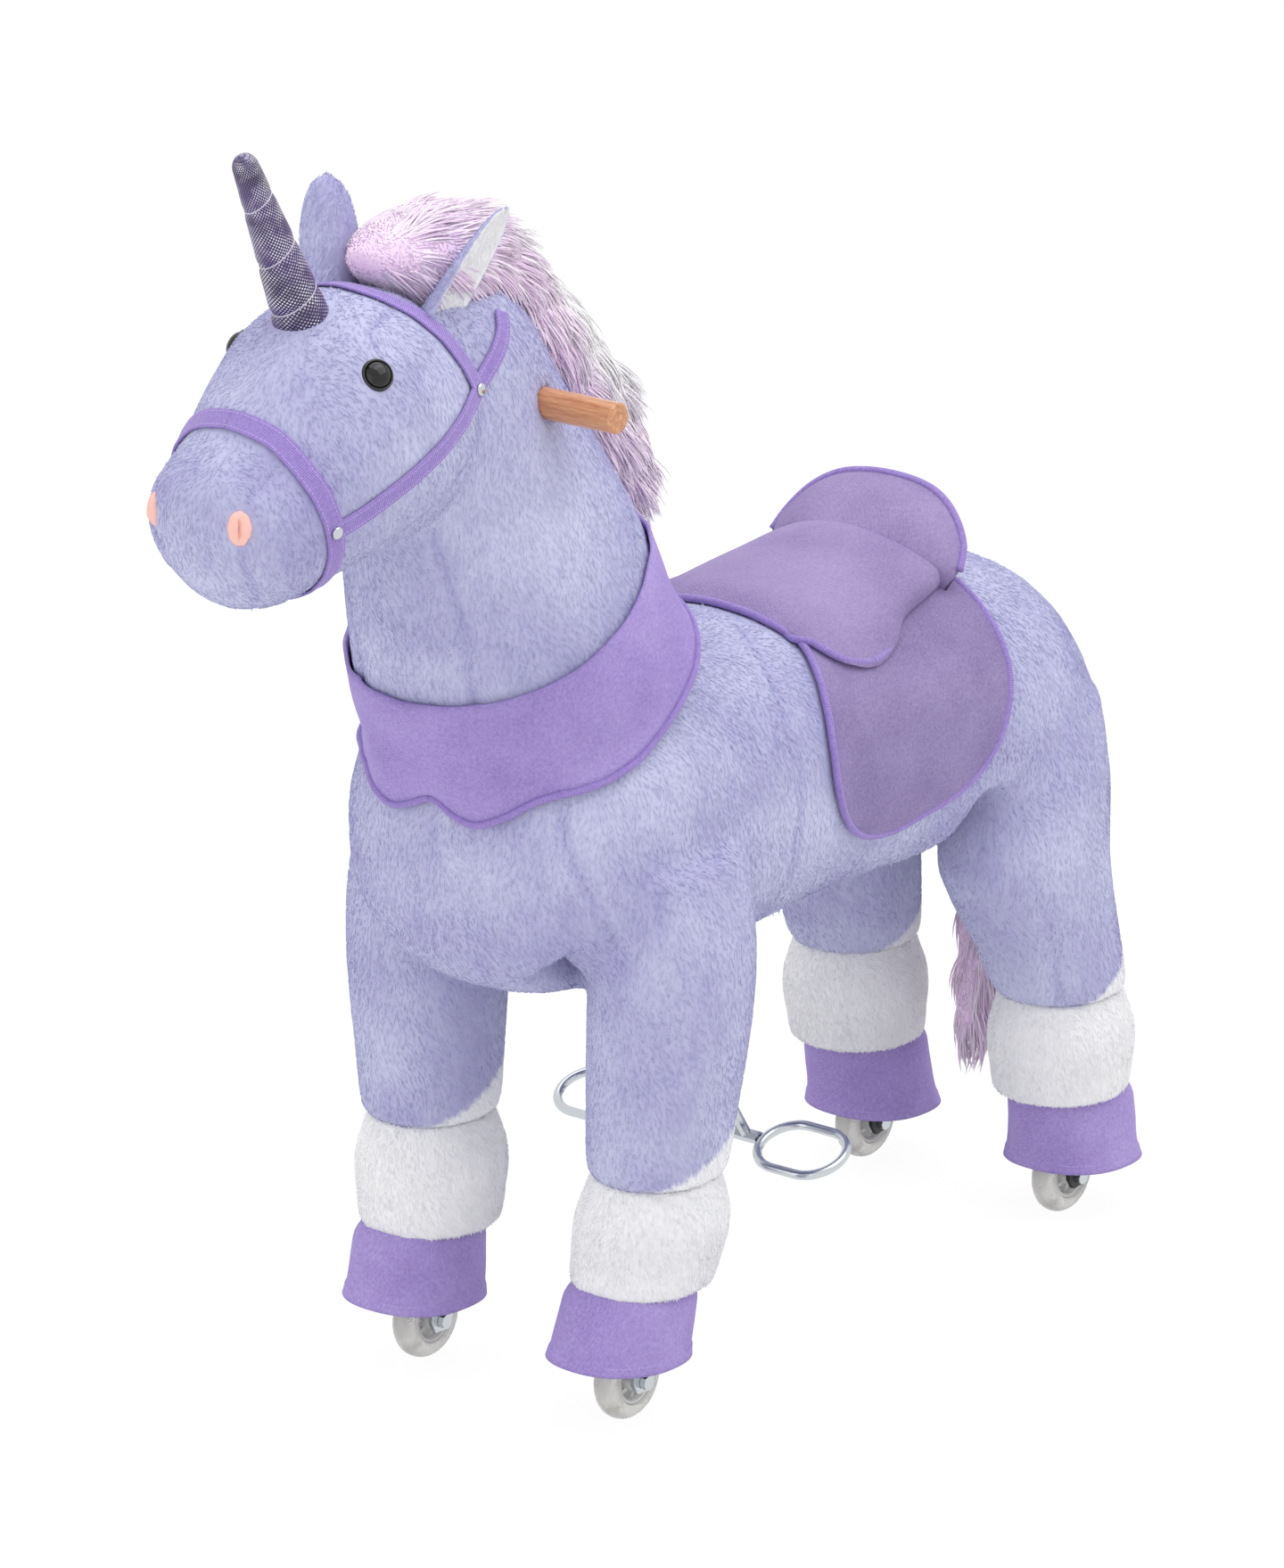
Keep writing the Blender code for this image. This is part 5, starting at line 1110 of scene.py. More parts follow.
@dataclass
class Saddle:
    """The twill saddle: a flap down each side, a padded seat and a raised cantle."""

    axis_z: float = 0.47
    # the flap's edge on the left side, forward to back, as x and z
    flap_edge: tuple = (
        (-111, 600), (-104, 580), (-90, 560), (-78, 535), (-73, 503), (-80, 469), (-100, 443), (-130, 429),
        (-165, 425), (-196, 430), (-234, 437), (-260, 448), (-285, 468), (-303, 495), (-313, 518),
        (-317, 542),
        (-320, 566), (-322, 600),
    )
    seat_edge: tuple = (
        (-94, 640), (-95, 612), (-100, 600), (-106, 588), (-114, 578), (-128, 569), (-145, 565), (-163, 564),
        (-182, 567), (-205, 575), (-222, 584), (-245, 589), (-280, 588), (-308, 592), (-316, 640),
    )
    # the rim of the cantle from the middle to the left, then its foot on the seat
    rim: tuple = ((-336, 0, 664), (-335, 30, 662), (-331, 54, 656), (-324, 75, 643), (-314, 91, 624),
                  (-300, 98, 606))
    foot: tuple = ((-266, 0, 628), (-268, 30, 626), (-276, 57, 620), (-284, 76, 613), (-292, 89, 604),
                   (-298, 94, 599))

    def grid(self, skin: Surface, edge: tuple, lift: float, rows: int, columns: int, crown: float,
             rise: float = 0.0) -> np.ndarray:
        """Points of a cloth laid over the back, from the left edge to the right.

        Args:
            skin: What it lies on.
            edge: The left side's outline as x and z in millimetres.
            lift: Its height over the skin.
            rows: Points from side to side.
            columns: Points from front to back.
            crown: Extra height in the middle.
            rise: Extra height towards the back.

        Returns:
            The grid.
        """
        line = smooth_path([(x, z, 0) for x, z in edge], 240)[:, :2] * MM
        low = int(line[:, 1].argmin())
        ahead, behind = line[: low + 1], line[low:]
        order_a, order_b = ahead[:, 1].argsort(), behind[:, 1].argsort()

        def span(height: float) -> tuple[float, float]:
            """Where the edge starts and ends along X at a height."""
            return (
                float(np.interp(height, ahead[order_a, 1], ahead[order_a, 0])),
                float(np.interp(height, behind[order_b, 1], behind[order_b, 0])),
            )

        middle = float(line[low, 0])
        angles = np.linspace(0, math.radians(118), 400)
        heights = [self.drop(skin, middle, a)[2] for a in angles]
        last = next((i for i, h in enumerate(heights) if h <= line[low, 1]), len(angles) - 1)
        limit = float(angles[last])
        grid = np.zeros((rows, columns, 3))
        for r in range(rows):
            share = math.sin(math.pi / 2 * (1 - 2 * r / (rows - 1)))
            angle = share * limit
            height = self.drop(skin, middle, abs(angle))[2]
            fore, aft = span(height)
            for c in range(columns):
                t = c / (columns - 1)
                x = fore + (aft - fore) * (t + 0.08 * math.sin(FULL_TURN * t) / -2)
                edge_share = (1 - abs(share) ** 6) * (1 - abs(2 * t - 1) ** 6)
                back = min(1.0, max(0.0, (t - 0.25) / 0.55))
                back = back * back * (3 - 2 * back) * (1 - share**2) ** 1.4 * (1 - abs(2 * t - 1) ** 14)
                grid[r, c] = self.drop(skin, x, angle, lift + crown * edge_share + rise * back)
        return grid

    def drop(self, skin: Surface, x: float, angle: float, lift: float = 0.0) -> np.ndarray:
        """The skin's point at a place along the back and an angle from the top."""
        way = Vector((0, math.sin(angle), math.cos(angle)))
        centre = Vector((x, 0, self.axis_z))
        found = skin.hit(centre + way * 0.4, -way)
        place = found[0] if found else centre + way * 0.12
        return np.array(place + way * lift)

    @staticmethod
    def relax(grid: np.ndarray, rounds: int) -> np.ndarray:
        """Evens a grid's inner points and its front and rear edges."""
        grid = grid.copy()
        for _ in range(rounds):
            for side in (0, -1):
                grid[1:-1, side] = (grid[1:-1, side] * 2 + grid[:-2, side] + grid[2:, side]) / 4
            grid[1:-1, 1:-1] = (
                grid[1:-1, 1:-1] * 2 + grid[:-2, 1:-1] + grid[2:, 1:-1] + grid[1:-1, :-2] + grid[1:-1, 2:]
            ) / 6
        return grid

    @staticmethod
    def border(grid: np.ndarray) -> np.ndarray:
        """The grid's border as a closed line."""
        return np.vstack([grid[0, :-1], grid[:-1, -1], grid[-1, :0:-1], grid[:0:-1, 0]])

    def build(self, skin: Surface, finishes: Wardrobe) -> list[bpy.types.Object]:
        """Lays the flap and the seat on the skin, and raises the cantle."""
        made = []
        flap = self.relax(self.grid(skin, self.flap_edge, 3.0 * MM, 110, 48, 1.0 * MM), 6)
        # the flap wears the darker copy of the seat's twill, painted shade for its side-facing cloth
        sheet = laid_sheet("saddle_flap_cloth", flap, 4.0 * MM, finishes.saddle_twill)
        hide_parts("saddle_flap")
        edge = smooth_path(self.border(flap)[::3], 420, closed=True)
        edge = lifted(edge, skin, 5.5 * MM)
        made += [sheet, binding("saddle_flap_binding", edge, 3.1 * MM, finishes.webbing)]
        over = Surface(sheet)
        seat = self.relax(self.grid(Over(over, skin), self.seat_edge, 1.2 * MM, 90, 44, 5.5 * MM, 17 * MM), 10)
        pad = laid_sheet("saddle_seat_pad", seat, 5.0 * MM, finishes.seat_twill)
        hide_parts("saddle_seat")
        edge = smooth_path(self.border(seat)[::3], 360, closed=True)
        for _ in range(14):
            edge = (np.roll(edge, 1, 0) + 2 * edge + np.roll(edge, -1, 0)) / 4
        edge = lifted(edge, Over(over, skin), 4.5 * MM)
        for _ in range(10):
            edge = (np.roll(edge, 1, 0) + 2 * edge + np.roll(edge, -1, 0)) / 4
        made += [pad, binding("saddle_seat_binding", edge, 3.2 * MM, finishes.webbing)]
        made += self.cantle(Over(over, skin), finishes)
        for obj in made:
            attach(obj, Body.CHASSIS.value)
        return made

    def cantle(self, below: "Over", finishes: Wardrobe) -> list[bpy.types.Object]:
        """The raised, stuffed crescent behind the seat, whose foot stands on the saddle."""
        count, steps = 61, 9
        rim, foot = (smooth_path(other_side(half[:0:-1]) + list(half), count) * MM
                     for half in (self.rim, self.foot))
        rows = []
        for i, (low, high) in enumerate(zip(foot, rim)):
            along = rim[min(i + 1, count - 1)] - rim[max(i - 1, 0)]
            out = np.cross(along, high - low)
            out /= np.linalg.norm(out) or 1
            if out[0] < 0:
                out = -out
            fat = 9.0 * MM * math.sin(math.pi * (i + 0.5) / count) ** 0.5
            seat_spot = self.drop(below, low[0] - 1 * MM, math.atan2(low[1], low[2] - self.axis_z), -2 * MM)
            rear_spot = self.drop(below, high[0] + 4 * MM, math.atan2(high[1], high[2] - self.axis_z), -2 * MM)
            ring = [seat_spot]
            for k in range(steps):
                t = k / (steps - 1)
                ring.append(low + (high - low) * t + out * fat * 0.7 * math.sin(math.pi * t) ** 0.8)
            for k in range(1, 6):
                t = k / 6
                bow = np.array((-1.0, 0, 0.1)) * fat * 0.5 * math.sin(math.pi * t)
                ring.append(high + (rear_spot - high) * t + bow)
            ring.append(rear_spot)
            rows.append(ring)
        grid = np.array(rows)
        size = grid.shape[1]
        faces = grid_faces(count, size, wrap=True)
        faces += [tuple(range(size))[::-1], tuple(range((count - 1) * size, count * size))]
        obj = outward(new_object("saddle_cantle_cushion", grid.reshape(-1, 3), faces))
        paint(obj, finishes.seat_twill)
        cord = binding("saddle_cantle_binding", rim, 3.2 * MM, finishes.webbing, closed=False)
        return [obj, cord]


class Over:
    """Two surfaces, of which a ray meets the outer one."""

    def __init__(self, *surfaces: Surface) -> None:
        """Keeps the surfaces."""
        self.surfaces = surfaces

    def hit(self, origin: Point, direction: Point) -> tuple[Vector, Vector] | None:
        """The first point that a ray meets on any of them."""
        found = [h for h in (s.hit(origin, direction) for s in self.surfaces) if h]
        return min(found, key=lambda h: (h[0] - Vector(origin)).length) if found else None

    def nearest(self, point: Point) -> tuple[Vector, Vector]:
        """The closest point on any of them, and its normal."""
        found = [s.nearest(point) for s in self.surfaces]
        return min(found, key=lambda h: (h[0] - Vector(point)).length)

    def gap(self, point: Point) -> float:
        """The least distance to any of them."""
        return min(s.gap(point) for s in self.surfaces)


def lifted(path: np.ndarray, surface: "Surface | Over", height: float) -> np.ndarray:
    """A path moved onto a surface and a height above it."""
    out = []
    for p in path:
        place, normal = surface.nearest(p)
        out.append(np.array(place + normal * height))
    return np.array(out)


@dataclass
class Collar:
    """The twill collar round the neck's foot, made as a plain band without its scallops."""

    # from the front's middle to the rear's on the left side, in millimetres
    neckline: tuple = (
        (290, 0, 622), (288, 22, 623), (278, 55, 626), (256, 84, 634), (222, 108, 649), (187, 117, 668),
        (156, 114, 686), (128, 102, 706), (98, 80, 722), (68, 45, 730), (56, 0, 733),
    )
    edge: tuple = (
        (262, 0, 533), (263, 24, 524), (261, 44, 520), (254, 66, 528), (241, 84, 540), (226, 98, 546),
        (207, 111, 549), (184, 122, 556), (160, 129, 568), (135, 132, 585), (108, 130, 604), (80, 121, 624),
        (56, 100, 645), (38, 62, 660), (30, 0, 668),
    )

    def build(self, skins: "Over", finishes: Wardrobe) -> list[bpy.types.Object]:
        """Lays the collar on the neck and the shoulders."""
        inner, outer = (
            smooth_path(list(half) + other_side(half[-2:0:-1]), 150, closed=True) * MM
            for half in (self.neckline, self.edge))
        rows = []
        for r in range(15):
            t = r / 14
            ring = inner * (1 - t) + outer * t
            laid = []
            for p in ring:
                place, normal = skins.nearest(p)
                off = Vector(p) - place
                inside = off.dot(normal) < 5 * MM
                laid.append(np.array(place + normal * (6.5 * MM)) if inside else p)
            rows.append(np.array(laid))
        grid = np.array(rows)
        for _ in range(6):
            beside = np.roll(grid, 1, 1)[1:-1] + np.roll(grid, -1, 1)[1:-1]
            grid[1:-1] = (grid[1:-1] * 2 + grid[:-2] + grid[2:] + beside) / 6
        sheet = laid_sheet("collar_cloth", grid, 3.2 * MM, finishes.twill, wrap=True)
        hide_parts("collar")
        hem_line = smooth_path(list(grid[-1]), 420, closed=True) + (0, 0, -0.5 * MM)
        hem = binding("collar_binding", hem_line, 2.9 * MM, finishes.webbing)
        for obj, slot in ((sheet, "purple_twill"), (hem, "purple_webbing")):
            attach(obj, Body.CHASSIS.value)
        return [sheet, hem]


@dataclass
class Bridle:
    """The tape straps of the bridle, their stitching and their rivets."""

    width: float = 17.0 * MM
    thickness: float = 1.9 * MM
    noseband: tuple = (
        (489, 0, 890), (487, 22, 886), (484, 40, 879), (479, 61, 859), (471, 72, 838), (461, 74, 811),
        (453, 68, 785), (448, 50, 762), (445, 26, 752), (444, 0, 750),
    )
    headband: tuple = (
        (357, 0, 970), (352, 24, 965), (338, 44, 954), (322, 60, 935), (308, 71, 912), (294, 77, 887),
    )
    cheek: tuple = ((294, 78, 887), (315, 84, 876), (332, 87, 866), (365, 89, 849), (403, 85, 832),
                    (437, 79, 818),
                    (461, 75, 811))
    crown: tuple = ((294, 77, 887), (279, 74, 897), (266, 72, 908), (254, 69, 921), (246, 62, 936))
    rivets: tuple = ((294, 78, 887), (461, 75, 811))
    rivet_profile: tuple = ((0.05, -3.0), (4.6, -3.0), (5.2, -0.5), (5.2, 0.2), (4.7, 0.9),
                            (3.6, 1.35), (2.0, 1.6),
                            (0.05, 1.7))

    def strap(
        self, name: str, points: list, head: Surface, material: bpy.types.Material, closed: bool, width: float
    ) -> tuple[bpy.types.Object, np.ndarray, np.ndarray]:
        """A tape laid along a path on the head.

        Args:
            name: The piece's name.
            points: The path, in millimetres.
            head: The surface it lies on.
            material: The tape's material.
            closed: Whether it goes all round.
            width: The tape's width.

        Returns:
            The tape, its centre line on the outside and its normals there.
        """
        count = 160 if closed else 70
        path = smooth_path(points, count, closed) * MM
        tangents = np.roll(path, -1, 0) - np.roll(path, 1, 0) if closed else np.gradient(path, axis=0)
        tangents /= np.linalg.norm(tangents, axis=1)[:, None]
        out = np.array([np.array(head.nearest(p)[1]) for p in path])
        for _ in range(8):
            out = (out + np.roll(out, 1, 0) + np.roll(out, -1, 0)) / 3 if closed else np.vstack(
                [out[:1], (out[:-2] + out[1:-1] + out[2:]) / 3, out[-1:]])
        out -= tangents * (out * tangents).sum(1)[:, None]
        out /= np.linalg.norm(out, axis=1)[:, None]
        side = np.cross(tangents, out)
        seat = np.array([np.dot(np.array(head.nearest(p)[0]) - p, o) for p, o in zip(path, out)])
        base = path + out * (seat + 1.2 * MM)[:, None]
        across = np.linspace(-0.5, 0.5, 7)
        rows = np.array([base + side * (width * a) for a in across]).transpose(1, 0, 2)
        for i in range(rows.shape[0]):
            for k in (0, 1, 5, 6):
                place, normal = head.nearest(rows[i, k])
                depth = (Vector(rows[i, k]) - place).dot(normal)
                if depth < 0.4 * MM:
                    rows[i, k] = rows[i, k] + out[i] * min(0.4 * MM - depth, 6 * MM)
                elif depth > 2.2 * MM:
                    rows[i, k] = rows[i, k] - out[i] * min(depth - 2.2 * MM, 2.5 * MM)
        top = rows + out[:, None] * self.thickness
        ring = np.concatenate([top, rows[:, ::-1]], axis=1)
        n, m = ring.shape[:2]
        faces = grid_faces(n, m, wrap=True)
        if closed:
            last = (n - 1) * m
            faces += [(last + c, last + (c + 1) % m, (c + 1) % m, c) for c in range(m)]
        else:
            faces += [tuple(range(m))[::-1], tuple(range((n - 1) * m, n * m))]
        obj = new_object(name, ring.reshape(-1, 3), faces)
        run = run_lengths(path)
        layer = obj.data.uv_layers.new(name="run")
        for loop in obj.data.loops:
            v = loop.vertex_index
            layer.data[loop.index].uv = ((v % m) * width / m, run[v // m])
        outward(obj, merge=0)
        add_modifier(obj, "BEVEL", width=0.5 * MM, segments=2, limit_method="ANGLE")
        return paint(baked(obj), material), top[:, 3], out

    def build(self, head: Surface, finishes: Wardrobe) -> list[bpy.types.Object]:
        """Makes the straps, their stitching and the rivets."""
        made = []
        nose = list(self.noseband) + other_side(self.noseband[-2:0:-1])
        brow = other_side(self.headband)[::-1] + list(self.headband[1:])
        plan = [("noseband_tape", nose, True, "noseband", self.width),
                ("headband_tape", brow, False, "headband", self.width)]
        for side in Side:
            for word, line, node, less in (("cheek", self.cheek, f"cheek_strap_{side.label}", 2 * MM),
                                           ("crown", self.crown, None, 3 * MM)):
                points = line if side is Side.LEFT else other_side(line)
                plan.append((f"{word}_tape_{side.label}", points, False, node, self.width - less))
        for name, points, closed, node, width in plan:
            obj, line, out = self.strap(name, points, head, finishes.webbing, closed, width)
            if node:
                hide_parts(node)
            made.append(obj)
            tangents = np.gradient(line, axis=0)
            side = np.cross(tangents / np.linalg.norm(tangents, axis=1)[:, None], out)
            for k, sign in enumerate((-1, 1)):
                row = line + side * (sign * (width / 2 - 2.6 * MM)) - out * (0.1 * MM)
                made.append(stitch_row(f"{name}_stitches_{k}", row, out, finishes.thread))
        for side in Side:
            for k, (x, y, z) in enumerate(self.rivets):
                centre = Vector((x, side.value * y, z)) * MM
                place, normal = head.nearest(centre)
                way = (normal + Vector((0, side.value, 0))).normalized()
                seat = place + way * (5.0 * MM)
                turn = facing(seat, way)
                rivet = revolve(f"bridle_rivet_{side.label}_{k}", in_metres(self.rivet_profile), turn, 28)
                made.append(paint(rivet, finishes.zinc))
        for obj in made:
            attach(obj, Body.STEERING_HEAD.value)
        return made


@dataclass
class HeadAndNeck:
    """The stuffed head and neck, which turn together, with their face."""

    nose: Point = (0.36, 0.0, 0.86)
    seams: tuple = (
        ((313, 46, 790), (313, 46, 776), (301, 51, 732), (289, 58, 690), (281, 56, 648), (275, 58, 618)),
        ((480, 40, 872), (495, 47, 862), (518, 45, 848), (531, 45, 830), (531, 44, 809), (524, 42, 789),
         (514, 40, 772), (500, 30, 757), (480, 0, 748)),
        ((392, 60, 940), (388, 52, 948), (372, 46, 952), (356, 44, 957)),
        ((190, 60, 930), (186, 82, 880), (176, 100, 820), (160, 114, 750), (148, 122, 690)),
        ((280, 72, 882), (285, 73, 871), (299, 76, 839), (326, 74, 817), (356, 68, 798),
         (380, 60, 788), (414, 50, 780)),
    )

    def build(self, frame: dict) -> bpy.types.Object:
        """Grows the head and neck as one skin and presses its seams."""
        skin = PlushSkin(
            "head_neck_skin", ("neck_plush", "head_plush"), voxel=5.0 * MM, swell=2.0 * MM, rounds=9,
            fillers=(((0.115, 0, 0.60), (0.215, 0, 0.87), 0.052), ((0.15, 0, 0.576), (0.17, 0, 0.66), 0.07),
                     ((0.212, -0.06, 0.858), (0.212, 0.06, 0.858), 0.03), ((0.24, 0, 0.88), (0.46, 0, 0.82), 0.055)),
        ).grow(frame)
        lines = []
        for seam in self.seams:
            path = smooth_path(seam, 70) * MM
            lines += [path, path * (1, -1, 1)]
        press_seams(skin, lines, 2.4 * MM, 4.2 * MM)
        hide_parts("neck_plush", "head_plush")
        return skin


@dataclass
class Face:
    """The eyes, the felt nostrils and the ears."""

    eye: Point = (0.404, 0.070, 0.920)
    nostril: Point = (0.5335, 0.044, 0.824)
    ears: tuple = (
        # side, root, tip, way the cup opens
        (Side.LEFT, (0.298, 0.050, 0.948), (0.250, 0.066, 1.020), (-0.27, 0.93, -0.12)),
        (Side.RIGHT, (0.316, -0.048, 0.955), (0.304, -0.064, 1.036), (-0.42, -0.86, -0.20)),
    )

    def build(self, skin: Surface, finishes: Wardrobe) -> list[bpy.types.Object]:
        """Makes the pieces of the face."""
        made = []
        for side in Side:
            made += self.make_eye(side, skin, finishes)
            made.append(self.make_nostril(side, skin, finishes))
        for side, root, tip, open_way in self.ears:
            made += self.make_ear(side, Vector(root), Vector(tip), Vector(open_way), finishes)
        for obj in made:
            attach(obj, Body.STEERING_HEAD.value)
        return made

    def make_eye(self, side: Side, skin: Surface, finishes: Wardrobe) -> list[bpy.types.Object]:
        """A glossy dome in a wide dark ring, pressed into the plush."""
        place, normal = skin.nearest((self.eye[0], side.value * self.eye[1], self.eye[2]))
        way = (normal + Vector((0.25, side.value * 0.2, 0.1))).normalized()
        turn = facing(place + way * (1.0 * MM), way)
        ring = [(7.6, -3.0), (12.6, -3.0), (12.9, -1.0), (12.6, 0.6), (12.0, 1.5), (11.4, 1.8),
                (10.8, 1.5), (10.4, 0.6),
                (7.6, 0.0)]
        dome = [(0.05, -2.5), (10.4, -2.5)] + [
            (10.4 * math.cos(a), 0.1 + 6.2 * math.sin(a)) for a in np.linspace(0.0, math.pi / 2 - 0.01, 12)
        ]
        ring.append(ring[0])
        outer = revolve(f"eye_ring_{side.label}", in_metres(ring), turn, 44)
        inner = revolve(f"eye_dome_{side.label}", in_metres(dome), turn, 44)
        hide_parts(f"eye_{side.label}")
        paint(outer, finishes.eye_ring)
        paint(inner, finishes.eye)
        return [outer, inner]

    def make_nostril(self, side: Side, skin: Surface, finishes: Wardrobe) -> bpy.types.Object:
        """An oval of pink felt with a stitched slot down its middle."""
        place, normal = skin.nearest((self.nostril[0], side.value * self.nostril[1], self.nostril[2]))
        up = (Vector((0, 0, 1)) - normal * normal.z).normalized()
        across = up.cross(normal)
        rings, spokes = 9, 32
        verts = []
        for r in range(1, rings + 1):
            t = r / rings
            for s in range(spokes):
                a = FULL_TURN * s / spokes
                x, y = 10.4 * t * math.cos(a), 14.6 * t * math.sin(a)
                spot, out = skin.nearest(place + across * (x * MM) + up * (y * MM))
                slot = math.exp(-((x / 1.3) ** 2)) * max(0.0, 1 - (y / 8.6) ** 4)
                height = 1.6 + 1.5 * (1 - t**4) - 3.2 * slot - (3.0 if r == rings else 0.0)
                verts.append(spot + normal * (height * MM))
        verts.append(place - normal * (0.6 * MM))
        faces = grid_faces(rings, spokes, wrap=True)
        faces += [(s, (s + 1) % spokes, rings * spokes) for s in range(spokes)]
        obj = new_object(f"nostril_{side.label}", verts, faces)
        with editing(obj) as bm:
            bmesh.ops.holes_fill(bm, edges=[e for e in bm.edges if e.is_boundary])
        return paint(outward(obj, merge=0), finishes.felt)

    def make_ear(
        self, side: Side, root: Vector, tip: Vector, open_way: Vector, finishes: Wardrobe
    ) -> list[bpy.types.Object]:
        """A cupped ear, lilac outside and white inside, with its pile."""
        axis = tip - root
        length = axis.length
        axis.normalize()
        open_way = (open_way - axis * open_way.dot(axis)).normalized()
        across = axis.cross(open_way)
        rows, columns = 22, 19
        shells = []
        for inset in (0.0, 1.0):
            verts = []
            for r in range(rows):
                t = r / (rows - 1)
                half = (28.5 * (1 - t**2.7) ** 0.5 * (0.80 + 0.2 * t) + 0.6) * MM - inset * 1.6 * MM * (1 - t)
                depth = (24.0 * (1 - t) ** 0.6 + 2.0) * MM
                for c in range(columns):
                    s = -1 + 2 * c / (columns - 1)
                    bow = depth * (1 - s * s) - inset * 3.4 * MM * (1 - s**4)
                    centre = root - axis * (0.16 * length) + axis * (length * 1.16 * t)
                    lean = across * (half * s * (1 + 0.1 * (1 - t)))
                    verts.append(centre + lean - open_way * (bow * 0.8 - 4 * MM))
            shells.append(verts)
        count = rows * columns
        outer_faces = grid_faces(rows, columns)
        inner_faces = [tuple(count + i for i in f[::-1]) for f in outer_faces]
        loop = (
            [c for c in range(columns)]
            + [r * columns + columns - 1 for r in range(1, rows)]
            + [(rows - 1) * columns + c for c in range(columns - 2, -1, -1)]
            + [r * columns for r in range(rows - 2, 0, -1)]
        )
        rim = [(a, b, count + b, count + a) for a, b in zip(loop, loop[1:] + loop[:1])]
        obj = new_object(f"ear_cup_{side.label}", shells[0] + shells[1], outer_faces + inner_faces + rim)
        obj.data.materials.append(finishes.lilac)
        obj.data.materials.append(finishes.white)
        kinds = [0] * len(outer_faces) + [1] * len(inner_faces) + [0] * len(rim)
        obj.data.polygons.foreach_set("material_index", kinds)
        outward(obj, merge=5e-5)
        add_modifier(obj, "SUBSURF", levels=1, render_levels=1)
        obj = baked(obj)
        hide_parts(f"ear_{side.label}")
        made = [obj]
        for index, (word, material) in enumerate((("outer", finishes.lilac_pile),
                                                  ("inner", finishes.white_pile))):
            part = in_scene("ear_part", obj.data.copy())
            with editing(part) as bm:
                bmesh.ops.delete(bm, geom=[f for f in bm.faces if f.material_index != index], context="FACES")
            nap = tuple(axis * 0.8 + Vector((0, 0, 0.1)))
            pile = Pile(length=3.6 * MM, density=230000.0, lean=0.86, nap=nap, seed=31 + index)
            fibres = pile.grow(part, f"ear_{word}_pile_{side.label}", material)
            bpy.data.objects.remove(part, do_unlink=True)
            made.append(fibres)
        return made


@dataclass
class Horn:
    """The stuffed horn of foil-dot knit, with thread wound round it."""

    base: Point = (0.3964, 0.0, 0.926)
    tip: Point = (0.4754, 0.0, 1.094)
    base_radius: float = 25.5 * MM
    tip_radius: float = 9.5 * MM
    threads: tuple = ((0.24, 0.30), (0.47, 0.54), (0.74, 0.79))

    def build(self, finishes: Wardrobe) -> list[bpy.types.Object]:
        """Makes the horn and its threads."""
        base, tip = Vector(self.base), Vector(self.tip)
        axis = (tip - base).normalized()
        length = (tip - base).length
        turn = facing(base, axis)
        rings, sides = 70, 56
        verts, uvs = [], []
        for r in range(rings + 1):
            h = r / rings
            for s in range(sides):
                a = FULL_TURN * s / sides
                verts.append(turn @ Vector((*self.radius_at(h, a, length), h * length)))
                uvs.append((a * 17 * MM, h * length))
        faces = grid_faces(rings + 1, sides, wrap=True)
        faces += [tuple(range(sides))[::-1], tuple(range(rings * sides, (rings + 1) * sides))]
        obj = new_object("horn_cloth", verts, faces)
        layer = obj.data.uv_layers.new(name="run")
        for polygon in obj.data.polygons:
            spread = [uvs[v][0] for v in polygon.vertices]
            around = max(spread) - min(spread) > 50 * MM and len(polygon.vertices) == 4
            for loop in polygon.loop_indices:
                u, v = uvs[obj.data.loops[loop].vertex_index]
                layer.data[loop].uv = (u + (FULL_TURN * 17 * MM if around and u < 50 * MM else 0), v)
        outward(obj, merge=0)
        paint(obj, finishes.foil)
        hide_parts("horn")
        made = [obj]
        for k, (low, high) in enumerate(self.threads):
            path = []
            for s in range(64):
                a = FULL_TURN * s / 64
                h = (low + high) / 2 + (high - low) / 2 * math.cos(a - 0.6)
                x, y = self.radius_at(h, a, length)
                path.append(np.array(turn @ Vector((x * 1.01, y * 1.01, h * length))))
            thread = tube(f"horn_thread_{k}", np.array(path), 0.55 * MM, 8, closed=True)
            made.append(paint(thread, finishes.silver_thread))
        for item in made:
            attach(item, Body.STEERING_HEAD.value)
        return made

    def radius_at(self, h: float, a: float, length: float) -> tuple[float, float]:
        """The horn's section point at a share of its height and an angle."""
        radius = self.base_radius + (self.tip_radius - self.base_radius) * h**0.92
        for low, high in self.threads:
            middle = (low + high) / 2 + (high - low) / 2 * math.cos(a - 0.6)
            radius *= 1 - 0.085 * math.exp(-(((h - middle) / 0.022) ** 2))
        radius *= 1 + 0.012 * math.sin(3 * a + 9 * h) * math.sin(14 * h)
        cap = 1 - (self.tip_radius * 1.15) / length
        if h > cap:
            radius *= math.sqrt(max(1e-4, 1 - ((h - cap) / (1 - cap)) ** 2))
        return radius * math.cos(a), radius * math.sin(a)


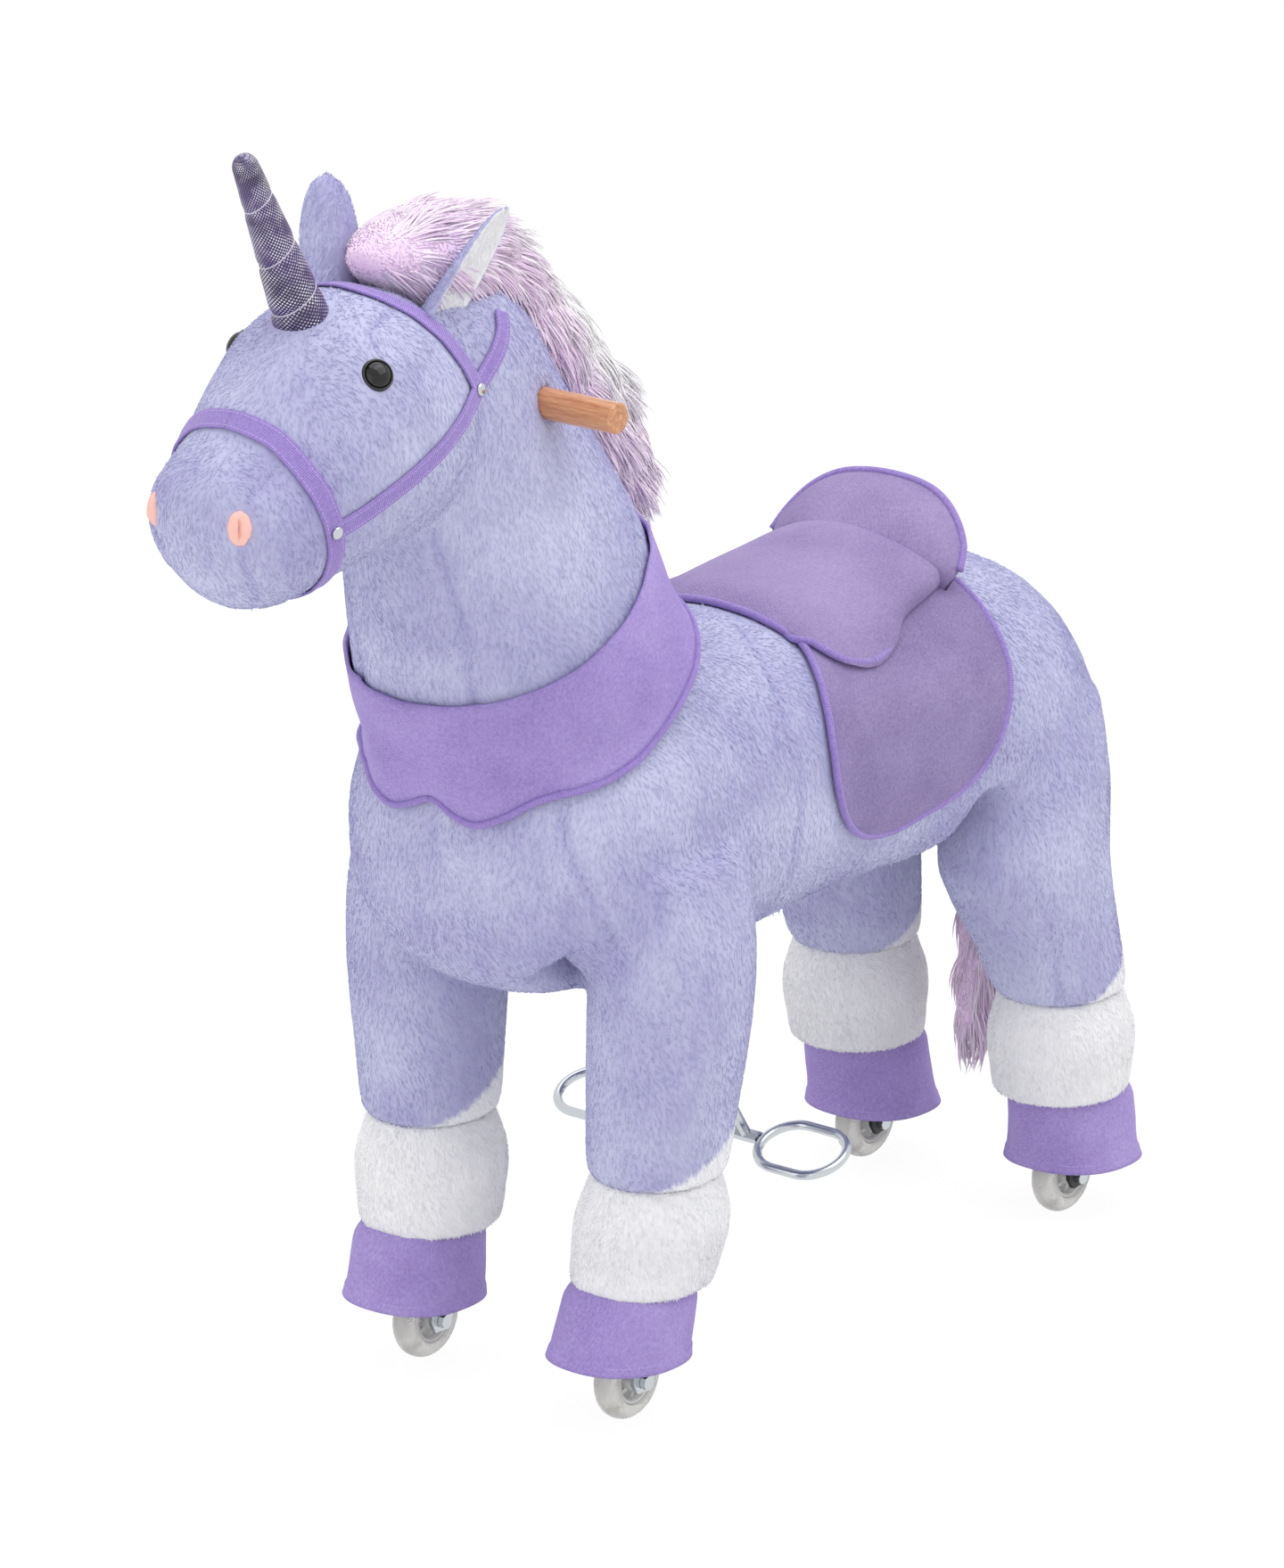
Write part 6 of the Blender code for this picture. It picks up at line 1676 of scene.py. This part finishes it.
@dataclass
class LongFur:
    """The mane or the tail: a soft core under long strands made by Geometry Nodes."""

    name: str
    node: str
    body: Body
    strand_length: float = 40.0 * MM
    strand_radius: float = 1.15 * MM
    density: float = 126000.0
    seed: int = 5
    layers: int = 2

    def tree(self) -> bpy.types.NodeTree:
        """Builds the strands' tree, with named inputs for their sizes."""
        tree, src = start_tree("long_fur", {
            "Strand Length": "Float", "Strand Radius": "Float", "Strands per Square Metre": "Float",
            "Seed": "Int",
            "Strand Material": "Material"})
        add = partial(socket, tree)
        spread = add_node(
            tree, "GeometryNodeDistributePointsOnFaces",
            {"Mesh": src["Geometry"], "Density": src["Strands per Square Metre"], "Seed": src["Seed"]}).outputs
        way = add("GeometryNodeInputNamedAttribute", {"Name": "flow"}, data_type="FLOAT_VECTOR")
        locks = add(NOISE, {"Vector": add("GeometryNodeInputPosition"), "Scale": 38.0, "Detail": 1.0},
                    out="Color")
        locks = add(VECTOR, (locks, (0.5, 0.5, 0.5)), operation="SUBTRACT")
        locks = add(VECTOR, {0: locks, "Scale": 1.5}, operation="SCALE")
        jitter = add(RANDOM, {0: (-0.12, -0.12, -0.12), 1: (0.12, 0.12, 0.12), "Seed": src["Seed"]},
                     data_type="FLOAT_VECTOR")
        for push in (add(VECTOR, {0: spread["Normal"], "Scale": 0.2}, operation="SCALE"), locks, jitter):
            way = add(VECTOR, (way, push), operation="ADD")
        turn = add(TURN_TO, {"Vector": way}, axis="Z")
        inward = add(VECTOR, {0: spread["Normal"], "Scale": -1.0}, operation="SCALE")
        droop = add(VECTOR, (inward, (0.0, 0.0, -0.9)), operation="ADD")
        turn = add(TURN_TO, {"Rotation": turn, "Vector": droop}, axis="X", pivot_axis="Z")
        bends = []
        for aside, ahead in ((0.02, 0.55), (0.26, 0.93)):
            x, z = (add(MATH, (src["Strand Length"], share), operation="MULTIPLY") for share in (aside, ahead))
            bends.append(add("ShaderNodeCombineXYZ", {"X": x, "Z": z}))
        line = add("GeometryNodeCurveQuadraticBezier",
                   {"Resolution": 4, "Start": (0, 0, 0), "Middle": bends[0], "End": bends[1]})
        factor = add("GeometryNodeSplineParameter")
        line = add(STORE, {"Geometry": line, "Name": "along", "Value": factor}, data_type="FLOAT")
        # the strand thins from its root to a point
        thin = add(MATH, (1.0, factor), operation="SUBTRACT")
        thin = add(MATH, (thin, 0.55), operation="POWER")
        thin = add(MATH, (thin, src["Strand Radius"]), operation="MULTIPLY")
        thin = add(MATH, (thin, 0.08 * MM), operation="ADD")
        section = add("GeometryNodeCurvePrimitiveCircle", {"Resolution": 3, "Radius": 1.0})
        strand = add("GeometryNodeCurveToMesh", {"Curve": line, "Profile Curve": section, "Scale": thin})
        return scatter(tree, spread["Points"], strand, turn, (0.6, 1.15), 12, src["Strand Material"])

    def flow(self, points: np.ndarray) -> np.ndarray:
        """The way the strands run at each point of the core."""
        if self.body is Body.CHASSIS:
            wave = np.sin(points[:, 2] * 26.0)
            return np.stack([-0.12 + 0.10 * wave, points[:, 1] * 2.0, -np.ones(len(points))], 1)
        top = np.clip((points[:, 2] - 0.93) / 0.09, 0, 1)
        back = np.stack([-np.ones(len(points)), np.sign(points[:, 1]) * 0.10, 0.12 * np.ones(len(points))], 1)
        down = np.stack([-0.55 * np.ones(len(points)), np.sign(points[:, 1]) * 0.12,
                         -0.75 * np.ones(len(points))], 1)
        way = back * top[:, None] + down * (1 - top)[:, None]
        return way / np.linalg.norm(way, axis=1)[:, None]

    def build(self, frame: dict, finishes: Wardrobe, near: Surface | None) -> list[bpy.types.Object]:
        """Makes the core and its strands.

        Args:
            finishes: The materials.
            near: The neck, from which the mane's white share is measured.

        Returns:
            The two pieces.
        """
        core = PlushSkin(f"{self.name}_core", (self.node,), voxel=4.0 * MM, swell=-1.0 * MM,
                         rounds=14).grow(frame)
        points = coords(core)
        if near is not None:
            # the forelock spreads between the ears
            front = np.clip((points[:, 0] - 0.17) / 0.09, 0, 1)
            points[:, 1] *= 1 + 0.75 * front
            points[:, 2] -= 11 * MM * front
            set_coords(core, points)
        if near is None:
            white = np.clip((points[:, 0] + 0.505) / -0.03, 0, 1) * 0.7
        else:
            gap = np.array([near.gap(p) for p in points])
            white = np.clip((gap / MM - 26) / 24, 0, 1)
            white *= (np.clip((points[:, 2] - 0.80) / 0.05, 0.25, 1)
                      * np.clip((0.235 - points[:, 0]) / 0.04, 0.08, 1))
        set_attribute(core, "white", white)
        for obj_name in ("tone", "along"):
            set_attribute(core, obj_name, np.full(len(points), 0.25))
        layer = core.data.attributes.new("flow", "FLOAT_VECTOR", "POINT")
        layer.data.foreach_set("vector", self.flow(points).astype(np.float32).ravel())
        paint(core, finishes.pink_fur)
        made = [core]
        for layer_number in range(self.layers):
            holder = in_scene("fur_holder", core.data.copy())
            strands = run_tree(
                holder, bpy.data.node_groups.get("long_fur") or self.tree(),
                f"{self.name}_strands_{layer_number}",
                {
                    "Strand Length": self.strand_length, "Strand Radius": self.strand_radius,
                    "Strands per Square Metre": self.density, "Seed": self.seed + 10 * layer_number,
                    "Strand Material": finishes.pink_fur,
                },
            )
            strands.data.polygons.foreach_set("use_smooth", [True] * len(strands.data.polygons))
            made.append(strands)
        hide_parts(self.node)
        for obj in made:
            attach(obj, self.body.value)
        return made


@dataclass
class LowerLegs:
    """The white cuffs, the twill hoof covers and their stitching."""

    wheel_x: tuple = (0.1493712, -0.4466288)
    pivot_x: tuple = (0.1213712, -0.4046288)
    wheel_y: float = 0.106
    half_width: float = 60 * MM
    half_depth: float = 66 * MM
    # share of the height, forward, outward, half width and half depth
    covers: tuple = (((1.0, 0.06, 0.08, 0.84, 0.80), (0.0, 0.22, 0.02, 0.90, 0.87)),
                     ((1.0, -0.18, 0.07, 0.84, 0.80), (0.0, -0.22, 0.03, 0.88, 0.82)))
    top: float = 122 * MM
    bottom: float = 50 * MM

    def axis_x(self, end: int, height: float) -> float:
        """The leg axis's place along X at a height."""
        share = (height - 0.035) / (0.470 - 0.035)
        return self.wheel_x[end] + (self.pivot_x[end] - self.wheel_x[end]) * share

    def section(self, end: int, side: Side, share: float, angle: float, grow: float = 0.0) -> Vector:
        """A point on a hoof cover's outside."""
        upper, lower = self.covers[end]
        mix = [b + (a - b) * share for a, b in zip(upper, lower)]
        height = 0.050 + 0.067 * share
        squareness = 0.86
        c, s = math.cos(angle), math.sin(angle)
        c, s = math.copysign(abs(c) ** squareness, c), math.copysign(abs(s) ** squareness, s)
        flare = 1 + 0.045 * max(0.0, 1 - share * 3) ** 2
        x = self.axis_x(end, height) + mix[1] * self.half_depth + c * (mix[4] * self.half_depth * flare + grow)
        y = self.wheel_y + mix[2] * self.half_width + s * (mix[3] * self.half_width * flare + grow)
        dip = 2.5 * MM * math.cos(angle - 0.4) * (1 - share)
        return Vector((x, side.value * y, height + dip))

    def cover(self, end: int, side: Side, finishes: Wardrobe) -> list[bpy.types.Object]:
        """One hoof cover: a flared tube of twill with a turned hem and its stitching."""
        word = ("front", "rear")[end]
        sides, levels = 64, 20
        rows = []
        for level in range(levels + 1):
            start = (0.12, -0.04)[end]
            share = start + (1.04 - start) * level / levels
            tuck = 9 * MM * max(0.0, (share - 0.80) / 0.24) ** 2.2
            ring = []
            for s in range(sides):
                a = FULL_TURN * s / sides
                ripple = 0.7 * MM * math.sin(5 * a + 3 * share + end) * (1 - min(1, abs(share - 0.5) * 2))
                hem = 0.8 * MM if share < start + 0.11 else 0.0
                ring.append(np.array(self.section(end, side, share, a, ripple + hem - 2.4 * MM - tuck)))
            rows.append(np.array(ring))
        cloth = laid_sheet(f"hoof_cover_cloth_{word}_{side.label}", np.array(rows), 2.4 * MM * side.value,
                           finishes.twill, wrap=True)
        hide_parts(f"hoof_cover_{word}_{side.label}")
        line, out = [], []
        for s in range(121):
            a = FULL_TURN * s / 120
            p = self.section(end, side, (0.24, 0.08)[end], a, 0.25 * MM)
            q = self.section(end, side, (0.24, 0.08)[end], a, 3 * MM)
            line.append(np.array(p))
            out.append(np.array((q - p).normalized()))
        stitches = stitch_row(f"hoof_stitches_{word}_{side.label}", np.array(line), np.array(out),
                              finishes.thread)
        return [cloth, stitches]

    def build(self, frame: dict, finishes: Wardrobe) -> list[bpy.types.Object]:
        """Makes the lower legs' pieces."""
        made = []
        for end, body in enumerate((Body.FRONT_LEGS, Body.REAR_LEGS)):
            word = ("front", "rear")[end]
            low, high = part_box(f"cuff_{word}_left")
            middle = (low + high) / 2
            filler = ((middle.x, middle.y, low.z), (middle.x, middle.y, high.z), 44 * MM)
            cuff = PlushSkin(
                f"cuff_skin_{word}_left", (f"cuff_{word}_left",), voxel=4.5 * MM, swell=1.8 * MM, rounds=10,
                fillers=(filler,),
            ).grow(frame)
            self.taper(cuff, middle)
            swirl = Pile(length=4.0 * MM, radius=0.62 * MM, density=190000.0, lean=0.84, seed=41 + end)
            for side in Side:
                obj = cuff if side is Side.LEFT else self.mirrored(cuff, f"cuff_skin_{word}_right")
                paint(obj, finishes.white)
                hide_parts(f"cuff_{word}_{side.label}")
                pile = swirl.grow(obj, f"cuff_pile_{word}_{side.label}", finishes.white_pile)
                for item in (obj, pile):
                    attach(item, body.value)
                    made.append(item)
                for item in self.cover(end, side, finishes):
                    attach(item, body.value)
                    made.append(item)
        return made

    @staticmethod
    def taper(cuff: bpy.types.Object, middle: Vector) -> None:
        """Narrows a cuff towards the leg above it and widens it over the hoof cover."""
        points = coords(cuff)
        top = np.clip((points[:, 2] - 0.172) / 0.036, 0, 1)
        low = np.clip((0.140 - points[:, 2]) / 0.022, 0, 1)
        factor = (1 - 0.085 * top * top * (3 - 2 * top) + 0.035 * low)[:, None]
        centre = np.array((middle.x, middle.y))
        points[:, :2] = centre + (points[:, :2] - centre) * factor
        set_coords(cuff, points)

    @staticmethod
    def mirrored(obj: bpy.types.Object, name: str) -> bpy.types.Object:
        """A copy of a piece on the other side of the animal."""
        copy = in_scene(name, obj.data.copy())
        set_coords(copy, coords(copy) * (1, -1, 1))
        copy.data.flip_normals()
        return copy


@dataclass
class Handle:
    """The varnished beech bar through the neck."""

    centre: Point = (0.21237, 0.0, 0.858)
    radius: float = 12.5 * MM
    half: float = 150 * MM

    def build(self, finishes: Wardrobe) -> bpy.types.Object:
        """Turns the bar with rounded ends."""
        turn = Matrix.Translation(Vector(self.centre)) @ Matrix.Rotation(math.pi / 2, 4, "X")
        bevel = [(self.radius - 2.2 * MM * (1 - math.sin(a)), self.half - 2.2 * MM * (1 - math.cos(a)))
                 for a in np.linspace(0, math.pi / 2, 6)]
        profile = [(0.1 * MM, -self.half), *[(r, -h) for r, h in bevel], *bevel[::-1], (0.1 * MM, self.half)]
        obj = paint(revolve("handle_bar_turned", profile, turn, 56), finishes.beech)
        add_modifier(obj, "WEIGHTED_NORMAL", keep_sharp=True)
        obj = baked(obj)
        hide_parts("handle_bar")
        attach(obj, Body.STEERING_HEAD.value)
        return obj


@dataclass
class Footrests:
    """The zinc foot rings, each bent from rod."""

    x: float = -0.0806288
    height: float = 162 * MM
    rod: float = 4 * MM
    inner_y: float = 62 * MM
    outer_y: float = 150 * MM
    width: float = 64 * MM
    tilt: float = 22.0

    def build(self, finishes: Wardrobe) -> list[bpy.types.Object]:
        """Bends the rings."""
        half = self.width / 2 - self.rod
        near, far = self.inner_y + self.rod + half, self.outer_y - self.rod - half
        tilt = math.radians(self.tilt)
        forward = np.array((math.cos(tilt), 0, -math.sin(tilt)))
        made = []
        for side in Side:
            path = []
            for middle, start in ((far, 0.0), (near, math.pi)):
                for step in range(25):
                    a = start + math.pi * step / 24
                    p = np.array((self.x, middle, self.height)) + forward * half * math.cos(a)
                    p[1] += half * math.sin(a)
                    path.append(p * (1, side.value, 1))
            ring = tube(f"foot_ring_{side.label}", np.array(path), self.rod, 16, closed=True)
            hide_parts(f"footrest_ring_{side.label}")
            made.append(paint(ring, finishes.zinc))
        for obj in made:
            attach(obj, Body.FRONT_LEGS.value)
        return made


@dataclass
class Wheels:
    """Clear tyres on spoked nylon cores with their bearings."""

    radius: float = 35 * MM
    half: float = 12 * MM

    def build(self, finishes: Wardrobe) -> list[bpy.types.Object]:
        """Makes the four wheels."""
        made = []
        for end, x in (("front", 0.1493712), ("rear", -0.4466288)):
            for side in Side:
                centre = Vector((x, side.value * 0.106, self.radius))
                made += self.wheel(f"{end}_{side.label}", centre, finishes)
        return made

    def wheel(self, label: str, centre: Vector, finishes: Wardrobe) -> list[bpy.types.Object]:
        """One wheel."""
        turn = Matrix.Translation(centre) @ Matrix.Rotation(math.pi / 2, 4, "X")
        arc = [(21.6 + 13.4 * math.sin(a) ** 0.8, -12.0 * math.cos(a))
               for a in np.linspace(0.12, math.pi - 0.12, 26)]
        profile = [(21.55, -11.2), *arc, (21.55, 11.2), (21.55, -11.2)]
        tyre = revolve(f"tyre_cast_{label}", in_metres(profile), turn, 64)
        paint(tyre, finishes.by_slot["clear_polyurethane"])
        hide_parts(f"tyre_{label}")
        rim = [(18.2, -9.6), (21.4, -9.9), (21.5, 0.0), (21.4, 9.9), (18.2, 9.6), (17.6, 4.2), (17.6, -4.2),
               (18.2, -9.6)]
        hub = [(4.3, -11.9), (8.6, -11.9), (9.6, -10.8), (10.2, -5.0), (10.6, 0.0), (10.2, 5.0),
               (9.6, 10.8), (8.6, 11.9),
               (4.3, 11.9), (4.3, -11.9)]
        core = revolve(f"core_moulding_{label}", in_metres(rim), turn, 64)
        parts = [core, revolve("hub", in_metres(hub), turn, 40)]
        for k in range(6):
            spoke = []
            for t in np.linspace(0, 1, 9):
                reach, bend = 9.6 + 8.9 * t, math.radians(60 * k + 26 * t)
                wide = 1.7 + 0.9 * abs(2 * t - 1)
                across = Vector((-math.sin(bend), math.cos(bend), 0))
                middle = Vector((math.cos(bend), math.sin(bend), 0)) * reach
                tall = 3.6
                spoke.append([turn @ ((middle + across * (wide * u) + Vector((0, 0, tall * w))) * MM)
                              for u, w in ((-1, -1), (1, -1), (1, 1), (-1, 1))])
            flat = [p for ring in spoke for p in ring]
            faces = grid_faces(9, 4, wrap=True) + [(3, 2, 1, 0), (32, 33, 34, 35)]
            parts.append(outward(new_object("spoke", flat, faces, smooth=False)))
        bm = bmesh.new()
        for part in parts:
            bm.from_mesh(part.data)
        for part in parts[1:]:
            bpy.data.objects.remove(part, do_unlink=True)
        bm.to_mesh(core.data)
        bm.free()
        paint(core, finishes.by_slot["white_nylon"])
        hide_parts(f"core_{label}")
        shield = [(4.6, -1.2), (7.6, -1.2), (7.9, -0.4), (7.9, 0.4), (7.6, 1.0), (4.6, 0.6), (4.6, -1.2)]
        rings = []
        for sign in (-1, 1):
            seat = turn @ Matrix.Translation((0, 0, sign * 11.6 * MM))
            if sign < 0:
                seat = seat @ Matrix.Rotation(math.pi, 4, "X")
            word = "outer" if sign > 0 else "inner"
            rings.append(revolve(f"bearing_{label}_{word}", in_metres(shield), seat, 36))
            paint(rings[-1], finishes.zinc)
        for obj in (tyre, core, *rings):
            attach(obj, f"wheel_{label}")
        return [tyre, core, *rings]


@dataclass
class RideOn:
    """The whole part, piece by piece."""

    frame: dict
    finishes: Wardrobe

    @staticmethod
    def white_map(skin: bpy.types.Object, end_x: float, base: float, slope: float) -> None:
        """Marks the white foot of the legs, whose edge runs up towards the back."""
        points = coords(skin)
        edge = base + slope * np.maximum(0.0, end_x - points[:, 0])
        set_attribute(skin, "white", np.clip((edge - points[:, 2]) / (3 * MM), 0, 1))

    def cover_map(self, skin: bpy.types.Object, covers: list[bpy.types.Object], reach: float) -> None:
        """Marks where the pile grows: nowhere under a cloth or a strap."""
        tree = Surface(*covers)
        points, out = coords(skin), coords(skin, "normal")
        cover = np.ones(len(points))
        for i, (p, n) in enumerate(zip(points, out)):
            if tree.gap(p) < reach:
                found = tree.hit(p - n * (4 * MM), n)
                near = tree.gap(p) < reach * 0.45
                if near or (found and (found[0] - Vector(p)).length < reach * 1.6):
                    cover[i] = 0.0
        set_attribute(skin, "cover", cover)

    def build(self) -> None:
        """Builds every piece in order and logs the sizes of some."""
        frame, finishes = self.frame, self.finishes
        for node in frame["nodes"].values():
            for slot in node.material_slots:
                key = slot.material.name.split(".")[0].replace(" ", "_") if slot.material else ""
                if key in finishes.by_slot:
                    slot.material = finishes.by_slot[key]
        torso = TorsoAndLegs()
        front, rear = torso.build(frame)
        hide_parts("torso_plush", "leg_plush_front_left", "leg_plush_front_right")
        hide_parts("leg_plush_rear_left", "leg_plush_rear_right")
        LOG.info("torso skins: %d and %d faces", len(front.data.polygons), len(rear.data.polygons))
        head = HeadAndNeck().build(frame)
        LOG.info("head and neck skin: %d faces", len(head.data.polygons))
        body_skin, head_skin = Surface(front, rear), Surface(head)
        saddle = Saddle().build(body_skin, finishes)
        collar = Collar().build(Over(body_skin, head_skin), finishes)
        bridle = Bridle().build(head_skin, finishes)
        face = Face().build(head_skin, finishes)
        horn = Horn().build(finishes)
        LOG.info("dress: %d pieces", len(saddle) + len(collar) + len(bridle) + len(face) + len(horn))
        tapes = [o for o in bridle if "tape" in o.name and "stitches" not in o.name]
        self.cover_map(head, [*tapes, *[o for o in face if "nostril" in o.name or "eye" in o.name],
                              horn[0]], 6 * MM)
        for skin in (front, rear):
            self.cover_map(skin, [saddle[0], saddle[2], collar[0]], 9 * MM)
        self.white_map(front, 0.175, 0.208, 0.50)
        self.white_map(rear, -0.405, 0.208, 0.60)
        for skin, name, seed in ((front, "torso_pile_front", 7), (rear, "torso_pile_rear", 8),
                                 (head, "head_neck_pile", 9)):
            paint(skin, finishes.lilac)
            pile = Pile(seed=seed).grow(skin, name, finishes.lilac_pile)
            for obj in (skin, pile):
                if skin is head:
                    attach(obj, Body.STEERING_HEAD.value)
                else:
                    torso.bend(obj, front=skin is front)
            LOG.info("%s: %d faces", name, len(pile.data.polygons))
        LongFur("mane", "mane", Body.STEERING_HEAD, density=94000.0).build(frame, finishes, head_skin)
        LongFur("tail", "tail", Body.CHASSIS, strand_length=42 * MM, seed=6,
                layers=1).build(frame, finishes, None)
        LowerLegs().build(frame, finishes)
        Handle().build(finishes)
        Footrests().build(finishes)
        Wheels().build(finishes)


@dataclass
class Studio:
    """The camera of the photograph, soft light and a white floor."""

    azimuth: float = 38.7
    elevation: float = 18.2
    distance: float = 7.125
    metres_per_pixel: float = 0.75e-3
    centre_pixels: tuple = (-121.5, 556.7)
    origin: Point = (-0.1486288, 0.0, 0.0)
    lens: float = 237.5

    def build(self) -> None:
        """Makes the camera, the lamps, the world and the floor."""
        a, e = math.radians(self.azimuth), math.radians(self.elevation)
        back = Vector((math.cos(e) * math.cos(a), math.cos(e) * math.sin(a), math.sin(e)))
        right = Vector((-math.sin(a), math.cos(a), 0))
        up = back.cross(right)
        aim = (Vector(self.origin)
               + (right * self.centre_pixels[0] + up * self.centre_pixels[1]) * self.metres_per_pixel)
        camera = in_scene("camera", bpy.data.cameras.new("camera"))
        camera.data.sensor_fit, camera.data.sensor_width, camera.data.lens = "HORIZONTAL", 36, self.lens
        camera.data.clip_end = 60
        look = Matrix((right, up, back)).transposed().to_4x4()
        camera.matrix_world = Matrix.Translation(aim + back * self.distance) @ look
        bpy.context.scene.camera = camera
        self.lamp("key", aim + back * 1.4 + right * 1.2 + up * 2.0, aim, 2.2, 19)
        self.lamp("fill", aim + back * 1.9 + right * -1.6 + up * -0.2, aim, 2.4, 8)
        self.lamp("top", aim + Vector((0, 0, 2.4)), aim, 2.4, 17)
        self.world(0.86)
        self.floor()
        scene = bpy.context.scene
        scene.view_settings.view_transform = "Standard"

    def lamp(self, name: str, place: Vector, aim: Vector, size: float, power: float) -> None:
        """A square soft lamp that looks at the aim."""
        data = bpy.data.lights.new(name, "AREA")
        data.size, data.energy = size, power
        lamp = in_scene(name, data)
        lamp.location = place
        lamp.rotation_euler = (place - aim).to_track_quat("Z", "Y").to_euler()

    @staticmethod
    def sight(tree: bpy.types.NodeTree) -> bpy.types.NodeSocket:
        """Is 1 for what the camera sees, itself, in gloss or through glass."""
        rays = add_node(tree, "ShaderNodeLightPath").outputs
        seen = socket(tree, MATH, (rays["Is Camera Ray"], rays["Is Glossy Ray"]), operation="MAXIMUM")
        return socket(tree, MATH, (seen, rays["Is Transmission Ray"]), operation="MAXIMUM")

    def world(self, strength: float) -> None:
        """White to the camera, to gloss and through glass, and a soft light to the rest."""
        world = bpy.data.worlds.new("studio")
        bpy.context.scene.world = world
        world.use_nodes = True
        tree = world.node_tree
        tree.nodes.clear()
        power = add_node(tree, "ShaderNodeMapRange", {"Value": self.sight(tree), "To Min": strength,
                                                  "To Max": 1.0})
        light = add_node(tree, "ShaderNodeBackground", {"Color": (1, 1, 1, 1), "Strength": power.outputs[0]})
        out = add_node(tree, "ShaderNodeOutputWorld")
        tree.links.new(light.outputs[0], out.inputs[0])

    def floor(self) -> None:
        """A white floor that keeps a pale shadow."""
        floor = new_object("floor", [(-9, -9, 0), (9, -9, 0), (9, 9, 0), (-9, 9, 0)],
                           [(0, 1, 2, 3)], smooth=False)
        material = bpy.data.materials.new("white_floor")
        material.use_nodes = True
        tree = material.node_tree
        tree.nodes.clear()
        matt = add_node(tree, "ShaderNodeBsdfDiffuse", {"Color": (0.9, 0.9, 0.9, 1)})
        glow = add_node(tree, "ShaderNodeEmission", {"Color": (1, 1, 1, 1), "Strength": 1.06})
        share = add_node(tree, MATH, (self.sight(tree), 0.88), operation="MULTIPLY")
        mix = add_node(tree, "ShaderNodeMixShader", {0: share.outputs[0], 1: matt.outputs[0], 2: glow.outputs[0]})
        out = add_node(tree, "ShaderNodeOutputMaterial")
        tree.links.new(mix.outputs[0], out.inputs[0])
        paint(floor, material)


def main() -> None:
    """Builds the part's pieces in order, then the light and the camera."""
    logging.basicConfig(level=logging.INFO, format="%(message)s")
    for obj in list(bpy.data.objects):
        bpy.data.objects.remove(obj, do_unlink=True)
    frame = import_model()
    finishes = Wardrobe()
    RideOn(frame, finishes).build()
    Studio().build()


if __name__ == "__main__":
    main()
